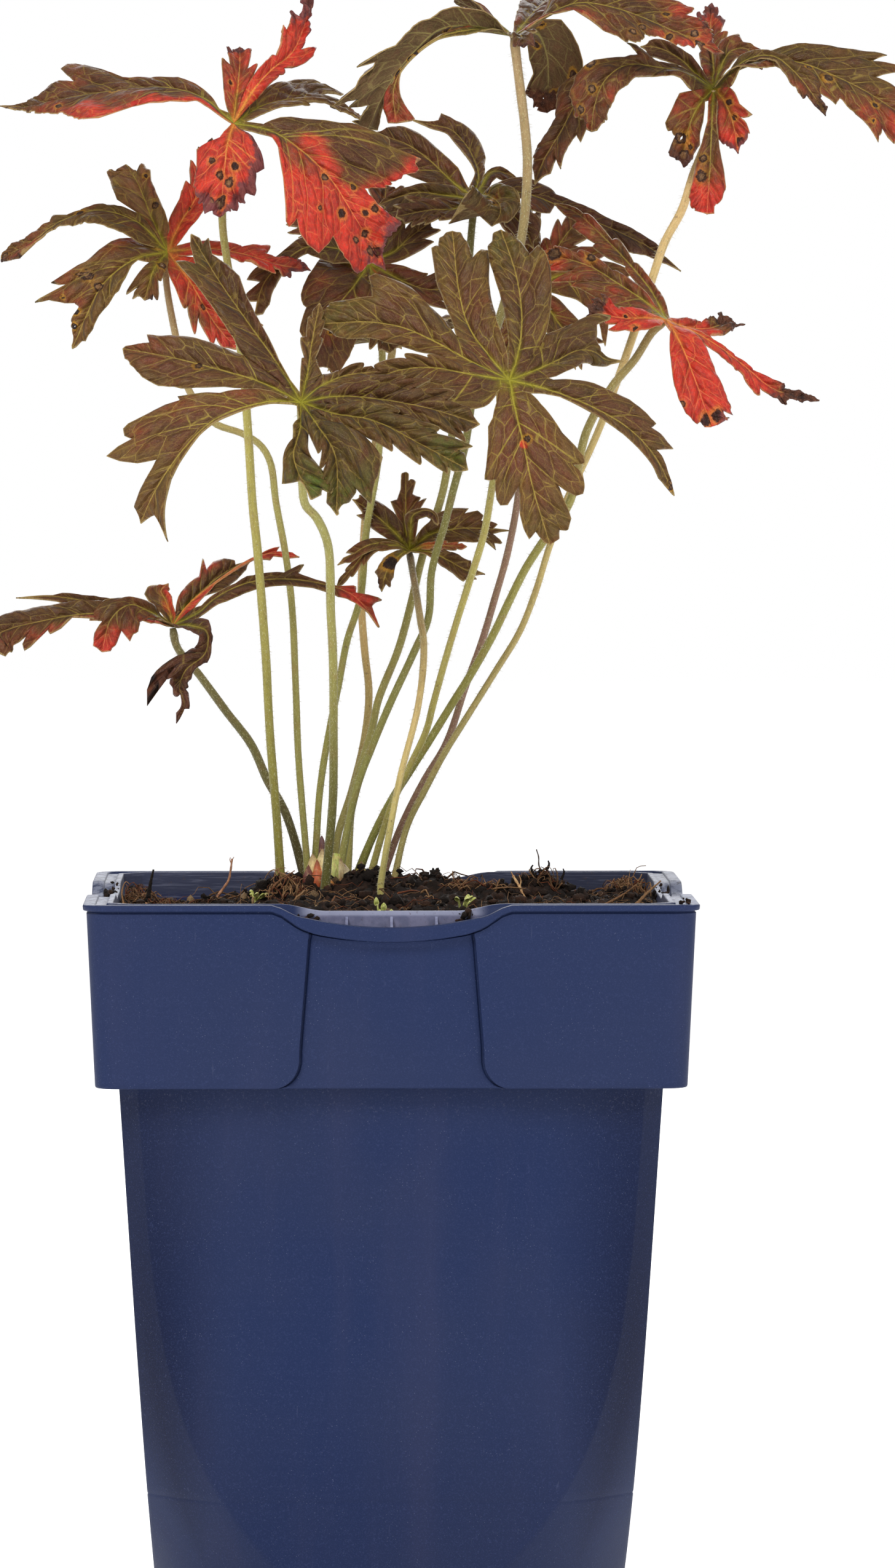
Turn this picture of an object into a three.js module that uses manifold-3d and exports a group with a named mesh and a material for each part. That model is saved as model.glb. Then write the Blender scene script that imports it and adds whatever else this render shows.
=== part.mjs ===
// Hardy geranium growing in its square nursery pot.
// Units: millimetres, +Z up, +Y towards the back. The origin is the centre of the pot's underside.
// Each physical piece is one closed mesh. The leaf blades and petioles are laid out by the two
// tables below; the pot and the soil are built from their cross-sections.
import * as THREE from 'three';
import { mergeVertices } from 'three/addons/utils/BufferGeometryUtils.js';
import Module from 'manifold-3d';

// ---------- driving dimensions: pot ----------
const POT_HEIGHT = 155.0;          // ground to rim
const COLLAR_HALF_TOP = 65.0;      // half width of the collar at the rim
const COLLAR_HALF_LOW = 63.2;      // half width of the collar at its lower edge
const COLLAR_LOW_Z = 115.7;        // lower edge of the collar
const COLLAR_CORNER = 5.0;         // corner radius of the collar
const BEAD = 0.7;                  // rim bead, proud of the collar
const BEAD_LOW_Z = 153.6;
const PANEL_HALF = 18.2;           // recessed centre panel of each side, at the top
const PANEL_DEPTH = 1.0;
const BODY_HALF_BASE = 51.0;       // half width of the body at the ground
const BODY_TAPER = 0.0622;         // growth of the half width per mm of height
const WALL = 1.3;
const SKIRT_WALL = 1.5;
const FLOOR = 2.6;
const LEDGE_Z = 152.2;             // underside of the ledge that joins the collar to the body
const DIP_OUTER = 26.0;            // the rim dips between these distances from the middle of a side
const DIP_INNER = 18.3;
const DIP_STEP = 2.7;
const DIP_ARC = 2.1;
const INNER_DIP = 1.5;             // how far the inner wall is lower in the middle of a side
const DRAIN_RADIUS = 3.6;          // drain holes
const DRAIN_CIRCLE = 33.0;
const DRAIN_COUNT = 8;

// ---------- driving dimensions: soil and plant ----------
const GAP = 0.45;                  // clearance between touching pieces
const SOIL_EDGE_Z = 150.8;
const MOUND_HEIGHT = 5.2;          // mound around the crown
const MOUND_RADIUS = 26.0;
const MOUND_AT = [-9.0, 0.0];
const BLADE_THICKNESS = 0.9;
const CROWN_AT = [-12.5, 1.0, 155.6];
const CROWN_SIZE = [9.0, 6.5, 3.6];

// Leaf blades: hub, then for each lobe a row of stations along its midrib:
// [x, y, z, upper-face normal x, y, z, half width to one side, half width to the other side]
const BLADES = {
  red_upper_left: { hub: [-33.7, -25.0, 321.8], lobes: [
    [[-33.7,-25.0,321.8,0.45,-0.62,0.64,1.0,1.0],[-42.7,-23.5,328.3,0.17,-0.54,0.82,3.4,3.4],[-56.2,-19.9,329.3,-0.22,-0.45,0.86,6.2,6.3],[-69.5,-15.1,327.6,-0.32,-0.42,0.85,6.5,9.9],[-83.0,-8.8,325.9,-0.14,-0.48,0.86,1.1,3.0]],
    [[-33.7,-25.0,321.8,0.0,-0.87,0.5,1.0,1.0],[-33.3,-22.9,325.4,0.03,-0.87,0.49,1.6,1.6],[-32.8,-20.3,329.9,0.04,-0.86,0.5,3.1,3.0],[-32.4,-17.4,334.4,0.04,-0.8,0.6,3.1,2.9],[-32.4,-13.5,338.4,-0.03,-0.68,0.73,1.4,1.1]],
    [[-33.7,-25.0,321.8,-0.22,-0.84,0.49,1.0,1.0],[-30.0,-22.3,328.2,0.08,-0.89,0.45,1.6,1.6],[-24.6,-16.9,334.4,0.46,-0.78,0.42,2.2,2.2],[-19.6,-11.0,340.4,0.63,-0.75,0.22,4.5,4.7],[-16.9,-6.5,349.5,0.79,-0.61,0.07,1.5,1.0]],
    [[-33.7,-25.0,321.8,-0.0,-0.55,0.83,1.0,1.0],[-28.8,-20.1,325.1,-0.0,-0.5,0.86,2.6,2.6],[-21.6,-14.3,327.4,0.13,-0.37,0.92,4.4,3.8],[-14.8,-7.6,327.4,0.36,-0.17,0.92,7.4,4.5],[-6.7,-2.5,324.2,0.51,-0.27,0.82,5.4,1.5]],
    [[-33.7,-25.0,321.8,0.06,-0.52,0.85,1.0,1.0],[-24.3,-27.3,319.4,0.08,-0.74,0.67,4.0,3.7],[-15.0,-30.7,312.1,0.2,-0.9,0.39,13.4,11.0],[-7.9,-30.0,302.1,0.4,-0.92,-0.01,10.2,9.0],[-1.5,-25.6,291.4,0.4,-0.9,-0.17,3.1,4.1]],
    [[-33.7,-25.0,321.8,0.03,-0.61,0.79,1.0,1.0],[-34.5,-29.0,318.9,0.05,-0.61,0.79,1.9,1.8],[-35.3,-33.0,314.4,-0.02,-0.84,0.54,5.2,3.6],[-35.8,-35.1,308.7,-0.05,-1.0,0.05,7.7,3.4],[-36.5,-34.1,302.2,-0.05,-0.99,-0.16,3.7,3.3]],
  ] },
  left: { hub: [-48.5, 5.0, 294.6], lobes: [
    [[-48.5,5.0,294.6,0.06,-0.93,0.36,1.0,1.0],[-50.6,6.5,299.1,0.03,-0.94,0.33,1.9,1.9],[-52.9,9.0,304.5,-0.08,-0.85,0.51,4.2,2.9],[-54.9,12.7,309.3,-0.18,-0.78,0.6,5.4,3.1],[-57.5,17.4,313.6,-0.31,-0.71,0.63,4.1,1.3]],
    [[-48.5,5.0,294.6,0.4,-0.83,0.39,1.0,1.0],[-54.6,5.0,300.8,0.33,-0.75,0.58,2.6,2.6],[-64.8,6.2,303.6,-0.2,-0.61,0.77,3.3,2.5],[-74.6,8.8,299.7,-0.58,-0.58,0.57,3.9,2.6],[-84.0,11.6,293.8,-0.51,-0.57,0.64,1.3,4.9]],
    [[-48.5,5.0,294.6,0.13,-0.47,0.87,1.0,1.0],[-53.9,1.0,293.5,0.17,-0.6,0.78,2.4,2.4],[-60.5,-2.4,289.4,-0.13,-0.85,0.51,5.3,6.7],[-65.1,-3.9,282.6,-0.32,-0.92,0.22,6.1,7.9],[-68.7,-3.2,274.4,-0.37,-0.93,-0.01,2.8,2.8]],
    [[-48.5,5.0,294.6,-0.11,-0.58,0.81,1.0,1.0],[-49.7,2.9,293.1,0.02,-0.56,0.83,1.2,1.3],[-51.1,0.4,291.1,0.03,-0.79,0.62,2.2,2.8],[-52.3,-0.7,288.0,-0.15,-0.98,0.16,2.1,3.1],[-53.3,-0.9,284.4,-0.15,-0.98,0.16,1.7,1.5]],
    [[-48.5,5.0,294.6,-0.28,-0.82,0.49,1.0,1.0],[-46.4,7.2,299.5,-0.01,-0.91,0.4,2.1,2.1],[-43.0,9.6,305.3,0.19,-0.95,0.26,2.8,2.8],[-40.8,11.7,311.8,0.2,-0.95,0.22,2.4,2.6],[-39.0,13.7,318.9,0.21,-0.95,0.22,0.8,0.8]],
    [[-48.5,5.0,294.6,0.0,-0.62,0.78,1.0,1.0],[-41.8,5.6,295.2,0.04,-0.66,0.75,1.8,1.8],[-33.8,7.9,294.5,0.4,-0.61,0.68,2.6,2.4],[-26.3,11.2,292.5,0.47,-0.6,0.65,4.9,2.8],[-18.1,14.6,290.9,0.36,-0.63,0.69,3.1,0.8]],
    [[-48.5,5.0,294.6,0.05,-0.84,0.54,1.0,1.0],[-45.5,2.5,290.7,0.11,-0.81,0.58,2.0,2.0],[-41.9,0.2,285.4,0.28,-0.88,0.39,4.2,4.2],[-38.5,-1.0,279.6,0.26,-0.9,0.36,5.5,4.1],[-34.0,-1.9,273.9,0.23,-0.92,0.32,2.1,1.0]],
  ] },
  top_centre: { hub: [27.7, 5.0, 342.1], lobes: [
    [[27.7,5.0,342.1,-0.04,0.41,0.91,1.0,1.0],[19.1,-0.2,343.4,-0.27,0.44,0.86,3.2,3.2],[9.7,-8.2,340.9,-0.71,0.33,0.63,5.9,5.9],[2.0,-15.0,333.5,-0.81,0.48,0.35,9.9,7.7],[-4.4,-18.1,322.2,-0.77,0.57,0.29,5.9,1.7]],
    [[27.7,5.0,342.1,0.69,0.15,0.71,1.0,1.0],[22.8,8.2,346.2,0.67,0.15,0.73,2.5,2.5],[16.2,12.6,350.0,0.5,0.14,0.85,5.0,5.6],[9.3,17.1,353.1,0.41,0.09,0.91,6.6,6.7],[2.3,23.2,354.7,0.19,0.01,0.98,3.1,3.3]],
    [[27.7,5.0,342.1,0.04,-0.08,1.0,1.0,1.0],[28.0,1.1,341.7,0.01,-0.09,1.0,1.6,1.6],[28.4,-3.9,341.5,-0.05,0.02,1.0,2.9,1.9],[28.9,-8.8,341.5,-0.08,-0.2,0.98,2.7,2.1],[29.3,-13.4,339.2,-0.07,-0.51,0.86,1.2,0.8]],
    [[27.7,5.0,342.1,-0.15,0.54,0.83,1.0,1.0],[35.8,1.0,346.3,-0.19,0.54,0.82,3.6,3.3],[47.9,-1.5,347.7,0.22,0.49,0.84,9.6,6.9],[59.7,-3.7,343.9,0.41,0.49,0.77,7.2,7.3],[71.8,-5.7,338.6,0.42,0.49,0.76,1.5,1.5]],
    [[27.7,5.0,342.1,-0.38,0.17,0.91,1.0,1.0],[32.0,8.8,343.5,-0.52,0.46,0.71,2.1,2.1],[35.6,13.8,340.0,0.05,0.77,0.64,4.6,4.5],[37.3,17.6,333.9,0.13,0.9,0.42,5.6,5.3],[37.0,19.8,326.3,0.13,0.98,0.14,2.3,2.7]],
    [[27.7,5.0,342.1,-0.34,-0.29,0.9,1.0,1.0],[31.0,13.6,346.1,-0.16,-0.31,0.94,3.0,3.2],[34.0,25.2,349.7,-0.02,-0.21,0.98,4.8,5.4],[36.8,37.3,351.5,-0.03,-0.07,1.0,5.5,6.0],[39.5,50.4,350.9,-0.06,0.1,0.99,1.8,1.8]],
  ] },
  top_right: { hub: [72.0, 12.0, 330.7], lobes: [
    [[72.0,12.0,330.7,-0.54,0.48,0.69,1.0,1.0],[80.1,9.8,336.4,-0.36,0.04,0.93,3.1,3.2],[92.0,5.4,338.7,-0.13,-0.29,0.95,4.3,5.1],[104.1,1.2,337.1,0.13,-0.39,0.91,3.6,6.8],[115.6,-1.7,330.5,0.45,-0.49,0.74,1.0,2.0]],
    [[72.0,12.0,330.7,-0.17,0.48,0.86,1.0,1.0],[75.8,7.3,334.5,-0.53,0.2,0.82,2.5,2.4],[82.2,1.7,336.3,-0.26,-0.7,0.66,3.6,1.8],[88.8,-2.3,331.9,0.05,-0.87,0.49,3.9,1.7],[94.9,-4.7,324.9,0.06,-0.95,0.31,1.6,0.8]],
    [[72.0,12.0,330.7,-0.24,-0.43,0.87,1.0,1.0],[73.8,18.2,334.2,0.01,-0.5,0.87,2.5,2.5],[76.5,25.3,339.3,0.08,-0.7,0.71,4.4,4.7],[80.2,32.6,342.9,0.36,-0.11,0.93,5.0,5.1],[83.9,39.3,337.5,0.8,0.32,0.5,2.3,2.8]],
    [[72.0,12.0,330.7,-0.64,-0.27,0.72,1.0,1.0],[69.8,9.5,327.8,-0.23,-0.64,0.73,1.7,1.7],[66.9,7.2,323.8,-0.12,-0.91,0.39,2.9,3.3],[64.2,6.1,319.2,-0.18,-0.95,0.26,3.6,2.9],[64.9,5.1,313.6,-0.22,-0.97,0.1,1.7,0.8]],
    [[72.0,12.0,330.7,-0.11,-0.68,0.73,1.0,1.0],[71.5,7.2,326.5,-0.0,-0.66,0.75,2.2,2.2],[71.0,2.6,320.1,0.02,-0.93,0.37,2.9,3.4],[70.5,0.9,312.3,-0.0,-1.0,0.03,3.0,3.6],[70.3,1.9,303.9,-0.0,-0.99,-0.12,1.0,1.0]],
    [[72.0,12.0,330.7,0.46,-0.25,0.85,1.0,1.0],[74.0,9.2,328.9,0.12,-0.51,0.85,1.5,1.5],[76.7,6.9,325.9,0.08,-0.9,0.43,2.3,2.7],[78.4,5.7,321.7,0.21,-0.96,0.16,1.1,3.2],[77.2,5.1,316.9,0.22,-0.97,0.08,0.8,1.7]],
    [[72.0,12.0,330.7,-0.03,-0.54,0.84,1.0,1.0],[72.2,17.3,334.0,-0.0,-0.53,0.85,2.0,2.0],[72.3,23.7,338.6,-0.01,-0.64,0.77,2.8,2.8],[72.2,29.5,343.9,0.0,-0.7,0.72,3.5,3.2],[72.7,35.3,350.0,0.0,-0.74,0.67,0.9,0.9]],
    [[72.0,12.0,330.7,0.38,0.43,0.82,1.0,1.0],[62.7,8.3,335.2,0.2,-0.05,0.98,3.2,2.5],[50.6,2.4,332.8,-0.2,-0.58,0.79,4.5,0.8],[41.2,-1.3,323.3,-0.5,-0.73,0.46,4.1,3.1],[33.2,-2.0,310.8,-0.54,-0.76,0.37,1.0,1.7]],
  ] },
  right_red: { hub: [60.3, -15.0, 279.6], lobes: [
    [[60.3,-15.0,279.6,0.19,-0.61,0.77,1.0,1.0],[62.4,-18.9,276.0,0.1,-0.68,0.72,2.1,2.1],[64.7,-22.9,270.6,0.08,-0.84,0.53,4.2,3.9],[66.9,-25.5,264.4,0.13,-0.97,0.21,4.0,3.3],[69.4,-25.9,257.2,0.11,-0.99,0.11,4.3,0.9]],
    [[60.3,-15.0,279.6,0.39,-0.6,0.7,1.0,1.0],[67.5,-13.8,276.3,0.47,-0.68,0.56,1.6,1.7],[75.5,-10.5,271.2,0.72,-0.63,0.29,0.9,2.3],[82.9,-7.3,265.3,0.44,-0.81,0.39,1.6,2.5],[93.1,-6.1,262.3,0.18,-0.83,0.53,0.8,0.8]],
    [[60.3,-15.0,279.6,0.59,-0.29,0.75,1.0,1.0],[63.3,-11.6,278.4,0.61,-0.33,0.71,1.7,1.7],[67.3,-7.5,277.6,0.52,-0.47,0.71,2.6,2.6],[71.2,-3.3,278.0,0.36,-0.51,0.78,2.8,2.8],[75.0,1.4,279.6,0.34,-0.53,0.78,2.8,3.0]],
    [[60.3,-15.0,279.6,0.38,-0.5,0.78,1.0,1.0],[57.2,-17.3,279.7,0.39,-0.53,0.75,1.5,1.5],[52.8,-19.1,279.8,0.19,-0.73,0.66,2.9,3.1],[48.2,-20.2,280.2,0.32,-0.77,0.56,3.1,3.5],[43.5,-20.9,282.2,0.34,-0.8,0.5,1.4,1.4]],
    [[60.3,-15.0,279.6,0.12,-0.54,0.84,1.0,1.0],[56.2,-10.0,283.3,-0.07,-0.67,0.74,2.5,2.5],[49.8,-4.9,287.8,-0.23,-0.77,0.6,4.1,2.6],[43.3,0.3,291.8,-0.26,-0.8,0.54,4.3,2.8],[34.6,4.5,294.1,-0.27,-0.84,0.48,1.2,2.3]],
    [[60.3,-15.0,279.6,0.15,-0.45,0.88,1.0,1.0],[58.2,-5.5,284.6,-0.05,-0.51,0.86,2.1,2.1],[53.3,4.8,292.1,-0.29,-0.7,0.66,2.6,2.6],[46.5,14.3,299.1,-0.27,-0.76,0.59,3.1,2.6],[37.7,22.9,306.7,-0.29,-0.77,0.57,0.9,0.8]],
  ] },
  dark_centre: { hub: [19.6, 30.0, 307.1], lobes: [
    [[19.6,30.0,307.1,0.33,-0.77,0.55,1.0,1.0],[15.9,31.4,311.4,0.2,-0.85,0.48,2.1,2.1],[11.3,34.0,316.4,-0.07,-0.86,0.51,4.7,3.7],[6.2,37.2,320.4,-0.17,-0.8,0.57,6.2,3.5],[0.2,41.5,322.8,-0.32,-0.72,0.61,2.6,1.1]],
    [[19.6,30.0,307.1,0.29,-0.45,0.84,1.0,1.0],[15.3,28.0,307.6,0.38,-0.55,0.75,1.8,1.8],[10.0,27.1,309.9,0.33,-0.7,0.64,1.6,3.6],[4.3,26.0,310.6,-0.07,-0.7,0.71,1.7,4.3],[-1.1,25.1,307.4,-0.28,-0.75,0.6,0.8,1.8]],
    [[19.6,30.0,307.1,0.08,-0.45,0.89,1.0,1.0],[17.1,26.4,305.5,0.13,-0.48,0.87,1.8,1.8],[13.2,22.4,304.3,0.44,-0.59,0.68,3.1,2.9],[8.3,19.4,303.9,0.22,-0.75,0.62,3.3,3.5],[2.6,17.3,302.7,0.16,-0.78,0.61,2.0,1.6]],
    [[19.6,30.0,307.1,0.01,-0.55,0.84,1.0,1.0],[21.5,36.8,311.5,0.09,-0.59,0.8,2.6,2.6],[21.6,44.5,318.5,0.21,-0.61,0.77,3.2,3.6],[16.9,51.7,323.8,0.02,-0.39,0.92,3.9,3.1],[7.5,57.3,325.2,-0.14,-0.37,0.92,1.0,4.0]],
    [[19.6,30.0,307.1,-0.09,-0.17,0.98,1.0,1.0],[20.4,25.8,306.5,-0.09,-0.16,0.98,1.7,1.7],[21.6,20.5,305.5,-0.16,-0.3,0.94,4.1,4.7],[23.0,15.5,303.9,-0.07,-0.38,0.92,4.9,3.6],[21.8,10.6,301.2,0.33,-0.57,0.75,2.2,2.2]],
    [[19.6,30.0,307.1,-0.18,-0.56,0.81,1.0,1.0],[29.8,31.1,308.3,0.3,-0.45,0.84,3.0,3.0],[41.8,34.1,303.9,0.4,-0.47,0.78,3.4,4.0],[53.8,37.6,299.7,0.51,-0.48,0.71,3.1,4.7],[64.9,41.6,292.1,0.64,-0.56,0.53,0.9,1.4]],
    [[19.6,30.0,307.1,-0.15,-0.44,0.89,1.0,1.0],[22.8,26.9,306.3,-0.27,-0.5,0.82,1.7,1.7],[26.9,23.4,304.8,-0.24,-0.76,0.61,2.3,2.4],[30.8,20.9,301.8,0.16,-0.9,0.4,3.1,2.6],[31.6,20.1,295.9,0.23,-0.97,0.13,0.9,2.0]],
  ] },
  brown_behind_right: { hub: [33.1, 22.0, 286.8], lobes: [
    [[33.1,22.0,286.8,-0.26,-0.87,0.41,1.0,1.0],[37.7,22.0,289.5,0.03,-0.91,0.41,2.0,2.0],[44.1,24.1,290.2,0.32,-0.91,0.26,5.5,5.5],[50.2,25.9,287.9,0.31,-0.94,0.14,4.5,7.0],[54.1,26.0,281.9,0.23,-0.96,0.15,2.5,4.9]],
    [[33.1,22.0,286.8,-0.02,-0.94,0.35,1.0,1.0],[34.9,23.4,290.8,0.02,-0.94,0.35,1.8,1.8],[37.4,26.0,295.3,0.17,-0.84,0.52,3.5,3.4],[40.1,29.3,299.1,0.25,-0.75,0.61,3.1,3.8],[43.1,33.5,302.7,0.27,-0.73,0.63,0.9,1.2]],
    [[33.1,22.0,286.8,0.09,-0.79,0.6,1.0,1.0],[31.6,25.0,290.9,0.04,-0.8,0.6,2.0,2.0],[30.7,29.1,296.1,-0.01,-0.76,0.65,3.7,3.6],[30.0,33.8,300.8,-0.06,-0.65,0.76,4.3,4.4],[28.6,39.3,305.0,-0.07,-0.62,0.78,2.3,2.2]],
    [[33.1,22.0,286.8,0.15,-0.85,0.51,1.0,1.0],[34.8,20.4,283.7,0.13,-0.88,0.46,1.6,1.6],[37.5,19.7,279.8,0.27,-0.94,0.21,3.5,3.3],[40.7,20.1,276.1,0.41,-0.9,0.14,4.2,4.4],[44.4,21.8,272.8,0.51,-0.85,0.12,2.5,2.1]],
    [[33.1,22.0,286.8,-0.01,-0.89,0.45,1.0,1.0],[30.9,20.5,284.1,-0.01,-0.9,0.43,1.5,1.5],[28.8,19.7,280.0,-0.14,-0.99,0.09,3.4,3.4],[27.2,20.0,275.6,-0.18,-0.97,-0.16,4.0,4.2],[26.3,21.8,271.0,-0.16,-0.93,-0.35,2.1,2.4]],
  ] },
  brown_behind_left: { hub: [-4.1, 24.0, 292.5], lobes: [
    [[-4.1,24.0,292.5,0.28,-0.57,0.77,1.0,1.0],[-9.0,20.3,291.6,0.29,-0.71,0.65,2.2,2.2],[-15.9,17.5,290.0,0.12,-0.87,0.47,5.0,4.5],[-22.9,16.2,286.9,-0.12,-0.92,0.37,6.3,5.0],[-30.1,16.0,283.1,-0.19,-0.93,0.32,2.9,3.0]],
    [[-4.1,24.0,292.5,0.02,-0.65,0.76,1.0,1.0],[-6.0,20.5,289.7,0.07,-0.65,0.75,1.9,1.9],[-8.6,16.6,285.7,0.05,-0.82,0.57,4.6,4.4],[-11.4,13.9,280.9,-0.04,-0.91,0.41,6.7,5.1],[-14.0,12.2,275.1,-0.1,-0.95,0.3,2.9,3.3]],
    [[-4.1,24.0,292.5,0.04,-0.81,0.58,1.0,1.0],[-7.2,25.7,295.1,-0.01,-0.84,0.54,1.7,1.7],[-11.1,27.9,298.3,-0.08,-0.87,0.49,3.6,4.3],[-15.1,30.1,301.3,-0.14,-0.84,0.53,4.2,5.2],[-19.9,32.7,303.7,-0.18,-0.82,0.55,1.9,2.5]],
    [[-4.1,24.0,292.5,-0.03,-0.75,0.66,1.0,1.0],[-0.9,25.1,293.8,0.03,-0.8,0.6,1.5,1.5],[2.7,26.7,296.0,0.06,-0.87,0.48,3.1,3.1],[5.8,28.6,298.8,0.12,-0.85,0.52,3.4,3.4],[9.3,30.7,301.3,0.13,-0.84,0.53,1.7,1.6]],
    [[-4.1,24.0,292.5,-0.01,-0.66,0.75,1.0,1.0],[-2.7,27.8,295.7,0.02,-0.66,0.75,1.9,1.9],[-1.3,32.2,300.3,0.01,-0.77,0.64,3.9,3.8],[-0.5,36.3,305.1,0.01,-0.72,0.7,4.7,4.1],[-0.1,41.4,309.8,0.01,-0.68,0.73,2.2,2.0]],
    [[-4.1,24.0,292.5,0.05,-0.79,0.61,1.0,1.0],[-0.5,22.7,290.5,0.01,-0.83,0.56,1.7,1.7],[4.0,21.1,288.2,-0.06,-0.87,0.5,3.3,3.5],[8.9,19.9,286.6,-0.03,-0.91,0.42,3.3,3.7],[14.6,20.0,286.7,0.01,-0.92,0.4,1.7,2.7]],
    [[-4.1,24.0,292.5,-0.04,-0.77,0.64,1.0,1.0],[-3.3,20.9,288.9,-0.01,-0.76,0.65,1.8,1.8],[-2.2,17.2,284.2,0.04,-0.83,0.56,3.7,3.4],[-0.9,14.3,279.1,0.07,-0.89,0.44,4.5,4.0],[0.4,12.2,273.1,0.1,-0.95,0.31,2.8,2.4]],
  ] },
  front_right: { hub: [25.5, -45.0, 266.2], lobes: [
    [[25.5,-45.0,266.2,0.06,-0.93,0.36,1.0,1.0],[17.5,-44.0,270.2,0.0,-0.94,0.34,2.8,2.8],[7.8,-41.6,275.4,-0.11,-0.93,0.34,4.6,3.9],[-2.5,-38.6,278.6,-0.22,-0.92,0.32,4.7,6.3],[-13.7,-34.5,278.5,-0.36,-0.89,0.29,1.3,1.7]],
    [[25.5,-45.0,266.2,0.34,-0.87,0.35,1.0,1.0],[18.8,-47.3,267.3,0.33,-0.88,0.33,2.5,2.4],[10.3,-48.9,268.8,0.1,-0.94,0.32,6.8,2.7],[1.5,-48.2,268.3,-0.26,-0.94,0.23,4.6,2.9],[-6.3,-45.4,263.9,-0.41,-0.91,0.05,1.0,0.8]],
    [[25.5,-45.0,266.2,-0.09,-0.85,0.51,1.0,1.0],[20.7,-41.0,272.0,-0.12,-0.83,0.55,2.7,2.6],[16.3,-34.9,279.4,-0.08,-0.8,0.6,3.7,3.6],[14.6,-28.8,287.9,-0.03,-0.84,0.55,5.4,3.9],[13.8,-22.8,297.4,-0.03,-0.85,0.53,2.5,2.5]],
    [[25.5,-45.0,266.2,0.09,-0.8,0.59,1.0,1.0],[27.5,-40.5,272.2,0.05,-0.84,0.54,2.6,2.6],[28.6,-35.3,280.3,0.02,-0.8,0.59,4.0,3.9],[28.3,-29.5,288.1,0.01,-0.85,0.52,4.1,5.3],[27.3,-24.6,297.2,0.02,-0.88,0.47,2.8,2.5]],
    [[25.5,-45.0,266.2,0.01,-0.93,0.38,1.0,1.0],[30.9,-44.1,268.3,0.09,-0.92,0.39,2.1,2.1],[36.6,-41.2,271.9,0.26,-0.85,0.45,5.2,4.8],[42.6,-37.7,274.0,0.45,-0.8,0.39,5.6,4.4],[48.8,-33.5,272.0,0.61,-0.77,0.16,2.1,1.3]],
    [[25.5,-45.0,266.2,-0.15,-0.89,0.43,1.0,1.0],[34.3,-47.3,264.1,-0.02,-0.91,0.42,2.9,2.9],[45.1,-47.8,259.6,0.24,-0.92,0.31,3.9,4.4],[54.3,-46.0,252.8,0.41,-0.91,0.08,4.8,3.9],[60.4,-41.6,242.9,0.49,-0.85,-0.18,1.3,1.0]],
    [[25.5,-45.0,266.2,-0.02,-0.77,0.64,1.0,1.0],[26.5,-49.9,260.3,-0.04,-0.84,0.54,2.7,2.7],[28.5,-53.5,251.5,0.01,-0.98,0.18,8.9,7.7],[30.6,-53.9,242.1,0.06,-1.0,-0.08,8.0,5.3],[33.6,-52.2,232.3,0.06,-0.99,-0.16,3.0,2.5]],
  ] },
  front_left: { hub: [-19.1, -52.0, 261.5], lobes: [
    [[-19.1,-52.0,261.5,-0.02,-0.91,0.41,1.0,1.0],[-23.8,-48.5,269.1,-0.05,-0.91,0.42,2.6,2.6],[-30.1,-43.7,278.0,-0.09,-0.9,0.43,3.5,3.3],[-36.3,-38.6,286.9,-0.14,-0.89,0.44,5.0,3.6],[-42.1,-32.7,296.5,-0.17,-0.88,0.44,1.7,1.6]],
    [[-19.1,-52.0,261.5,0.2,-0.9,0.38,1.0,1.0],[-26.3,-52.1,265.3,0.16,-0.9,0.41,2.7,2.7],[-36.0,-51.2,268.3,-0.0,-0.89,0.46,4.1,3.9],[-45.7,-49.3,270.8,-0.12,-0.89,0.45,4.8,4.0],[-55.9,-46.4,272.8,-0.18,-0.89,0.42,4.7,1.7]],
    [[-19.1,-52.0,261.5,0.31,-0.79,0.54,1.0,1.0],[-28.1,-55.3,261.3,0.12,-0.86,0.5,3.0,3.3],[-39.0,-57.1,256.9,-0.19,-0.93,0.32,4.8,8.3],[-47.0,-56.5,247.9,-0.35,-0.93,0.05,5.5,9.1],[-52.8,-52.6,237.2,-0.44,-0.87,-0.23,5.8,1.5]],
    [[-19.1,-52.0,261.5,-0.46,-0.74,0.48,1.0,1.0],[-12.1,-55.7,262.8,-0.39,-0.79,0.48,2.7,2.7],[-2.6,-58.9,262.2,-0.14,-0.88,0.46,5.0,4.9],[7.2,-60.0,260.4,0.07,-0.92,0.37,5.0,5.9],[17.5,-59.1,257.3,0.2,-0.94,0.28,1.3,1.6]],
    [[-19.1,-52.0,261.5,-0.43,-0.6,0.67,1.0,1.0],[-13.7,-58.2,259.6,-0.42,-0.68,0.6,2.7,2.7],[-4.4,-62.8,257.9,-0.16,-0.9,0.4,4.2,3.7],[5.0,-64.0,253.3,0.12,-0.96,0.25,4.4,3.8],[14.9,-63.1,248.0,0.2,-0.97,0.16,4.1,1.7]],
    [[-19.1,-52.0,261.5,-0.27,-0.5,0.82,1.0,1.0],[-17.3,-57.7,259.0,-0.3,-0.49,0.82,2.3,2.3],[-14.0,-63.3,254.4,-0.18,-0.86,0.47,4.0,3.0],[-11.5,-65.2,247.3,0.01,-1.0,-0.05,4.0,3.3],[-11.6,-64.1,238.8,0.0,-0.99,-0.11,1.0,0.9]],
    [[-19.1,-52.0,261.5,-0.08,-0.58,0.81,1.0,1.0],[-19.2,-56.4,258.5,-0.1,-0.56,0.82,2.0,1.9],[-19.8,-61.4,254.1,0.04,-0.78,0.63,3.5,1.2],[-20.4,-64.4,248.3,-0.07,-0.98,0.18,4.1,2.8],[-17.3,-64.9,241.9,-0.03,-1.0,0.06,2.0,0.9]],
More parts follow.
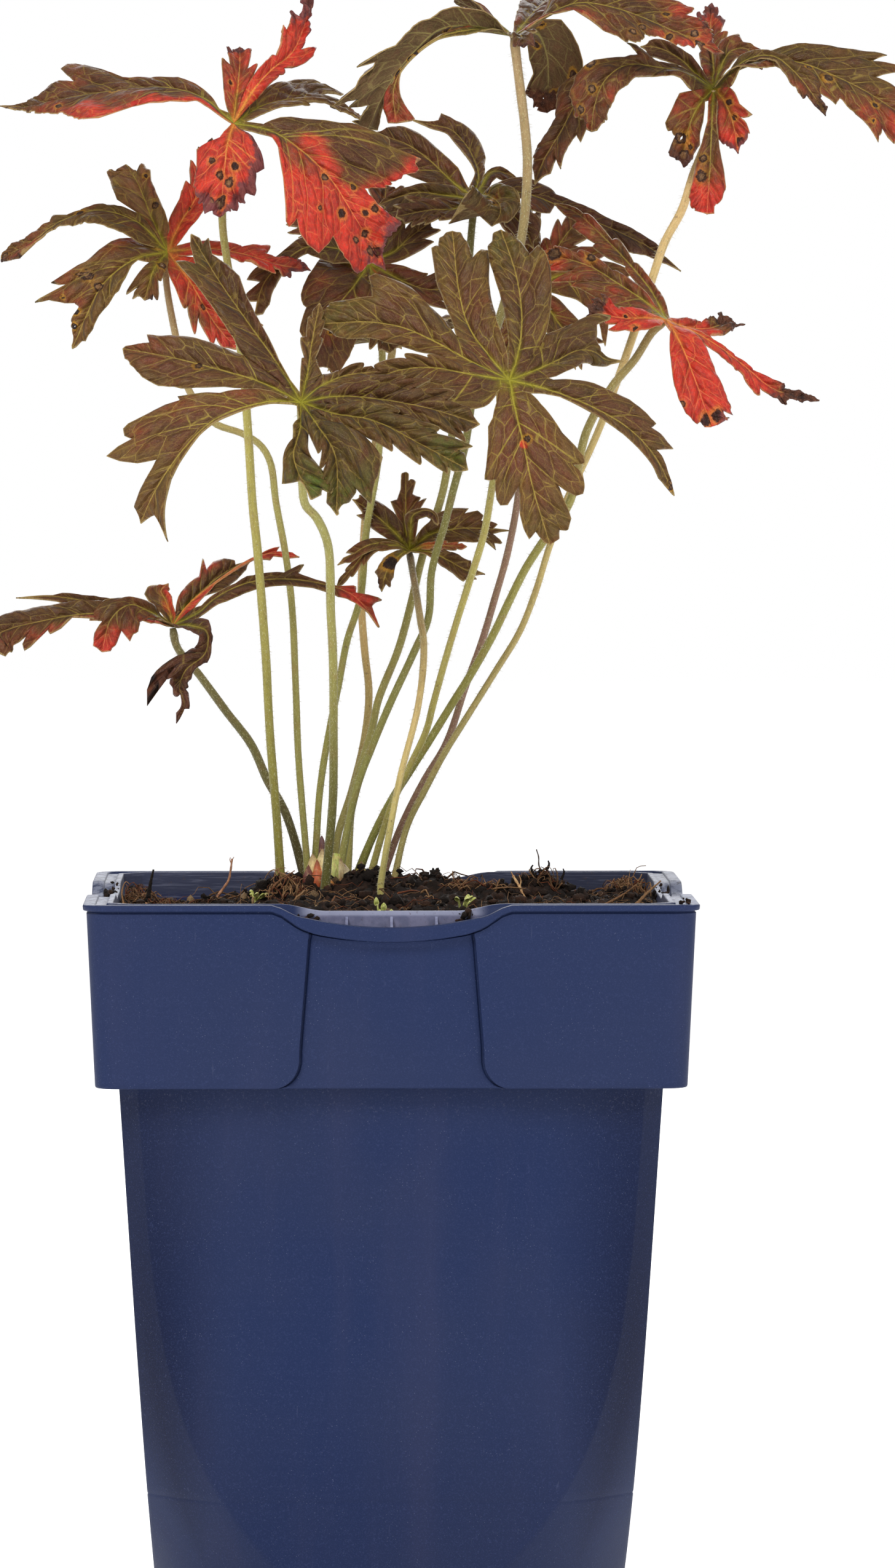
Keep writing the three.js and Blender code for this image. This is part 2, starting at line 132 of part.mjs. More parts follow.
    [[-19.1,-52.0,261.5,-0.04,-0.7,0.72,1.0,1.0],[-18.2,-48.0,265.4,0.0,-0.7,0.71,1.2,1.2],[-17.4,-43.1,270.5,0.03,-0.73,0.68,1.5,1.4],[-16.5,-38.6,275.9,0.03,-0.82,0.57,1.7,1.7],[-15.3,-34.5,282.1,0.03,-0.84,0.55,0.8,0.8]],
    [[-19.1,-52.0,261.5,-0.3,-0.89,0.34,1.0,1.0],[-16.0,-52.2,264.2,-0.2,-0.88,0.42,1.6,1.6],[-12.1,-49.7,266.4,0.27,-0.64,0.72,2.3,2.6],[-7.9,-46.8,267.6,0.28,-0.72,0.64,2.0,2.8],[-2.9,-44.3,268.1,0.29,-0.72,0.63,0.8,1.4]],
  ] },
  small_centre: { hub: [4.8, 14.0, 228.8], lobes: [
    [[4.8,14.0,228.8,0.41,-0.86,0.3,1.0,1.0],[2.9,13.9,231.4,0.33,-0.91,0.26,1.4,1.4],[0.1,14.4,234.5,0.11,-0.91,0.39,2.8,3.9],[-3.0,15.2,237.0,0.11,-0.89,0.44,2.2,1.9],[-6.8,15.9,239.2,0.1,-0.88,0.46,1.2,1.2]],
    [[4.8,14.0,228.8,0.01,-0.88,0.48,1.0,1.0],[4.7,15.9,232.2,0.0,-0.88,0.47,1.6,1.6],[4.3,18.4,236.5,-0.02,-0.84,0.54,1.8,3.4],[4.1,21.0,240.6,0.01,-0.86,0.52,1.9,2.5],[4.5,23.7,245.1,0.01,-0.86,0.51,0.8,0.8]],
    [[4.8,14.0,228.8,-0.39,-0.79,0.47,1.0,1.0],[8.5,14.0,232.0,-0.36,-0.79,0.49,1.6,1.6],[14.1,13.9,234.6,-0.19,-0.74,0.65,2.7,2.3],[20.1,14.7,235.2,0.19,-0.69,0.7,2.5,3.5],[26.3,15.9,233.5,0.37,-0.68,0.63,0.8,1.1]],
    [[4.8,14.0,228.8,-0.34,-0.42,0.84,1.0,1.0],[7.4,10.9,228.4,-0.4,-0.44,0.8,1.6,1.6],[11.3,7.8,227.5,-0.22,-0.76,0.61,2.1,2.0],[15.7,5.9,225.8,-0.0,-0.85,0.52,1.4,1.7],[20.4,5.1,223.0,0.14,-0.88,0.45,0.8,2.0]],
    [[4.8,14.0,228.8,0.63,-0.18,0.75,1.0,1.0],[2.3,10.1,230.2,0.67,-0.31,0.68,1.6,1.6],[-2.5,6.7,229.9,0.2,-0.79,0.58,2.1,1.0],[-8.2,5.1,228.5,-0.11,-0.88,0.46,2.6,1.0],[-11.2,5.0,223.0,-0.28,-0.96,0.09,0.8,0.8]],
    [[4.8,14.0,228.8,0.13,-0.27,0.96,1.0,1.0],[4.2,10.6,228.0,0.17,-0.24,0.96,1.3,1.3],[3.0,6.6,226.8,0.5,-0.58,0.64,1.7,1.8],[0.3,3.9,224.7,0.1,-0.92,0.38,1.6,2.3],[-1.4,3.1,220.4,-0.02,-0.99,0.15,0.8,0.8]],
  ] },
  lower_left: { hub: [-47.5, 5.0, 212.3], lobes: [
    [[-47.5,5.0,212.3,0.45,-0.42,0.79,1.0,1.0],[-53.8,3.9,215.2,0.36,-0.43,0.83,2.4,2.4],[-62.3,2.6,217.5,0.24,-0.44,0.87,3.8,3.6],[-70.9,1.3,219.1,0.19,-0.46,0.87,4.3,4.3],[-80.3,0.1,219.1,0.02,-0.49,0.87,4.1,1.1]],
    [[-47.5,5.0,212.3,0.4,-0.11,0.91,1.0,1.0],[-54.0,-1.8,214.3,0.36,-0.23,0.91,2.9,3.0],[-64.4,-7.8,215.2,0.17,-0.42,0.89,3.5,4.5],[-75.5,-12.0,213.3,-0.02,-0.52,0.85,4.1,4.7],[-86.6,-16.2,209.1,-0.28,-0.6,0.74,4.4,1.5]],
    [[-47.5,5.0,212.3,0.51,0.03,0.86,1.0,1.0],[-50.3,1.2,214.2,0.62,-0.09,0.78,1.9,1.9],[-54.7,-2.9,216.6,0.64,-0.58,0.51,2.4,3.0],[-58.4,-6.6,215.1,0.01,-0.89,0.46,2.6,2.9],[-59.3,-8.8,208.6,0.01,-0.98,0.2,1.6,3.0]],
    [[-47.5,5.0,212.3,0.01,-0.69,0.72,1.0,1.0],[-47.5,7.1,214.3,0.0,-0.7,0.72,1.1,1.1],[-47.7,9.7,216.7,-0.03,-0.66,0.75,1.4,1.6],[-48.1,12.5,219.0,-0.05,-0.61,0.79,1.9,1.8],[-48.8,15.6,221.1,-0.08,-0.55,0.83,0.8,0.8]],
    [[-47.5,5.0,212.3,-0.29,-0.76,0.58,1.0,1.0],[-44.6,7.2,216.9,-0.17,-0.81,0.56,2.1,2.1],[-40.1,10.9,221.3,0.13,-0.72,0.68,4.4,3.4],[-35.3,15.7,224.2,0.28,-0.59,0.76,4.1,3.6],[-30.4,21.3,226.4,0.31,-0.56,0.77,0.8,1.1]],
    [[-47.5,5.0,212.3,-0.46,-0.35,0.81,1.0,1.0],[-39.3,2.2,217.0,-0.71,-0.4,0.57,2.8,2.6],[-28.5,0.7,222.9,-0.2,-0.4,0.89,6.0,3.4],[-16.3,-0.0,221.7,0.26,-0.47,0.84,6.6,5.4],[-3.6,0.0,217.5,0.21,-0.51,0.83,3.3,6.4]],
    [[-47.5,5.0,212.3,-0.25,-0.19,0.95,1.0,1.0],[-43.5,0.0,212.3,-0.31,-0.5,0.81,1.5,1.5],[-40.5,-4.1,207.8,0.09,-0.96,0.26,1.2,2.2],[-43.6,-5.2,200.6,-0.02,-1.0,-0.01,1.1,2.5],[-45.7,-4.2,192.5,-0.02,-0.98,-0.18,0.8,0.8]],
  ] },
  rear: { hub: [1.7, 52.0, 274.7], lobes: [
    [[1.7,52.0,274.7,-0.1,-0.31,0.95,1.0,1.0],[3.6,57.5,276.8,-0.11,-0.29,0.95,2.2,2.2],[6.5,64.4,278.5,-0.14,-0.11,0.98,4.7,5.4],[9.5,71.4,279.0,-0.11,0.1,0.99,5.8,6.3],[12.3,79.0,277.9,-0.17,0.21,0.96,3.2,3.3]],
    [[1.7,52.0,274.7,0.05,-0.24,0.97,1.0,1.0],[1.8,59.1,276.5,0.02,-0.24,0.97,2.5,2.5],[1.9,68.1,278.4,-0.01,-0.18,0.98,5.1,4.9],[2.0,77.3,279.0,-0.01,0.12,0.99,6.2,6.5],[2.1,86.8,276.7,-0.01,0.25,0.97,2.8,3.1]],
    [[1.7,52.0,274.7,0.18,-0.24,0.95,1.0,1.0],[-0.1,57.1,276.4,0.15,-0.26,0.96,2.1,2.1],[-2.8,63.6,278.1,0.14,-0.14,0.98,4.6,5.2],[-5.5,70.1,278.7,0.1,0.13,0.99,5.8,6.0],[-8.2,77.1,277.2,0.15,0.27,0.95,2.7,3.0]],
    [[1.7,52.0,274.7,-0.13,0.1,0.99,1.0,1.0],[4.6,52.0,275.1,-0.13,0.1,0.99,1.3,1.3],[8.3,51.9,275.4,-0.04,0.14,0.99,3.9,3.1],[11.9,52.2,274.8,0.37,0.24,0.89,4.2,3.8],[15.2,52.9,272.9,0.42,0.32,0.85,3.3,3.0]],
    [[1.7,52.0,274.7,0.13,0.1,0.99,1.0,1.0],[-1.0,52.1,275.1,0.13,0.1,0.99,1.3,1.2],[-4.3,51.2,275.4,-0.04,0.19,0.98,3.2,3.7],[-7.3,49.9,274.9,-0.46,0.2,0.87,3.8,4.1],[-10.4,50.0,272.9,-0.53,0.31,0.79,3.5,3.6]],
  ] },
};
const PETIOLES = {
  red_upper_left: { radius: 0.95, path: [[-34.2,-24.5,318.8],[-36.2,-20.9,302.7],[-34.3,-17.5,286.6],[-32.0,-14.3,270.5],[-30.8,-11.2,254.2],[-29.7,-8.3,237.9],[-28.1,-5.7,221.6],[-26.9,-3.2,205.3],[-25.9,-1.0,188.8],[-24.7,0.7,172.4],[-23.7,2.0,155.9]] },
  left: { radius: 0.81, path: [[-48.8,5.2,291.4],[-47.0,6.0,277.1],[-43.3,6.7,263.2],[-32.3,7.1,254.8],[-25.0,7.3,243.5],[-22.8,7.1,229.3],[-21.0,6.6,214.9],[-20.3,5.8,200.5],[-19.8,4.6,186.2],[-18.9,3.3,171.8],[-17.7,2.0,157.5]] },
  top_centre: { radius: 1.0, path: [[28.1,4.9,338.4],[30.2,4.1,320.2],[29.8,3.3,301.8],[25.9,2.6,283.9],[19.9,1.9,266.6],[16.0,1.3,248.7],[11.4,0.7,231.0],[8.5,0.2,213.0],[0.8,-0.3,196.3],[-6.2,-0.7,179.3],[-10.3,-1.0,161.4]] },
  top_right: { radius: 0.9, path: [[72.2,11.7,327.1],[66.6,10.1,309.6],[59.5,8.4,292.5],[53.7,6.9,274.8],[47.2,5.4,257.3],[39.5,4.0,240.3],[33.5,2.7,222.7],[25.8,1.5,205.8],[15.9,0.5,190.0],[6.7,-0.4,173.7],[1.1,-1.0,156.0]] },
  right_red: { radius: 0.94, path: [[58.0,-14.6,277.5],[49.9,-12.2,266.7],[43.2,-10.0,254.9],[40.5,-7.8,241.6],[33.4,-5.8,230.1],[26.6,-3.9,218.3],[20.5,-2.1,206.1],[13.4,-0.5,194.4],[6.2,1.0,182.8],[-1.0,2.2,171.1],[-6.5,3.0,158.5]] },
  dark_centre: { radius: 0.89, path: [[19.1,29.5,303.7],[18.1,26.7,289.2],[17.1,24.0,274.6],[15.3,21.4,260.2],[13.3,18.9,245.7],[9.3,16.5,231.6],[5.4,14.3,217.5],[1.1,12.3,203.5],[-3.2,10.5,189.5],[-7.6,9.0,175.4],[-8.9,8.0,160.7]] },
  brown_behind_right: { radius: 0.8, path: [[32.4,21.6,283.0],[31.7,19.8,270.1],[30.7,18.1,257.3],[29.5,16.5,244.4],[27.2,14.9,231.7],[24.0,13.4,219.2],[20.3,12.0,206.8],[15.7,10.7,194.6],[10.8,9.6,182.7],[4.5,8.6,171.3],[-0.4,8.0,159.3]] },
  brown_behind_left: { radius: 0.82, path: [[-3.4,23.5,288.8],[-1.4,21.1,276.1],[-1.2,18.7,263.2],[-1.9,16.5,250.3],[-4.0,14.3,237.5],[-5.4,12.3,224.6],[-8.2,10.4,212.0],[-10.8,8.7,199.3],[-13.3,7.1,186.5],[-15.2,5.8,173.6],[-16.1,5.0,160.6]] },
  front_right: { radius: 0.8, path: [[25.2,-43.9,263.2],[23.8,-38.5,252.9],[21.8,-33.2,242.5],[19.9,-28.2,232.1],[16.9,-23.4,221.8],[13.9,-18.8,211.4],[11.1,-14.5,200.8],[8.4,-10.6,190.1],[3.8,-7.0,179.9],[-0.7,-4.0,169.4],[-3.8,-2.0,158.2]] },
  front_left: { radius: 0.99, path: [[-19.1,-50.8,258.3],[-19.0,-45.4,248.3],[-17.4,-40.1,238.6],[-13.1,-35.2,229.6],[-12.8,-30.4,219.4],[-12.5,-25.8,209.0],[-12.1,-21.5,198.5],[-12.1,-17.6,187.9],[-12.3,-14.0,177.2],[-13.0,-11.3,166.2],[-14.0,-9.0,155.1]] },
  small_centre: { radius: 0.78, path: [[5.0,12.0,226.8],[5.9,5.1,221.5],[6.8,-1.5,215.7],[7.6,-7.5,209.4],[7.2,-12.5,202.3],[6.0,-16.6,194.6],[3.9,-19.0,186.5],[1.8,-20.2,178.1],[0.1,-19.9,169.5],[-1.3,-18.7,160.9],[-1.6,-17.0,152.4]] },
  lower_left: { radius: 0.96, path: [[-47.0,5.2,209.2],[-43.9,5.5,204.3],[-40.2,5.9,199.8],[-36.7,6.2,195.1],[-33.2,6.6,190.5],[-29.8,6.9,185.7],[-27.5,7.2,180.4],[-24.9,7.4,175.2],[-22.2,7.7,170.0],[-20.5,7.8,164.4],[-18.9,8.0,158.8]] },
  rear: { radius: 0.88, path: [[1.3,51.0,271.7],[-0.8,46.1,260.9],[-2.9,41.3,250.1],[-4.4,36.6,239.1],[-5.3,32.1,228.0],[-5.7,27.9,216.7],[-5.1,23.8,205.4],[-4.3,20.1,194.0],[-5.9,16.7,182.6],[-9.3,13.9,171.4],[-12.0,12.0,159.9]] },
};

// ---------- solids ----------
const wasm = await Module();
wasm.setup();

function solidOf(geometry) {
  const g = geometry.clone();
  for (const name of Object.keys(g.attributes)) if (name !== 'position') g.deleteAttribute(name);
  const m = mergeVertices(g, 1e-4);
  const pos = new Float32Array(m.attributes.position.array);
  let tri = new Uint32Array(m.index.array);
  const keep = [];
  let volume = 0;
  for (let i = 0; i < tri.length; i += 3) {
    const [a, b, c] = [tri[i], tri[i + 1], tri[i + 2]];
    if (a === b || b === c || c === a) continue;
    keep.push(a, b, c);
    const A = new THREE.Vector3(pos[3 * a], pos[3 * a + 1], pos[3 * a + 2]);
    const B = new THREE.Vector3(pos[3 * b], pos[3 * b + 1], pos[3 * b + 2]);
    const D = new THREE.Vector3(pos[3 * c], pos[3 * c + 1], pos[3 * c + 2]);
    volume += A.dot(B.cross(D)) / 6;
  }
  if (volume < 0) for (let i = 0; i < keep.length; i += 3) [keep[i + 1], keep[i + 2]] = [keep[i + 2], keep[i + 1]];
  return new wasm.Manifold(new wasm.Mesh({ numProp: 3, vertProperties: pos, triVerts: new Uint32Array(keep) }));
}

function largest(solid) {
  const bodies = solid.decompose();
  let best = bodies[0];
  for (const b of bodies) if (b.volume() > best.volume()) best = b;
  return best;
}

function geometryOf(solid) {
  const mesh = solid.getMesh();
  const g = new THREE.BufferGeometry();
  g.setAttribute('position', new THREE.BufferAttribute(new Float32Array(mesh.vertProperties), 3));
  g.setIndex(new THREE.BufferAttribute(new Uint32Array(mesh.triVerts), 1));
  return g;
}

// closed rings of equal length, joined one to the next; the first and last are fans to a middle point
function loft(rings, firstCentre, lastCentre) {
  const n = rings[0].length;
  const pos = [];
  const idx = [];
  for (const ring of rings) for (const p of ring) pos.push(p[0], p[1], p[2]);
  for (let k = 0; k + 1 < rings.length; k++) {
    for (let i = 0; i < n; i++) {
      const j = (i + 1) % n;
      const a = k * n + i, b = k * n + j, c = (k + 1) * n + j, d = (k + 1) * n + i;
      idx.push(a, b, c, a, c, d);
    }
  }
  const fan = (centre, k, flip) => {
    const c = pos.length / 3;
    pos.push(...centre);
    for (let i = 0; i < n; i++) {
      const j = (i + 1) % n;
      if (flip) idx.push(c, k * n + j, k * n + i); else idx.push(c, k * n + i, k * n + j);
    }
  };
  if (firstCentre) fan(firstCentre, 0, true);
  if (lastCentre) fan(lastCentre, rings.length - 1, false);
  const g = new THREE.BufferGeometry();
  g.setAttribute('position', new THREE.BufferAttribute(new Float32Array(pos), 3));
  g.setIndex(idx);
  return g;
}

// ---------- pot ----------
const bodyHalf = (z) => BODY_HALF_BASE + BODY_TAPER * z;
// The body's corners lie on a round cone that closes in towards the base, so square turns to round.
const CONE = [[0, 51.8], [7, 55.0], [14.7, 58.6], [24.8, 63.4], [38.6, 68.5], [57, 72.9], [80, 76.1], [117, 79.6], [156, 82.4]];
function coneRadius(z) {
  for (let i = 1; i < CONE.length; i++) {
    if (z <= CONE[i][0]) {
      const [a, ra] = CONE[i - 1], [b, rb] = CONE[i];
      return ra + (rb - ra) * (z - a) / (b - a);
    }
  }
  return CONE[CONE.length - 1][1];
}
function squareRadius(angle, half, corner) {
  let a = Math.abs(((angle % (Math.PI / 2)) + Math.PI / 2) % (Math.PI / 2));
  if (a > Math.PI / 4) a = Math.PI / 2 - a;
  const inner = half - corner;
  if (Math.tan(a) <= inner / half) return half / Math.cos(a);
  const dc = Math.cos(a) * inner + Math.sin(a) * inner;
  return dc + Math.sqrt(Math.max(0, dc * dc - (2 * inner * inner - corner * corner)));
}
const SIDE_ANGLES = [-42.6, -39.5, -28, -21.7, -15.9, -15.4, -8, 0, 8, 15.4, 15.9, 21.7, 28, 39.5, 42.6, 45].map((d) => d * Math.PI / 180);
const POT_ANGLES = [];
for (let s = 0; s < 4; s++) for (const a of SIDE_ANGLES) POT_ANGLES.push(a + s * Math.PI / 2);
// distance from the middle of the side, for a point at this angle
function across(angle, half) {
  let a = ((angle + Math.PI / 4) % (Math.PI / 2) + Math.PI / 2) % (Math.PI / 2) - Math.PI / 4;
  return Math.abs(Math.tan(a) * half);
}
function smooth(x, a, b) {
  const t = Math.min(1, Math.max(0, (x - a) / (b - a)));
  return t * t * (3 - 2 * t);
}
function rimDip(t) {
  if (t >= DIP_OUTER) return 0;
  if (t >= DIP_INNER) return DIP_STEP * (1 - smooth(t, DIP_INNER, DIP_OUTER));
  return DIP_STEP + DIP_ARC * (1 - (t / DIP_INNER) ** 2);
}
const innerDip = (t) => INNER_DIP * (1 - smooth(t, 14, 24));
const potPoint = (angle, r, z) => [r * Math.sin(angle), -r * Math.cos(angle), z];
const collarHalf = (z) => COLLAR_HALF_LOW + (COLLAR_HALF_TOP - COLLAR_HALF_LOW) * (z - COLLAR_LOW_Z) / (POT_HEIGHT - COLLAR_LOW_Z);
const panel = (t) => PANEL_DEPTH * (t < PANEL_HALF ? 1 : 0);

function bodyRing(z, inset) {
  return POT_ANGLES.map((a) => potPoint(a, Math.min(squareRadius(a, bodyHalf(z) - inset, 3), coneRadius(z) - inset), z));
}
function collarRing(zf, inset, halfZ) {
  return POT_ANGLES.map((a) => {
    const t = across(a, COLLAR_HALF_TOP);
    const z = zf(t);
    const h = collarHalf(halfZ ?? z) - inset(t);
    return potPoint(a, squareRadius(a, h, COLLAR_CORNER), z);
  });
}
const zeroInset = () => 0;
const potRings = [
  POT_ANGLES.map((a) => potPoint(a, coneRadius(0) - 1.0 < bodyHalf(0) ? coneRadius(0) - 1.0 : bodyHalf(0), 0)),
  bodyRing(1.0, 0), bodyRing(10, 0), bodyRing(24, 0), bodyRing(42, 0), bodyRing(64, 0), bodyRing(120, 0),
  POT_ANGLES.map((a) => { // under the ledge, at the body
    const t = across(a, COLLAR_HALF_TOP);
    const z = LEDGE_Z - rimDip(t) * 1.25;
    return potPoint(a, Math.min(squareRadius(a, bodyHalf(z), 3), coneRadius(z)), z);
  }),
  collarRing((t) => LEDGE_Z - rimDip(t) * 1.25, (t) => SKIRT_WALL + panel(t), LEDGE_Z),
  collarRing(() => COLLAR_LOW_Z, (t) => SKIRT_WALL + panel(t)),
  collarRing(() => COLLAR_LOW_Z, panel),
  collarRing((t) => BEAD_LOW_Z - rimDip(t), panel, BEAD_LOW_Z),
  collarRing((t) => BEAD_LOW_Z + 0.1 - rimDip(t), (t) => -BEAD, BEAD_LOW_Z),
  collarRing((t) => POT_HEIGHT - rimDip(t), (t) => -BEAD * 0.9, POT_HEIGHT),
  collarRing((t) => POT_HEIGHT - rimDip(t), (t) => 1.7, POT_HEIGHT),
  POT_ANGLES.map((a) => { // rim, inner edge
    const t = across(a, COLLAR_HALF_TOP);
    const z = POT_HEIGHT - innerDip(t);
    return potPoint(a, Math.min(squareRadius(a, bodyHalf(z), 3), coneRadius(z)) + 0.1, z);
  }),
  POT_ANGLES.map((a) => {
    const t = across(a, COLLAR_HALF_TOP);
    const z = POT_HEIGHT - innerDip(t);
    return potPoint(a, Math.min(squareRadius(a, bodyHalf(z) - WALL, 3), coneRadius(z) - WALL), z);
  }),
  bodyRing(120, WALL), bodyRing(64, WALL), bodyRing(42, WALL), bodyRing(24, WALL), bodyRing(10, WALL), bodyRing(FLOOR, WALL),
];
let potSolid = solidOf(loft(potRings, [0, 0, 0], [0, 0, FLOOR]));
for (let i = 0; i < DRAIN_COUNT; i++) {
  const a = (i + 0.5) / DRAIN_COUNT * Math.PI * 2;
  const hole = new THREE.CylinderGeometry(DRAIN_RADIUS, DRAIN_RADIUS, 8, 8, 1);
  hole.rotateX(Math.PI / 2);
  hole.translate(DRAIN_CIRCLE * Math.cos(a), DRAIN_CIRCLE * Math.sin(a), 1);
  potSolid = potSolid.subtract(solidOf(hole));
}
// label slots: open pockets between the dipped lip and the inner wall, divided by three ribs
const SLOT_SPANS = [[-14.2, -9.9], [-9.2, -0.35], [0.35, 9.2], [9.9, 14.2]];
for (let s = 0; s < 4; s++) {
  for (const [x0, x1] of SLOT_SPANS) {
    const box = new THREE.BoxGeometry(x1 - x0, 2.2, 12);
    box.translate((x0 + x1) / 2, -(60.75 + 1.1), 147.6 + 6);
    box.rotateZ(s * Math.PI / 2);
    potSolid = potSolid.subtract(solidOf(box));
  }
}
potSolid = largest(potSolid);

// ---------- soil ----------
function soilHeight(x, y) {
  const d = Math.hypot(x - MOUND_AT[0], (y - MOUND_AT[1]) * 1.1);
  const edge = Math.max(Math.abs(x), Math.abs(y)) / 58;
  return SOIL_EDGE_Z + MOUND_HEIGHT * Math.exp(-((d / MOUND_RADIUS) ** 2)) + 0.9 * (1 - smooth(edge, 0.55, 1))
    + 0.5 * Math.sin(x * 0.21 + 1) * Math.cos(y * 0.19) * (1 - smooth(edge, 0.8, 1));
}
const SOIL_ANGLES = POT_ANGLES.filter((a, i) => ![3, 5, 6, 8, 9, 11].includes(i % SIDE_ANGLES.length));
const soilR = (a, z) => Math.min(squareRadius(a, bodyHalf(z) - WALL - GAP, 3), coneRadius(z) - WALL - GAP);
const soilRings = [];
for (const z of [FLOOR + GAP, 10, 24, 42, 64, 120, SOIL_EDGE_Z]) soilRings.push(SOIL_ANGLES.map((a) => potPoint(a, soilR(a, z) - (z < 100 ? 1.9 : 0.25), z)));
for (const f of [0.9, 0.7, 0.5, 0.3, 0.14]) {
  soilRings.push(SOIL_ANGLES.map((a) => {
    const p = potPoint(a, soilR(a, SOIL_EDGE_Z) * f, 0);
    const cx = MOUND_AT[0] * (1 - f);
    const x = p[0] + cx, y = p[1];
    return [x, y, soilHeight(x, y)];
  }));
}
let soilSolid = solidOf(loft(soilRings, [0, 0, FLOOR + GAP], [MOUND_AT[0], 0, soilHeight(MOUND_AT[0], 0)]));

// ---------- crown ----------
function crownGeometry(grow) {
  const g = new THREE.SphereGeometry(1, 12, 8);
  g.scale(CROWN_SIZE[0] + grow, CROWN_SIZE[1] + grow, CROWN_SIZE[2] + grow);
  g.rotateX(Math.PI / 2);
  g.scale(1, 1, 1);
  g.translate(...CROWN_AT);
  return g;
}
const crownSolid = solidOf(crownGeometry(0));
soilSolid = largest(soilSolid.subtract(solidOf(crownGeometry(0.45))));

// ---------- petioles ----------
function petioleSolid(name, grow) {
  const { radius, path } = PETIOLES[name];
  const pts = path.map((p) => new THREE.Vector3(...p));
  const curve = new THREE.CatmullRomCurve3(pts, false, 'centripetal');
  const r = radius + grow;
  const section = new THREE.Shape();
  for (let i = 0; i < 5; i++) {
    const a = i / 5 * Math.PI * 2;
    if (i === 0) section.moveTo(r * Math.cos(a), r * Math.sin(a)); else section.lineTo(r * Math.cos(a), r * Math.sin(a));
  }
  section.closePath();
  const g = new THREE.ExtrudeGeometry(section, { steps: 10, bevelEnabled: false, extrudePath: curve });
  return solidOf(g);
}

// ---------- leaf blades ----------
function lobeGeometry(stations, thickness, grow, start) {
  const pos = [];
  const idx = [];
  const n = stations.length;
  for (let k = 0; k < n; k++) {
    const [x, y, z, nx, ny, nz, wl, wr] = stations[k];
    const c = new THREE.Vector3(x, y, z);
    const next = stations[Math.min(k + 1, n - 1)], prev = stations[Math.max(k - 1, 0)];
    const t = new THREE.Vector3(next[0] - prev[0], next[1] - prev[1], next[2] - prev[2]).normalize();
    const nn = new THREE.Vector3(nx, ny, nz);
    nn.addScaledVector(t, -nn.dot(t)).normalize();
    const s = new THREE.Vector3().crossVectors(t, nn).normalize();
    if (k === 0) c.addScaledVector(t, -grow - start);
    if (k === n - 1) c.addScaledVector(t, grow);
    const h = thickness / 2;
    for (const [w, v] of [[-(wl + grow), h], [wr + grow, h], [wr + grow, -h], [-(wl + grow), -h]]) {
      const p = c.clone().addScaledVector(s, w).addScaledVector(nn, v);
      pos.push(p.x, p.y, p.z);
    }
  }
  for (let k = 0; k + 1 < n; k++) {
    for (let i = 0; i < 4; i++) {
      const j = (i + 1) % 4;
      const a = k * 4 + i, b = k * 4 + j, c = (k + 1) * 4 + j, d = (k + 1) * 4 + i;
      idx.push(a, b, c, a, c, d);
    }
  }
  idx.push(0, 2, 1, 0, 3, 2);
  const m = (n - 1) * 4;
  idx.push(m, m + 1, m + 2, m, m + 2, m + 3);
  const g = new THREE.BufferGeometry();
  g.setAttribute('position', new THREE.BufferAttribute(new Float32Array(pos), 3));
  g.setIndex(idx);
  return g;
}
function bladeSolid(name, grow) {
  const { hub, lobes } = BLADES[name];
  const boss = new THREE.IcosahedronGeometry(1.5 + grow, 0);
  boss.translate(...hub);
  let solid = solidOf(boss);
  lobes.forEach((stations, i) => {
    solid = solid.add(solidOf(lobeGeometry(stations, BLADE_THICKNESS + 2 * grow, grow, 0.25 + 0.11 * i)));
  });
  return solid;
}

// ---------- small trim on the soil ----------
function sprig(points, radius, steps) {
  const curve = new THREE.CatmullRomCurve3(points.map((p) => new THREE.Vector3(...p)));
  const section = new THREE.Shape();
  for (let i = 0; i < 5; i++) {
    const a = i / 5 * Math.PI * 2;
    if (i === 0) section.moveTo(radius * Math.cos(a), radius * Math.sin(a)); else section.lineTo(radius * Math.cos(a), radius * Math.sin(a));
  }
  section.closePath();
  return solidOf(new THREE.ExtrudeGeometry(section, { steps, bevelEnabled: false, extrudePath: curve }));
}
const TRIM = {
  twig: { color: '#7a5238', solid: sprig([[-37.4, 0.6, 153.4], [-36.2, 1.2, 155.2], [-35.0, 1.8, 157.6], [-34.4, 2.4, 161.2]], 0.35, 5) },
  root_fibre: { color: '#2c201a', solid: sprig([[34.2, 3.4, 153.2], [34.0, 4.2, 157.6], [33.2, 4.5, 160.4], [32.8, 4.6, 163.0]], 0.3, 4) },
  straw: { color: '#b98a58', solid: sprig([[30.2, -12.0, 153.2], [29.0, -10.6, 155.4], [27.2, -9.0, 158.0]], 0.4, 3) },
  shoot_front: { color: '#a9b060', solid: sprig([[15.3, -40.0, 152.6], [15.6, -40.3, 154.0], [16.4, -40.8, 155.2]], 0.6, 2) },
  shoot_left: { color: '#b7b878', solid: sprig([[-29.2, -14.0, 154.1], [-29.5, -14.2, 155.0], [-29.8, -14.5, 155.9]], 0.6, 2) },
};

// ---------- assembly ----------
const names = Object.keys(BLADES);
const petioles = {}, blades = {};
for (const n of names) petioles[n] = petioleSolid(n, 0);
for (const n of names) blades[n] = largest(bladeSolid(n, 0));
const clearance = 0.3;
// a petiole ends just under its own hub and just over the crown and the soil
for (const n of names) {
  if (petioles[n].intersect(blades[n]).volume() > 1e-6) petioles[n] = petioles[n].subtract(bladeSolid(n, clearance));
  petioles[n] = petioles[n].subtract(solidOf(crownGeometry(clearance)));
  petioles[n] = largest(petioles[n].subtract(soilSolid.translate(0, 0, clearance)));
}
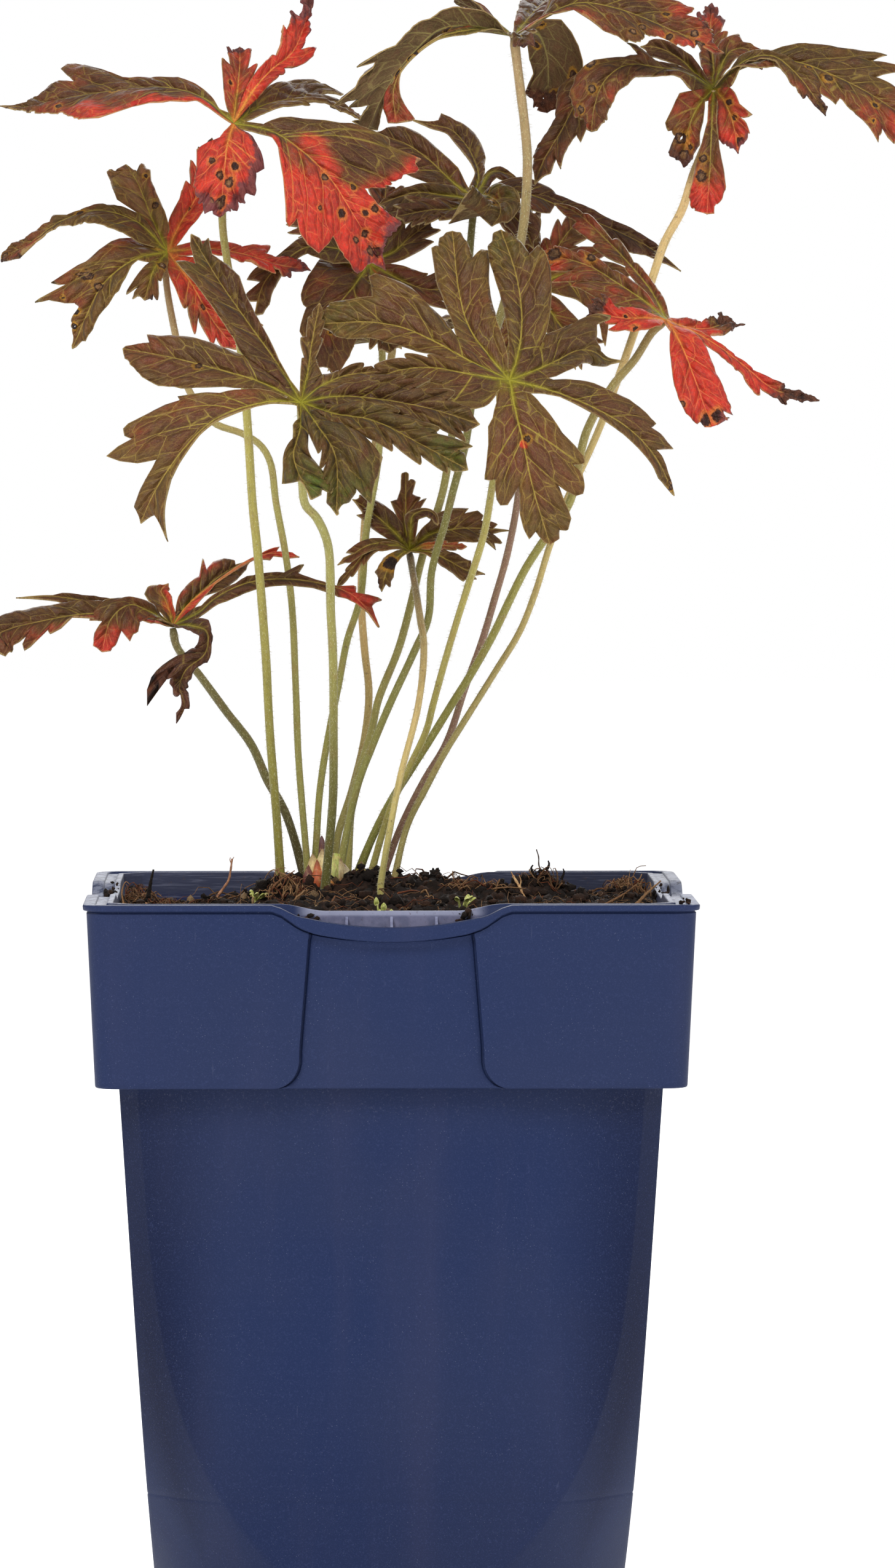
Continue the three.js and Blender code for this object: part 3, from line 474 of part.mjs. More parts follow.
// petioles and blades that pass each other keep a gap
for (let i = 0; i < names.length; i++) {
  for (let j = 0; j < names.length; j++) {
    if (i === j) continue;
    if (petioles[names[j]].intersect(blades[names[i]]).volume() > 1e-6) {
      blades[names[i]] = largest(blades[names[i]].subtract(petioleSolid(names[j], clearance)));
    }
  }
}
for (let i = 0; i < names.length; i++) {
  for (let j = i + 1; j < names.length; j++) {
    if (blades[names[i]].intersect(blades[names[j]]).volume() > 1e-6) {
      blades[names[j]] = largest(blades[names[j]].subtract(bladeSolid(names[i], clearance)));
    }
  }
}

for (const n of names) {
  blades[n] = largest(blades[n].simplify(0.06));
  petioles[n] = largest(petioles[n].simplify(0.04));
}

const group = new THREE.Group();
function place(name, solid, color, roughness) {
  const mesh = new THREE.Mesh(geometryOf(solid), new THREE.MeshStandardMaterial({ color, roughness, metalness: 0 }));
  mesh.name = name;
  group.add(mesh);
}
place('pot', potSolid, '#2b3560', 0.5);
place('potting_soil', soilSolid, '#33241b', 0.95);
place('crown', crownSolid, '#8a5a34', 0.7);
const BLADE_COLOURS = {
  red_upper_left: '#b3402c', left: '#6d5a38', top_centre: '#4f4a2a', top_right: '#5c4a2e', right_red: '#b8472f',
  dark_centre: '#4a3222', brown_behind_right: '#6b3a28', brown_behind_left: '#58462c', front_right: '#5e4d2c',
  front_left: '#55502c', small_centre: '#5a3a2a', lower_left: '#5a3a30', rear: '#554a2c',
};
const PETIOLE_COLOURS = { brown_behind_right: '#5b3a40', rear: '#a98f66', small_centre: '#b5a873', lower_left: '#5f5c33' };
for (const n of names) {
  place(`leaf_${n}`, blades[n], BLADE_COLOURS[n], 0.6);
  place(`petiole_${n}`, petioles[n], PETIOLE_COLOURS[n] ?? '#80883f', 0.6);
}
for (const [n, t] of Object.entries(TRIM)) place(n, t.solid, t.color, 0.8);

export default group;
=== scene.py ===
# Hardy geranium in its square nursery pot: the looks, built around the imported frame.
import bpy, bmesh, math
import numpy as np
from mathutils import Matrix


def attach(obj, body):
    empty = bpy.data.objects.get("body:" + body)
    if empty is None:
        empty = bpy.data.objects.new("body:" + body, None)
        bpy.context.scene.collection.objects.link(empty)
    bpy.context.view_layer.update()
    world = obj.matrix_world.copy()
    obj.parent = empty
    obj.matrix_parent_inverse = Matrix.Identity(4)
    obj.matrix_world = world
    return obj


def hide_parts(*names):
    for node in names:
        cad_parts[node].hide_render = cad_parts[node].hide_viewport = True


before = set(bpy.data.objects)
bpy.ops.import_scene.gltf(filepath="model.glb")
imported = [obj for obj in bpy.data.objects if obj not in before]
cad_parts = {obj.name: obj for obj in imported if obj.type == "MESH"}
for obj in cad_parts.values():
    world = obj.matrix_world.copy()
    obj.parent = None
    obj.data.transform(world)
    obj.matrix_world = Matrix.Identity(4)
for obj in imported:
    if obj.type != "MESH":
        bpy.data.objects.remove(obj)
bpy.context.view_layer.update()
MM = 0.001

# ------------------------------------------------------------------ small maths
def nrm(v):
    v = np.asarray(v, float)
    return v / np.maximum(np.linalg.norm(v, axis=-1, keepdims=True), 1e-12)

def sm(x, a, b):
    t = np.clip((np.asarray(x, float) - a) / (b - a), 0, 1)
    return t * t * (3 - 2 * t)

def spline(P, n, per=24):
    """centripetal Catmull-Rom through P, n points equally spaced along it"""
    P = np.asarray(P, float); k = len(P)
    if k == 2:
        u = np.linspace(0, 1, n)[:, None]
        return P[0] * (1 - u) + P[1] * u
    Q = np.vstack([2 * P[0] - P[1], P, 2 * P[-1] - P[-2]]); out = []
    for i in range(1, k):
        p0, p1, p2, p3 = Q[i - 1], Q[i], Q[i + 1], Q[i + 2]
        t0 = 0.0; t1 = t0 + np.linalg.norm(p1 - p0) ** .5; t2 = t1 + np.linalg.norm(p2 - p1) ** .5; t3 = t2 + np.linalg.norm(p3 - p2) ** .5
        t = np.linspace(t1, t2, per, endpoint=(i == k - 1))[:, None]
        A1 = (t1 - t) / (t1 - t0) * p0 + (t - t0) / (t1 - t0) * p1
        A2 = (t2 - t) / (t2 - t1) * p1 + (t - t1) / (t2 - t1) * p2
        A3 = (t3 - t) / (t3 - t2) * p2 + (t - t2) / (t3 - t2) * p3
        B1 = (t2 - t) / (t2 - t0) * A1 + (t - t0) / (t2 - t0) * A2
        B2 = (t3 - t) / (t3 - t1) * A2 + (t - t1) / (t3 - t1) * A3
        out.append((t2 - t) / (t2 - t1) * B1 + (t - t1) / (t2 - t1) * B2)
    out = np.vstack(out); d = np.r_[0, np.cumsum(np.linalg.norm(np.diff(out, axis=0), axis=1))]
    u = np.linspace(0, d[-1], n)
    return np.stack([np.interp(u, d, out[:, c]) for c in range(3)], 1)

def hash2(ix, iy, seed):
    h = (ix.astype(np.int64) * 374761393 + iy.astype(np.int64) * 668265263 + seed * 1442695041) & 0xFFFFFFFF
    h = ((h ^ (h >> 13)) * 1274126177) & 0xFFFFFFFF
    return ((h ^ (h >> 16)) & 0xFFFF) / 65535.0

def vnoise(x, y, seed=0):
    """smooth value noise, 0 to 1"""
    x = np.asarray(x, float); y = np.asarray(y, float)
    ix = np.floor(x); iy = np.floor(y); fx = x - ix; fy = y - iy
    fx = fx * fx * (3 - 2 * fx); fy = fy * fy * (3 - 2 * fy)
    a = hash2(ix, iy, seed); b = hash2(ix + 1, iy, seed); c = hash2(ix, iy + 1, seed); d = hash2(ix + 1, iy + 1, seed)
    return (a * (1 - fx) + b * fx) * (1 - fy) + (c * (1 - fx) + d * fx) * fy

def fbm(x, y, seed=0, n=3):
    t = 0; a = 1; s = 0
    for i in range(n):
        t = t + a * vnoise(x * 2 ** i, y * 2 ** i, seed + 17 * i); s += a; a *= .5
    return t / s

# ------------------------------------------------------------------ mesh helpers
def make_object(name, V, F, mats, smooth=True, attrs=None, mat_index=None):
    """V in mm"""
    me = bpy.data.meshes.new(name)
    me.from_pydata((np.asarray(V, float) * MM).tolist(), [], [tuple(int(i) for i in f) for f in F])
    if attrs:
        for k, a in attrs.items():
            a = np.asarray(a, np.float32)
            if a.ndim == 2:
                at = me.attributes.new(k, 'FLOAT_VECTOR', 'POINT'); at.data.foreach_set('vector', a.ravel())
            else:
                at = me.attributes.new(k, 'FLOAT', 'POINT'); at.data.foreach_set('value', a)
    for m in mats:
        me.materials.append(m)
    if mat_index is not None:
        me.polygons.foreach_set('material_index', np.asarray(mat_index, np.int32))
    me.polygons.foreach_set('use_smooth', np.full(len(me.polygons), bool(smooth)))
    me.validate(); me.update()
    ob = bpy.data.objects.new(name, me)
    bpy.context.scene.collection.objects.link(ob)
    return ob

class Soup:
    """collects closed pieces of one mesh, with vector attributes"""
    def __init__(self, keys=()):
        self.V = []; self.F = []; self.n = 0; self.keys = list(keys); self.A = {k: [] for k in keys}; self.M = []
    def add(self, V, F, mat=0, **attrs):
        V = np.asarray(V, float); n = self.n
        self.V.append(V); self.F += [tuple(int(i) + n for i in f) for f in F]; self.M += [mat] * len(F); self.n += len(V)
        for k in self.keys:
            a = np.asarray(attrs.get(k, (0, 0, 0)), float)
            if a.ndim == 1: a = np.tile(a, (len(V), 1))
            self.A[k].append(a)
    def build(self, name, mats, smooth=True):
        return make_object(name, np.vstack(self.V), self.F, mats, smooth, {k: np.vstack(a) for k, a in self.A.items()}, self.M)

def frames(C, up=(0.13, 0.97, 0.2)):
    T = nrm(np.gradient(C, axis=0)); n = np.cross(T[0], up); n = nrm(n - n.dot(T[0]) * T[0]); out = [n]
    for i in range(1, len(C)):
        n = out[-1] - out[-1].dot(T[i]) * T[i]; out.append(nrm(n))
    N = np.array(out); return T, N, np.cross(T, N)

def tube(C, R, sides, cap=True, squash=1.0, phase=0.0):
    """closed tube along the points C with radii R"""
    C = np.asarray(C, float); n = len(C); R = np.broadcast_to(np.asarray(R, float), (n,))
    T, N, B = frames(C); a = np.arange(sides) / sides * 2 * np.pi + phase
    V = C[:, None] + R[:, None, None] * (np.cos(a)[None, :, None] * N[:, None] + squash * np.sin(a)[None, :, None] * B[:, None])
    V = V.reshape(-1, 3); F = []
    for i in range(n - 1):
        for j in range(sides):
            k = (j + 1) % sides
            F.append((i * sides + j, i * sides + k, (i + 1) * sides + k, (i + 1) * sides + j))
    if cap:
        V = np.vstack([V, C[0], C[-1]]); c0 = n * sides; c1 = c0 + 1
        for j in range(sides):
            k = (j + 1) % sides
            F.append((c0, k, j)); F.append((c1, (n - 1) * sides + j, (n - 1) * sides + k))
    return V, F

def grid_faces(n, m, wrap=False):
    F = []
    for i in range(n - 1):
        for j in range(m if wrap else m - 1):
            k = (j + 1) % m
            F.append((i * m + j, i * m + k, (i + 1) * m + k, (i + 1) * m + j))
    return F

# ------------------------------------------------------------------ node helpers
def srgb(r, g, b):
    f = lambda c: (c / 255 / 12.92) if c / 255 <= 0.04045 else ((c / 255 + 0.055) / 1.055) ** 2.4
    return (f(r), f(g), f(b), 1.0)

class Nodes:
    def __init__(self, name):
        self.mat = bpy.data.materials.new(name); self.mat.use_nodes = True
        self.t = self.mat.node_tree; self.t.nodes.clear()
        self.out = self.t.nodes.new('ShaderNodeOutputMaterial')
    def put(self, sock, v):
        if hasattr(v, 'is_output') or isinstance(v, bpy.types.NodeSocket): self.t.links.new(v, sock)
        else: sock.default_value = v
    def n(self, kind, **props):
        nd = self.t.nodes.new('ShaderNode' + kind)
        for k, v in props.items(): setattr(nd, k, v)
        return nd
    def attr(self, name):
        nd = self.n('Attribute', attribute_name=name); return nd
    def xyz(self, vec):
        nd = self.n('SeparateXYZ'); self.put(nd.inputs[0], vec); return nd.outputs[0], nd.outputs[1], nd.outputs[2]
    def vec(self, x, y, z):
        nd = self.n('CombineXYZ'); self.put(nd.inputs[0], x); self.put(nd.inputs[1], y); self.put(nd.inputs[2], z); return nd.outputs[0]
    def m(self, op, a, b=0.0, c=0.0, clamp=False):
        nd = self.n('Math', operation=op, use_clamp=clamp)
        self.put(nd.inputs[0], a); self.put(nd.inputs[1], b)
        if len(nd.inputs) > 2: self.put(nd.inputs[2], c)
        return nd.outputs[0]
    def step(self, x, a, b):
        """0 at a, 1 at b, smooth; a may be over b"""
        nd = self.n('MapRange', interpolation_type='SMOOTHSTEP', clamp=True)
        if isinstance(a, (int, float)) and isinstance(b, (int, float)) and a > b:
            self.put(nd.inputs['Value'], x); self.put(nd.inputs['From Min'], b); self.put(nd.inputs['From Max'], a)
            nd.inputs['To Min'].default_value = 1.0; nd.inputs['To Max'].default_value = 0.0
        else:
            self.put(nd.inputs['Value'], x); self.put(nd.inputs['From Min'], a); self.put(nd.inputs['From Max'], b)
        return nd.outputs[0]
    def mix(self, f, a, b):
        nd = self.n('Mix', data_type='RGBA'); self.put(nd.inputs[0], f); self.put(nd.inputs[6], a); self.put(nd.inputs[7], b); return nd.outputs[2]
    def fmix(self, f, a, b):
        nd = self.n('Mix', data_type='FLOAT'); self.put(nd.inputs[0], f); self.put(nd.inputs[2], a); self.put(nd.inputs[3], b); return nd.outputs[0]
    def noise(self, vec, scale, detail=2.0, rough=0.5, dist=0.0):
        nd = self.n('TexNoise'); self.put(nd.inputs['Vector'], vec); nd.inputs['Scale'].default_value = scale
        nd.inputs['Detail'].default_value = detail; nd.inputs['Roughness'].default_value = rough; nd.inputs['Distortion'].default_value = dist
        return nd.outputs[0]
    def voronoi(self, vec, scale, feature='F1', out=0, rnd=1.0):
        nd = self.n('TexVoronoi', feature=feature); self.put(nd.inputs['Vector'], vec); nd.inputs['Scale'].default_value = scale
        nd.inputs['Randomness'].default_value = rnd
        return nd.outputs[out]
    def bump(self, height, strength, distance, normal=None):
        nd = self.n('Bump'); nd.inputs['Strength'].default_value = strength; nd.inputs['Distance'].default_value = distance
        self.put(nd.inputs['Height'], height)
        if normal is not None: self.put(nd.inputs['Normal'], normal)
        return nd.outputs[0]
    def principled(self, color, rough, normal=None, **kw):
        nd = self.n('BsdfPrincipled'); self.put(nd.inputs['Base Color'], color); self.put(nd.inputs['Roughness'], rough)
        if normal is not None: self.put(nd.inputs['Normal'], normal)
        for k, v in kw.items(): self.put(nd.inputs[k.replace('_', ' ')], v)
        return nd.outputs[0]
    def done(self, shader):
        self.t.links.new(shader, self.out.inputs[0]); return self.mat
    def obj(self):
        """object coordinates in millimetres"""
        tc = self.n('TexCoord'); mp = self.n('Mapping'); self.t.links.new(tc.outputs['Object'], mp.inputs['Vector'])
        mp.inputs['Scale'].default_value = (1000, 1000, 1000); return mp.outputs[0]

# ------------------------------------------------------------------ leaf materials
def leaf_material(name, under=False):
    """Reads lfA (s, w, lobe number), lfB (distance to side vein left, right, distance to edge), lfC (red, spot, tone), lfD (s/L, dryness, green)"""
    k = Nodes(name)
    s, w, lob = k.xyz(k.attr('lfA').outputs['Vector']); dL, dR, edge = k.xyz(k.attr('lfB').outputs['Vector'])
    red, spot, tone = k.xyz(k.attr('lfC').outputs['Vector']); u, dry, green = k.xyz(k.attr('lfD').outputs['Vector'])
    aw = k.m('ABSOLUTE', w); dsec = k.fmix(k.m('GREATER_THAN', w, 0.0), dL, dR)
    flat = k.vec(s, w, k.m('MULTIPLY', lob, 37.0))
    nA = k.noise(flat, 0.13, 3.0, 0.55); nB = k.noise(flat, 0.55, 3.0, 0.6); nC = k.noise(flat, 2.6, 2.0, 0.6); nD = k.noise(flat, 7.0, 1.0, 0.5)
    warp = k.m('MULTIPLY', k.m('SUBTRACT', k.noise(flat, 0.30, 2.0), 0.5), 2.6)
    # the net of smaller veins leans outwards from the midrib like the side veins do
    sl = k.m('SUBTRACT', s, k.m('MULTIPLY', aw, 1.2))
    net = k.vec(k.m('ADD', k.m('MULTIPLY', sl, 0.20), k.m('MULTIPLY', warp, .12)), k.m('SUBTRACT', k.m('MULTIPLY', w, 0.27), k.m('MULTIPLY', warp, .15)), k.m('MULTIPLY', lob, 7.3))
    ter_d = k.voronoi(net, 1.0, 'DISTANCE_TO_EDGE', rnd=.85)
    net2 = k.vec(k.m('MULTIPLY', sl, 0.85), k.m('MULTIPLY', w, 0.80), k.m('MULTIPLY', lob, 5.1)); fine_d = k.voronoi(net2, 1.0, 'DISTANCE_TO_EDGE')
    midw = k.fmix(u, 0.23, 0.09)
    mid = k.m('SUBTRACT', 1.0, k.step(aw, k.m('MULTIPLY', midw, 0.55), k.m('ADD', midw, 0.07)))
    secw = k.fmix(k.step(aw, 0.0, 7.0), 0.11, 0.06)
    sec = k.m('SUBTRACT', 1.0, k.step(dsec, k.m('MULTIPLY', secw, .5), k.m('ADD', secw, .07)))
    ter = k.m('SUBTRACT', 1.0, k.step(ter_d, 0.006, 0.026)); fine = k.m('SUBTRACT', 1.0, k.step(fine_d, 0.02, 0.09))
    near = k.m('MAXIMUM', k.m('SUBTRACT', 1.0, k.step(aw, .2, 1.3)), k.m('MAXIMUM', k.m('MULTIPLY', k.m('SUBTRACT', 1.0, k.step(dsec, .1, .9)), .8), k.m('MULTIPLY', k.m('SUBTRACT', 1.0, k.step(ter_d, .02, .13)), .6)))
    redf = k.m('ADD', red, k.m('MULTIPLY', k.m('SUBTRACT', nA, 0.5), 0.75))
    if not under:
        base = k.mix(k.step(nA, 0.34, 0.66), srgb(102, 62, 37), srgb(112, 59, 40))
        brn = k.mix(k.step(nA, 0.34, 0.66), srgb(60, 33, 21), srgb(84, 45, 29))
        # tone darkens the tissue: partly its own brown, partly painted shade
        base = k.mix(k.m('MAXIMUM', tone, 0.0), base, brn)
        base = k.mix(k.step(tone, 0.0, -1.0), base, srgb(160, 114, 78))
        base = k.mix(k.m('MULTIPLY', k.step(nB, 0.42, 0.72), 0.22), base, srgb(120, 84, 56))
        # darker patches at random: painted shade standing in for hollows in the blade
        base = k.mix(k.m('MULTIPLY', k.step(k.noise(flat, .16, 2.0), .48, .68), .45), base, k.mix(tone, srgb(76, 48, 34), srgb(42, 26, 19)))
        base = k.mix(k.m('MULTIPLY', k.m('SUBTRACT', 1.0, k.step(edge, .3, 3.6)), k.m('MULTIPLY', k.m('SUBTRACT', 1.0, tone), .30)), base, srgb(124, 112, 44))
        base = k.mix(k.m('MULTIPLY', green, k.step(nB, 0.22, 0.6)), base, srgb(84, 104, 28))
        redm = k.step(redf, 0.30, 0.62)
        redc = k.mix(k.step(nB, 0.35, 0.7), srgb(224, 62, 44), srgb(176, 48, 40))
        redc = k.mix(k.m('MULTIPLY', k.step(nC, 0.52, 0.78), .6), redc, srgb(232, 112, 92))
        # between green-brown and full red lies a brick brown
        base = k.mix(k.step(redf, 0.12, 0.42), base, k.mix(k.step(nB, .35, .7), srgb(146, 66, 40), srgb(118, 58, 36)))
        base = k.mix(redm, base, redc)
        base = k.mix(k.m('MULTIPLY', near, 0.20), base, k.mix(redm, k.mix(k.m('MAXIMUM', tone, 0.0), srgb(142, 112, 50), srgb(84, 56, 31)), srgb(176, 34, 28)))
        vein = k.mix(u, srgb(198, 182, 64), srgb(180, 150, 76))
        vein = k.mix(k.m('MULTIPLY', tone, 0.60), vein, srgb(118, 92, 44))
        vein = k.mix(redm, vein, k.mix(u, srgb(240, 166, 64), srgb(240, 118, 84)))
        vmask = k.m('MAXIMUM', mid, k.m('MULTIPLY', sec, k.m('MULTIPLY', k.fmix(u, 0.90, 0.66), k.fmix(k.step(edge, .3, 3.2), .45, 1.0))))
        vmask = k.m('MAXIMUM', vmask, k.m('MULTIPLY', ter, k.fmix(k.step(nB, .3, .7), .28, .64)))
        vmask = k.m('MAXIMUM', vmask, k.m('MULTIPLY', fine, 0.13))
        col = k.mix(k.m('MULTIPLY', vmask, 0.94), base, vein)
        glow = k.m('MULTIPLY', k.m('SUBTRACT', 1.0, k.step(s, 0.6, 4.2)), 0.8)
        glow2 = k.m('MULTIPLY', k.m('SUBTRACT', 1.0, k.step(s, 3.0, 13.0)), k.m('MULTIPLY', k.m('SUBTRACT', 1.0, k.step(aw, .2, 1.0)), .55))
        col = k.mix(k.m('MAXIMUM', glow, glow2), col, k.mix(redm, srgb(168, 162, 34), srgb(232, 150, 60)))
        # thin pale rim over a slightly redder border
        col = k.mix(k.m('MULTIPLY', k.m('SUBTRACT', 1.0, k.step(edge, 0.25, 1.5)), 0.28), col, k.mix(redm, srgb(110, 56, 30), srgb(196, 44, 40)))
        col = k.mix(k.m('MULTIPLY', k.m('SUBTRACT', 1.0, k.step(edge, 0.05, 0.22)), 0.62), col, srgb(206, 180, 118))
        rough = k.fmix(vmask, k.fmix(nB, 0.40, 0.52), 0.55)
    else:
        base = k.mix(k.step(nA, 0.3, 0.7), srgb(98, 84, 52), srgb(128, 108, 72)); base = k.mix(tone, base, srgb(92, 64, 44))
        base = k.mix(k.m('MULTIPLY', k.step(nB, .45, .7), .4), base, srgb(122, 80, 58))
        redm = k.step(redf, 0.35, 0.75); base = k.mix(redm, base, k.mix(k.step(nB, 0.35, 0.7), srgb(200, 90, 72), srgb(184, 108, 84)))
        vein = k.mix(redm, k.mix(u, srgb(170, 162, 88), srgb(146, 130, 82)), srgb(220, 146, 104))
        vmask = k.m('MAXIMUM', mid, k.m('MULTIPLY', sec, 0.85)); vmask = k.m('MAXIMUM', vmask, k.m('MULTIPLY', ter, 0.6)); vmask = k.m('MAXIMUM', vmask, k.m('MULTIPLY', fine, 0.2))
        col = k.mix(k.m('MULTIPLY', vmask, 0.85), base, vein); rough = 0.62
    # dead spots: uneven dark ring round a tan or black middle, with a yellow-orange halo on one side
    sn = k.m('ADD', spot, k.m('ADD', k.m('MULTIPLY', k.m('SUBTRACT', nB, 0.5), 1.0), k.m('MULTIPLY', k.m('SUBTRACT', nC, 0.5), 0.7)))
    halo = k.m('SUBTRACT', 1.0, k.step(sn, 1.0, 1.75)); body = k.m('SUBTRACT', 1.0, k.step(sn, 0.78, 1.02)); core = k.m('SUBTRACT', 1.0, k.step(sn, 0.30, 0.70))
    col = k.mix(k.m('MULTIPLY', halo, k.step(nA, .30, .62)), col, k.mix(redm, srgb(186, 136, 40), srgb(224, 128, 60)))
    col = k.mix(body, col, k.mix(core, srgb(52, 28, 20), k.mix(k.step(nA, .42, .58), srgb(150, 112, 74), srgb(34, 24, 20))))
    # dry crisp tissue
    dm = k.step(k.m('ADD', dry, k.m('MULTIPLY', k.m('SUBTRACT', nB, 0.5), 0.8)), 0.40, 0.62)
    dcol = k.mix(k.step(nB, 0.35, 0.7), srgb(110, 66, 46), srgb(48, 30, 26)); dcol = k.mix(k.step(nC, 0.55, 0.8), dcol, srgb(166, 112, 88)); dcol = k.mix(k.m('MULTIPLY', redm, .45), dcol, srgb(170, 84, 92))
    col = k.mix(dm, col, dcol)
    # mottling and tiny pale glands
    col = k.mix(k.m('MULTIPLY', k.step(nC, 0.46, 0.72), 0.30), col, srgb(46, 26, 16)); col = k.mix(k.m('MULTIPLY', k.step(nD, .60, .72), .34), col, srgb(200, 164, 120))
    h = k.m('ADD', k.m('MULTIPLY', k.step(ter_d, 0.0, 0.24), 1.25), k.m('MULTIPLY', k.step(fine_d, 0.0, 0.3), 0.18))
    h = k.m('ADD', h, k.m('MULTIPLY', k.step(dsec, 0.0, 1.1), 0.8)); h = k.m('ADD', h, k.m('MULTIPLY', k.step(aw, 0.0, 1.0), 0.9))
    h = k.m('ADD', h, k.m('MULTIPLY', nC, 0.22)); h = k.m('ADD', h, k.m('MULTIPLY', nD, 0.07))
    normal = k.bump(h, 0.75 if not under else 0.6, 0.0006 if not under else -0.0004)
    pn = k.principled(col, rough, normal).node
    pn.inputs['Specular IOR Level'].default_value = 0.28 if not under else 0.15
    pn.inputs['Sheen Weight'].default_value = 0.05
    tr = k.n('BsdfTranslucent'); k.put(tr.inputs['Color'], k.mix(0.30, col, k.mix(redm, srgb(186, 120, 50), srgb(255, 70, 44)))); k.put(tr.inputs['Normal'], normal)
    mx = k.n('MixShader'); mx.inputs[0].default_value = 0.30
    k.t.links.new(pn.outputs[0], mx.inputs[1]); k.t.links.new(tr.outputs[0], mx.inputs[2])
    return k.done(mx.outputs[0])
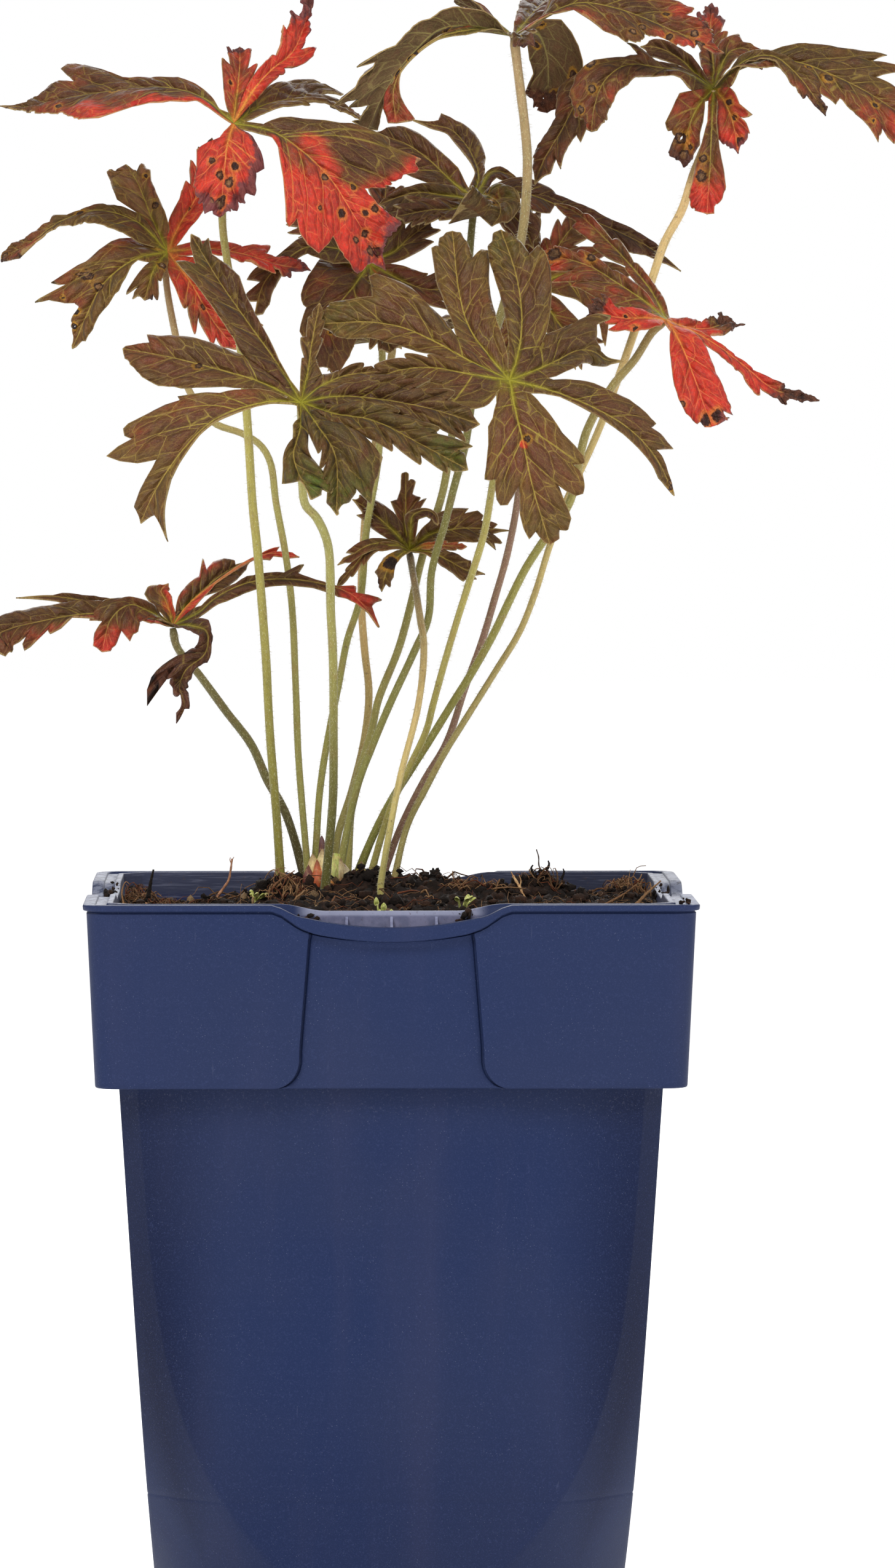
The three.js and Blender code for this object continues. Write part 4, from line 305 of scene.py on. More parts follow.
# ------------------------------------------------------------------ the plant, in millimetres
# Each lobe: midrib points after the hub, upper-face normals, half width, cup, teeth or margin as [along, across],
# then redness (middle, left, right, tip), green (middle, tip), dryness (left, right, tip), darkness and spots (along, across, radius, hole)
# darkness (k) is partly painted shade: the leaves behind (top_centre, dark_centre, brown_behind_left) get darker tones
# for the shade they lie in, and ke darkens one half of a lobe for the shade of a fold
LEAVES = {
'red_upper_left': dict(hub=[-33.68,-25.0,321.76], n=[0.05,-0.5,0.86], res=0.55, web={'A1 A2': 3, 'A2 A3': 9, 'A4 A5': 3, 'A1 A6': 4}, L=[
  dict(id='A1', P=[[-40.33,-24.0,327.23],[-48.33,-22.0,329.55],[-59.03,-19.0,328.99],[-69.8,-15.0,327.54],[-78.6,-11.0,325.68],[-84.73,-8.0,326.05]], n=[[0.0,-0.5,0.86],[-0.1,-0.5,0.85]], W=9.5, cup=0.15, T=[[[22.69,6.84],[28.59,11.14],[44.65,3.32]],[[26.92,13.46],[40.97,13.19],[55.03,3.61]]], ML=[[4.76,5.01],[7.54,5.21],[9.46,6.82],[10.74,8.82],[12.03,9.23],[11.81,11.83],[11.81,13.84],[12.88,14.04],[21.42,10.83],[30.82,6.42],[42.56,3.81],[47.05,2.21]], MR=[[4.34,0.2],[8.18,2.21],[9.89,3.81],[11.6,4.41],[14.59,4.61],[19.5,4.81],[21.64,5.82],[22.28,10.43],[22.28,15.44],[26.12,13.84],[31.25,6.22],[35.09,7.42],[41.5,5.82],[48.54,2.41],[47.05,2.21]], r=(0.1,0.55,0.28,0.2), g=(0,0), d=(0.15,0,0.35), k=0.45, sp=[(0.47,-0.15,0.9,1),(0.62,-0.75,0.7,0)]),
  dict(id='A2', P=[[-32.91,-21.0,328.67],[-32.4,-17.0,334.94],[-32.42,-13.0,338.84]], n=[[0.0,-0.9,0.1],[0.0,-0.8,-0.3]], W=6.0, cup=0.5, T=[[[10.0,4.16],[16.44,2.91]],[[9.5,3.98],[16.44,2.79]]], r=(0.5,0.42,0.48,0.45), g=(0,0), d=(0.15,0.2,0.55), k=0.6, sp=[(0.35,-0.5,0.6,0)]),
  dict(id='A3', P=[[-29.71,-22.0,328.63],[-25.73,-18.0,333.44],[-21.06,-13.0,337.64],[-18.38,-9.0,343.83],[-16.63,-6.0,350.65]], n=[[0.3,-0.7,0.4],[0.7,-0.6,-0.1]], W=3.4, cup=0.15, T=[[[15.8,2.45],[21.11,5.24],[26.43,5.35]],[[15.8,2.45],[21.77,5.35],[30.81,2.11]]], r=(0.75,0.6,0.8,0.55), g=(0,0), d=(0.3,0.4,0.8), k=0.6),
  dict(id='A4', P=[[-27.6,-19.0,325.69],[-18.93,-12.0,327.68],[-13.02,-6.0,326.97],[-5.61,-2.0,323.77]], n=[[0.0,-0.45,0.86],[0.1,-0.4,0.86]], W=6.5, cup=0.15, T=[[[16.36,10.4],[21.33,10.4],[29.87,4.03]],[[13.33,4.38],[21.17,5.49],[29.95,4.6]]], r=(0.05,0.05,0.12,0.15), g=(0,0), d=(0,0,0.25), k=0.35),
  dict(id='A5', P=[[-25.18,-27.0,319.85],[-17.49,-30.0,314.46],[-12.33,-31.0,309.02],[-7.82,-30.0,301.9],[-0.75,-25.0,290.08]], n=[[0.25,-0.85,0.35],[0.2,-0.95,0.1]], W=12.5, cup=0.15, T=[[[11.54,19.61],[20.33,10.69],[31.16,8.76]],[[11.84,14.96],[20.62,11.47],[38.48,6.04]]], ML=[[6.22,1.32],[8.65,6.6],[9.96,11.35],[10.33,14.78],[10.71,16.89],[11.27,16.1],[11.27,18.74],[11.08,20.85],[12.02,19.0],[13.88,15.04],[17.81,11.61],[20.61,10.29],[23.97,5.54],[28.08,6.07],[29.95,7.92],[30.89,8.97],[37.05,5.01],[45.27,1.58],[49.38,0.0]], MR=[[6.41,2.11],[8.84,1.85],[10.15,3.17],[10.89,7.92],[11.27,12.14],[11.27,14.51],[12.02,14.51],[12.95,11.88],[13.51,13.19],[15.57,13.19],[20.05,11.88],[24.35,8.71],[26.59,6.6],[29.02,6.86],[33.69,6.6],[37.8,6.33],[49.38,0.0]], r=(0.5,-0.75,1.15,0.8), g=(0,0), d=(0.28,0.0,0.5), k=0.45, sp=[(0.42,0.55,0.7,0),(0.47,0.1,0.9,0),(0.6,0.35,1.0,0),(0.52,-0.55,0.7,0),(0.6,-0.62,0.9,0),(0.66,-0.3,0.8,0),(0.72,0.42,0.9,0),(0.8,0.0,1.0,0),(0.86,0.3,1.2,0),(0.9,-0.25,1.1,0)], rh=-0.6, ru=(0.42,0.72)),
  dict(id='A6', P=[[-34.97,-31.0,317.07],[-35.73,-35.0,309.69],[-36.55,-34.0,301.4]], n=[[-0.05,-0.93,0.2],[-0.05,-0.97,-0.2]], W=8.6, cup=-0.35, T=[[[8.22,9.07],[12.3,8.89],[16.38,5.43]],[[9.88,4.17],[15.21,4.91],[19.73,3.6]]], ML=[[1.33,5.63],[5.05,7.08],[6.35,8.53],[7.0,7.99],[7.74,8.35],[12.02,6.35],[16.95,4.54],[24.57,0.54]], MR=[[0.49,5.45],[4.77,5.63],[5.79,6.54],[7.37,6.35],[9.42,6.72],[15.74,5.08],[24.57,1.82],[24.57,0.54]], r=(0.95,0.8,1.0,0.8), g=(0,0), d=(0.75,0.35,0.55), k=0.3, sp=[(0.35,0.45,0.9,0),(0.42,-0.35,1.0,0),(0.58,0.2,0.9,0),(0.62,-0.3,1.1,0),(0.75,0.6,1.2,0),(0.86,0.25,1.2,0),(0.82,-0.1,0.8,0)]),
]),
'left': dict(hub=[-48.54,5.0,294.6], n=[-0.15,-0.63,0.76], res=0.55, web={'B1 B2': 11, 'B2 B3': 3.0, 'B3 B4': 6.5, 'B6 B7': 3, 'B5 B6': 3}, L=[
  dict(id='B1', P=[[-52.23,8.0,302.75],[-55.02,13.0,309.64],[-57.83,18.0,314.11]], n=[[0.0,-0.9,0.3],[0.0,-0.9,0.1]], W=6.2, cup=0.15, T=[[[9.32,6.46],[15.15,6.33],[20.99,4.64]],[[10.28,3.02],[14.05,3.48],[17.81,3.55]]], ML=[[7.87,6.41],[8.45,5.89],[12.13,5.5],[18.22,4.71],[20.35,4.97],[25.58,3.01],[25.58,0.13]], MR=[[1.87,1.57],[4.58,2.62],[6.71,3.14],[9.51,3.01],[13.87,2.88],[15.22,3.93],[19.48,3.14],[19.09,0.79],[20.35,1.44],[23.74,0.65],[25.58,0.13]], r=(0.14,0.26,0.3,0.3), g=(0.08,0), d=(0,0.1,0.45), k=-1.0, sp=[(0.35,0.55,0.9,1),(0.62,0.6,0.6,1),(0.55,-0.75,0.5,0)]),
  dict(id='B2', P=[[-54.88,5.0,300.93],[-63.68,6.0,303.65],[-71.84,8.0,301.4],[-78.68,10.0,296.71],[-85.26,12.0,293.09]], n=[[-0.1,-0.6,0.75],[-0.3,-0.6,0.7]], W=5.5, cup=0.15, T=[[[17.31,3.71],[24.33,4.85],[33.94,4.28]],[[17.38,2.47],[29.07,2.91],[41.12,8.8]]], ML=[[1.36,1.74],[5.94,4.53],[8.23,6.04],[10.03,6.04],[12.81,5.22],[19.19,3.48],[26.38,1.39],[30.47,0.7],[33.25,1.39],[32.76,3.48],[37.83,3.6],[43.23,1.51]], MR=[[12.15,2.32],[14.12,2.32],[17.22,1.97],[21.15,1.16],[24.26,1.28],[24.91,2.9],[27.53,1.74],[30.47,2.79],[35.21,3.02],[42.74,2.21],[43.23,1.51]], r=(0.12,0.15,0.14,0.34), g=(0.08,0), d=(0.2,0.1,0.3), k=0.05, sp=[(0.52,0.0,0.8,1),(0.97,0.2,0.8,1)]),
  dict(id='B3', P=[[-55.47,0.0,292.89],[-62.15,-3.0,287.73],[-66.17,-4.0,280.33],[-69.17,-3.0,273.35]], n=[[-0.3,-0.85,0.35],[-0.3,-0.9,0.1]], W=8.8, cup=0.15, T=[[[14.91,8.21],[20.7,8.04],[26.49,5.46]],[[10.1,11.68],[11.51,12.21],[26.49,5.46]]], ML=[[2.21,0.19],[5.03,0.19],[7.97,0.19],[9.63,0.93],[10.78,2.79],[12.19,3.9],[16.79,3.72],[21.14,2.79],[24.72,2.79],[28.81,2.23],[33.79,0.37]], MR=[[1.32,1.67],[3.75,5.2],[6.18,6.13],[7.58,6.69],[8.86,6.69],[10.01,7.06],[10.4,8.73],[10.14,11.7],[12.06,7.25],[11.67,9.66],[11.55,12.26],[13.59,9.47],[17.04,6.32],[18.83,4.09],[21.78,2.42],[23.57,3.16],[26.12,2.6],[31.37,0.93],[33.79,0.37]], r=(0.05,0.15,0.34,0.12), g=(0.08,0), d=(0.05,0.1,0.35), k=-0.15, sp=[(0.36,0.45,1.1,1),(0.41,0.35,0.8,1),(0.55,0.1,1.1,1),(0.68,0.8,0.8,1),(0.8,0.75,0.7,1),(0.45,0.85,0.5,1),(0.34,0.72,0.6,1)]),
  dict(id='B4', P=[[-51.43,0.0,290.47],[-53.45,-1.0,283.99]], n=[[-0.1,-0.9,0.3]], W=4.5, cup=0.15, T=[[[5.62,2.57],[9.32,3.02]],[[5.08,3.2],[7.76,4.44],[10.48,2.97]]], r=(0.1,0.25,0.1,0.2), g=(0.1,0.1), d=(0.3,0.1,0.3), k=0.1, sp=[(0.3,-0.5,0.9,1)]),
  dict(id='B5', P=[[-45.47,8.0,301.41],[-42.51,10.0,306.32],[-38.74,14.0,319.83]], n=[[0.2,-0.9,0.3],[0.2,-0.9,0.2]], W=6.5, cup=0.15, T=[[[12.79,3.69],[17.6,3.61],[22.41,2.58]],[[13.97,3.49],[18.19,3.42],[22.41,2.45]]], r=(0.6,0.55,0.6,0.4), g=(0.08,0), d=(0.3,0.3,0.6), k=0.3, sp=[(0.4,0,0.5,1)]),
  dict(id='B6', P=[[-39.37,6.0,295.29],[-31.28,9.0,294.0],[-24.51,12.0,292.02],[-17.05,15.0,290.72]], n=[[0.1,-0.7,0.7]], W=4.0, cup=0.15, T=[[[13.53,2.88],[17.05,5.63],[27.23,3.98]],[[12.87,2.65],[20.21,3.6],[25.06,2.7]]], r=(0.55,0.5,0.6,0.5), g=(0.08,0), d=(0.2,0.3,0.5), k=0.4),
  dict(id='B7', P=[[-43.37,1.0,287.79],[-38.64,-1.0,279.69],[-33.38,-2.0,273.23]], n=[[0.3,-0.85,0.35],[0.3,-0.9,0.2]], W=6.8, cup=0.15, T=[[[9.95,8.26],[15.68,8.09],[21.41,4.22]],[[8.81,4.63],[11.89,5.64],[18.21,3.62]]], r=(0.55,0.8,0.45,0.5), g=(0,0.1), d=(0,0,0.15), k=0.1, sp=[(0.45,-0.75,0.7,1),(0.55,0.15,0.8,1),(0.7,-0.9,0.6,0)]),
]),
# the darker tones (k) of this leaf are partly painted shade
'top_centre': dict(hub=[27.69,5.0,342.08], n=[0.0,0.42,0.91], res=0.6, web={}, L=[
  dict(id='C1', P=[[22.75,2.0,343.56],[16.47,-2.0,344.18],[10.86,-7.0,342.87],[6.1,-12.0,338.64],[1.63,-16.0,333.14],[-2.0,-18.0,326.81],[-4.8,-18.0,320.55]], n=[[-0.2,0.85,0.5],[-0.6,0.75,0.25]], W=9, cup=0.15, T=[[[20.74,6.48],[26.13,10.84],[35.0,9.2],[39.29,7.29]],[[20.74,6.48],[31.33,11.67],[40.45,5.58]]], ML=[[8.26,3.8],[11.58,4.75],[18.22,3.61],[23.68,5.51],[27.39,5.13],[28.56,6.84],[26.41,10.64],[30.9,6.08],[32.27,6.08],[31.49,7.79],[33.44,7.98],[34.81,7.98],[32.08,11.4],[38.52,6.08],[39.3,7.22],[42.62,3.8],[44.57,2.47],[50.23,3.04],[51.6,5.13],[51.6,0.0]], MR=[[6.5,1.52],[12.16,1.71],[21.14,1.33],[32.08,0.57],[38.13,0.19],[42.03,1.14],[50.82,2.66],[51.6,0.0]], r=(0.06,0.25,0.1,0.15), g=(0.1,0), d=(0.12,0,0.12), k=0.5, sp=[(0.33,0.5,0.9,0),(0.72,0.45,1.0,0),(0.62,0.55,0.8,1)]),
  dict(id='C2', P=[[21.56,9.0,347.11],[15.54,13.0,350.27],[8.16,18.0,353.49],[1.43,24.0,354.87]], n=[[-0.1,0.45,0.88],[-0.3,0.4,0.8]], W=8.5, cup=0.15, T=[[[14.2,5.73],[20.2,8.11],[27.03,6.12]],[[12.46,6.15],[20.21,7.83],[27.87,6.17]]], r=(0.14,0.25,0.25,0.34), g=(0.0,0), d=(0.28,0.28,0.5), k=0.88, sp=[(0.55,-0.5,0.7,1)]),
  dict(id='C3', P=[[28.28,-3.0,341.46],[28.93,-9.0,341.46],[29.33,-14.0,338.84]], n=[[0.0,-0.3,0.95],[0.0,-0.95,0.2]], W=6.0, cup=0.15, T=[[[7.4,3.81],[15.43,2.67]],[[2.97,3.11],[15.43,2.17]]], r=(0.05,0.05,0.05,0.08), g=(0.22,0.1), d=(0.28,0.28,0.5), k=0.72, sp=[(0.55,0.5,0.5,1)]),
  dict(id='C4', P=[[32.33,2.0,344.91],[41.16,0.0,348.85],[50.39,-2.0,347.56],[61.61,-4.0,343.05],[73.36,-6.0,337.88]], n=[[0.1,-0.75,0.6],[0.3,-0.85,0.4]], W=9, cup=0.15, T=[[[19.99,5.92],[28.12,7.84],[39.79,5.49]],[[20.29,8.38],[26.01,8.22],[31.73,6.47]]], ML=[[8.32,7.03],[11.39,6.46],[14.27,7.03],[19.46,7.79],[24.64,8.17],[29.83,8.17],[32.13,5.51],[37.13,5.32],[45.77,3.04],[46.73,1.9],[50.76,0.0]], MR=[[9.86,2.09],[12.93,2.28],[13.7,5.13],[14.66,7.03],[16.38,8.17],[18.69,8.93],[23.68,7.79],[27.72,4.56],[32.9,3.04],[35.97,3.42],[41.16,2.66],[44.43,0.76],[49.42,1.14],[50.76,0.0]], r=(0.1,0.35,0.3,0.5), g=(0.06,0), d=(0.2,0.22,0.35), k=0.5, sp=[(0.45,0.8,0.9,1),(0.62,-0.5,0.9,1),(0.7,0.7,0.9,0),(0.82,-0.35,0.9,0),(0.88,0.5,1.0,1),(0.55,0.75,0.8,0)]),
  dict(id='C5', P=[[32.69,10.0,343.12],[35.31,16.0,338.24],[35.68,19.0,331.58],[35.44,20.0,325.64]], n=[[0.2,0.95,0.1],[0.1,0.97,0.0]], W=7.5, cup=0.15, T=[[[13.21,5.04],[17.89,4.94],[22.57,3.53]],[[10.48,7.96],[15.43,7.8],[20.38,5.49]]], ML=[[8.2,3.48],[11.25,4.12],[15.61,3.48],[16.59,4.59],[17.57,5.22],[20.94,4.12],[28.13,2.38],[23.45,2.38],[28.46,1.43],[28.79,0.0]], MR=[[5.92,3.8],[6.35,5.86],[7.22,6.65],[8.2,7.44],[9.07,7.92],[10.49,7.76],[13.97,6.97],[17.02,6.33],[20.07,4.75],[23.01,4.12],[27.7,2.06],[28.79,0.0]], r=(0.1,0.12,0.3,0.25), g=(0.0,0), d=(0.1,0.12,0.75), k=0.62, sp=[(0.22,0.35,0.8,0),(0.35,-0.5,0.9,1),(0.45,0.75,1.0,0),(0.72,0.6,0.9,1),(0.86,-0.3,0.9,1),(0.8,0.3,0.7,0)]),
  dict(id='C6', P=[[31.18,14.0,346.27],[34.24,26.0,349.83],[37.4,40.0,351.6],[39.85,52.0,350.81]], n=[[0.1,0.2,1.0],[0.1,0.8,0.6]], W=8.5, cup=0.15, T=[[[19.9,5.28],[27.73,7.69],[39.32,5.65]],[[18.58,6.16],[27.33,8.44],[38.03,6.23]]], r=(0.14,0.25,0.25,0.34), g=(0.0,0), d=(0.3,0.3,0.6), k=0.88),
  dict(id='C1c', P=[[22.75,2.0,343.15],[10.83,-9.0,340.91],[2.98,-15.0,333.98],[0.95,-17.0,328.84],[1.6,-18.0,322.15]], n=[[-0.2,-0.9,0.3],[0.0,-0.98,0.1]], W=4, cup=0.15, T=[[[18.61,2.56],[26.56,3.97],[37.52,2.64]],[[18.57,2.85],[27.88,3.89],[36.49,3.13]]], ML=[[22.3,0.25],[35.47,0.08],[38.5,1.35],[44.19,3.04],[46.69,4.14],[39.03,7.6],[47.04,3.38],[47.04,1.27],[47.04,0.0]], MR=[[22.3,0.25],[34.58,0.25],[36.72,1.44],[38.68,1.94],[42.24,2.45],[47.04,1.86],[47.04,0.93],[47.04,0.0]], r=(0.0,0.0,0.35,0.45), g=(0.7,0.45), d=(0.0,0.1,0.1), k=0.15, sp=[(0.62,0.6,0.6,0)]),
]),
'top_right': dict(hub=[71.99,12.0,330.66], n=[0.0,0.3,0.95], res=0.6, web={}, L=[
  dict(id='G1', P=[[75.87,11.0,334.27],[80.51,9.0,336.22],[85.81,7.0,336.96],[91.79,5.0,335.8],[98.43,3.0,333.03],[105.06,1.0,329.59],[111.68,-1.0,325.22],[118.56,-3.0,320.85]], n=[[0.1,-0.75,0.6],[0.25,-0.85,0.45]], W=9, cup=0.15, T=[[[14.04,6.2],[21.79,10.84],[42.74,5.58]],[[13.39,10.02],[18.24,11.12],[33.75,9.75],[39.57,8.11]]], ML=[[8.11,4.94],[12.03,3.04],[13.47,4.75],[15.53,6.84],[18.42,8.74],[21.72,11.02],[24.2,7.79],[25.23,8.93],[27.29,11.02],[31.42,4.56],[35.75,5.13],[40.9,5.89],[41.11,3.8],[50.39,2.28],[54.52,0.0]], MR=[[9.96,3.99],[13.68,2.28],[15.95,3.99],[19.25,5.7],[22.34,6.65],[24.2,7.41],[26.67,5.51],[28.94,6.65],[31.21,7.79],[33.48,10.26],[37.81,6.46],[39.05,8.55],[47.5,4.56],[53.9,4.37],[54.52,0.0]], r=(0.12,0.1,0.25,0.35), g=(0.12,0.12), d=(0.05,0.15,0.25), k=0.42, sp=[(0.5,0.25,1.1,0),(0.42,0.12,0.7,0),(0.62,0.75,0.7,0),(0.7,0.35,0.8,1),(0.84,0.5,0.9,0)]),
  dict(id='G2', P=[[79.15,9.0,336.9],[84.75,5.0,337.55],[88.91,2.0,334.33],[92.57,0.0,329.81],[95.83,-2.0,324.23]], n=[[0.1,-0.8,0.5],[0.2,-0.93,0.2]], W=5, cup=0.15, T=[[[14.43,3.16],[20.35,3.64],[26.26,3.71]],[[14.43,2.79],[20.45,3.22],[26.48,3.29]]], ML=[[15.39,1.16],[17.69,1.79],[20.14,2.22],[22.18,2.96],[25.3,3.06],[30.05,1.37],[34.26,1.37],[35.89,0.0]], MR=[[17.15,0.95],[19.19,1.79],[21.5,2.64],[24.48,3.06],[26.79,2.85],[28.01,1.48],[32.22,1.06],[35.89,0.0]], r=(0.06,0.1,0.2,0.2), g=(0.12,0.0), d=(0.28,0.28,0.45), k=0.5),
  dict(id='G3', P=[[73.68,16.0,335.29],[76.06,20.0,339.25],[79.85,22.0,339.89],[83.21,21.0,335.36]], n=[[0.1,-0.85,0.45],[0.2,-0.9,0.3]], W=6, cup=0.15, T=[[[8.84,4.02],[13.24,5.18],[18.1,4.09]],[[8.77,4.36],[13.24,5.09],[17.91,4.7]]], ML=[[5.18,1.52],[7.24,2.53],[8.18,3.67],[10.67,3.67],[14.19,1.65],[15.74,2.03],[13.77,4.94],[19.43,2.28],[22.7,0.13]], MR=[[5.09,1.39],[7.58,2.15],[15.74,2.03],[18.49,1.27],[21.49,0.38],[22.7,0.13]], r=(0.16,0.28,0.28,0.35), g=(0.1,0.05), d=(0.28,0.28,0.45), k=0.62),
  dict(id='G4a', P=[[68.27,8.0,326.45],[65.88,6.0,320.98],[65.03,5.0,313.26]], n=[[-0.1,-0.95,0.2],[-0.1,-0.97,0.0]], W=5.5, cup=0.15, T=[[[7.5,3.48],[11.88,5.38],[16.5,3.64]],[[7.02,5.46],[12.25,3.87],[16.45,3.41]]], ML=[[4.47,0.46],[6.93,2.55],[11.38,3.13],[15.9,1.97],[20.98,0.81],[20.98,0.0]], MR=[[2.96,4.76],[4.95,4.64],[6.14,4.88],[6.93,5.57],[8.84,3.72],[11.06,2.55],[13.05,3.72],[17.81,1.97],[20.98,0.0]], r=(0.3,0.3,0.3,0.45), g=(0.0,0.0), d=(0.1,0.3,0.6), k=0.45, sp=[(0.62,0.35,1.3,1),(0.88,0.2,1.4,0),(0.7,-0.6,0.6,0)]),
  dict(id='G4b', P=[[71.19,4.0,322.94],[70.65,1.0,313.42],[70.04,2.0,302.8]], n=[[0.0,-0.95,0.2],[0.0,-0.98,0.0]], W=5.5, cup=0.15, T=[[[12.79,3.15],[17.0,3.63],[21.21,3.71]],[[12.79,3.69],[19.51,4.34],[24.94,3.04]]], ML=[[10.03,1.04],[14.48,1.86],[17.49,3.02],[20.38,3.83],[23.99,3.25],[29.53,1.51],[31.57,1.63],[31.81,0.0]], MR=[[10.15,1.04],[14.12,2.21],[17.01,3.13],[20.14,3.83],[22.54,4.3],[30.97,3.02],[31.81,0.0]], r=(0.2,0.22,0.36,0.7), g=(0.0,0.0), d=(0.1,0.15,0.2), k=0.6, sp=[(0.55,0.5,1.0,0),(0.66,0.45,1.3,1)]),
  dict(id='G4c', P=[[74.37,8.0,327.4],[75.9,6.0,323.01],[77.07,5.0,316.23]], n=[[0.1,-0.95,0.2],[0.1,-0.97,0.0]], W=5, cup=0.15, T=[[[5.18,4.71],[9.15,3.14],[13.84,3.1]],[[6.83,3.34],[10.29,4.21],[13.51,3.67]]], ML=[[0.35,2.53],[3.29,2.53],[5.5,2.64],[5.1,5.17],[7.5,1.79],[7.64,2.96],[9.11,3.38],[14.25,1.27],[17.66,0.0]], MR=[[4.43,1.58],[5.83,3.48],[8.17,4.22],[12.52,2.32],[15.72,1.06],[17.66,0.0]], r=(0.42,0.45,0.42,0.6), g=(0.0,0.0), d=(0.35,0.25,0.5), k=0.5, sp=[(0.3,-0.3,0.8,0),(0.5,-0.2,0.7,1),(0.8,-0.6,1.0,0)]),
  dict(id='G5', P=[[72.34,22.0,337.16],[72.19,30.0,344.32],[72.75,36.0,350.76]], n=[[0.0,-0.8,0.5],[0.0,-0.7,0.6]], W=4.5, cup=0.15, T=[[[10.91,3.2],[17.54,4.53],[23.43,3.45]],[[12.62,3.02],[17.02,3.91],[23.18,3.52]]], r=(0.3,0.3,0.3,0.5), g=(0.0,0.0), d=(0.3,0.3,0.7), k=0.5),
  dict(id='G6', P=[[66.32,10.0,333.96],[59.41,7.0,335.18],[52.52,4.0,335.59],[47.68,1.0,332.24],[45.32,-1.0,326.79],[44.48,-2.0,320.84]], n=[[-0.1,-0.8,0.5],[-0.3,-0.93,0.2]], W=8, cup=0.15, T=[[[16.48,0.85],[28.21,0.98],[39.95,1.0]],[[16.48,1.26],[31.94,1.48],[38.25,11.36]]], ML=[[4.24,13.68],[12.76,2.7],[20.36,4.56],[26.72,3.72],[31.06,3.55],[37.73,3.04],[40.83,1.35],[40.98,0.0]], MR=[[10.13,1.18],[13.07,1.86],[11.52,5.74],[15.55,2.7],[19.28,2.2],[19.74,4.39],[19.9,6.08],[21.45,6.92],[26.1,6.25],[30.75,4.9],[36.64,2.7],[40.98,1.01],[40.98,0.0]], r=(0.12,0.22,0.24,0.3), g=(0.0,0.0), d=(0.08,0.2,0.35), k=0.55, sp=[(0.72,0.35,1.0,0),(0.8,0.7,0.8,0),(0.5,0.8,0.9,0)]),
  dict(id='G6d', P=[[65.78,13.0,334.48],[58.27,12.0,335.65],[50.09,11.0,335.07],[43.27,10.0,329.89],[38.1,9.0,321.06],[34.27,8.0,314.68],[32.38,8.0,309.55]], n=[[-0.1,-0.8,0.5],[-0.4,-0.9,0.2]], W=7, cup=0.15, T=[[[21.24,4.64],[31.65,6.12],[43.49,4.6]],[[21.89,4.59],[32.38,6.8],[43.24,4.92]]], ML=[[20.5,3.4],[23.42,3.84],[29.47,3.99],[31.97,4.88],[34.69,5.62],[36.35,3.69],[39.69,3.55],[43.65,4.73],[44.91,2.51],[50.74,2.66],[53.25,1.18],[55.12,0.0]], MR=[[20.3,1.77],[23.22,3.84],[26.76,5.47],[30.72,4.29],[35.73,2.96],[40.53,3.25],[44.28,3.25],[51.37,1.92],[55.12,0.0]], r=(0.1,0.15,0.2,0.15), g=(0.0,0.0), d=(0.0,0.1,0.2), k=0.75, sp=[(0.62,-0.3,0.8,0)]),
  dict(id='G7', P=[[68.24,16.0,334.2],[64.65,18.0,337.67],[59.97,20.0,340.06],[56.19,21.0,340.37]], n=[[-0.1,-0.85,0.45],[-0.1,-0.9,0.3]], W=5.5, cup=0.15, T=[[[7.67,3.73],[11.67,4.8],[17.05,4.05]],[[8.04,3.43],[11.97,4.86],[17.06,4.13]]], ML=[[4.72,1.39],[8.04,1.63],[12.49,2.21],[16.94,2.32],[21.39,0.0]], MR=[[5.37,1.63],[7.55,2.32],[11.2,2.21],[14.51,2.21],[17.91,1.63],[21.39,0.0]], r=(0.05,0.1,0.1,0.1), g=(0.0,0.0), d=(0,0.1,0.2), k=0.85),
]),
'right_red': dict(hub=[60.26,-15.0,279.57], n=[0.2,-0.6,0.77], res=0.55, web={'H1 H2': 3, 'H5 H6': 5, 'H4 H5': 5, 'H2 H3': 4}, L=[
  dict(id='H1', P=[[62.98,-20.0,274.85],[66.23,-25.0,266.3],[69.66,-26.0,256.32]], n=[[0.15,-0.9,0.35],[0.1,-0.95,0.1]], W=8.0, cup=0.15, T=[[[11.4,4.94],[19.74,5.82],[23.44,4.61]],[[8.98,4.37],[15.6,4.28],[22.23,3.06]]], ML=[[0.68,1.01],[3.68,3.04],[6.04,4.22],[7.54,5.07],[9.15,4.9],[11.19,4.9],[13.98,5.4],[17.3,5.57],[19.88,5.57],[21.06,3.72],[26.53,4.22],[25.03,5.4],[28.35,3.21],[28.03,2.2],[28.35,0.84]], MR=[[4.11,0.68],[7.44,3.04],[9.37,4.22],[11.08,4.9],[14.09,4.9],[17.52,4.39],[21.27,3.55],[28.03,1.35],[28.35,0.84]], r=(0.85,0.85,0.85,0.9), g=(0,0), d=(0.1,0.0,0.42), k=0.1, sp=[(0.55,0.95,0.7,0),(0.9,-0.5,1.3,0),(0.93,0.5,1.4,0)]),
  dict(id='H2', P=[[66.74,-14.0,276.77],[73.29,-12.0,272.77],[77.75,-9.0,269.44],[84.33,-7.0,264.47],[94.36,-6.0,262.06]], n=[[0.2,-0.8,0.5]], W=3.6, cup=0.15, T=[[[16.13,1.02],[20.8,1.19],[28.17,2.65]],[[15.47,2.55],[22.65,3.58],[29.78,2.63]]], r=(0.85,0.75,0.8,0.1), g=(0,0), d=(0.25,0.2,1.1), k=0.2),
  dict(id='H3', P=[[64.78,-10.0,278.01],[69.73,-5.0,277.65],[75.48,2.0,279.74]], n=[[0.1,-0.7,0.6]], W=3.8, cup=0.15, T=[[[9.32,2.74],[15.06,3.62],[20.81,3.7]],[[9.32,2.74],[14.24,3.72],[19.16,3.8]]], r=(0.6,0.5,0.6,0.0), g=(0,0), d=(0.4,0.3,1.2), k=0.2),
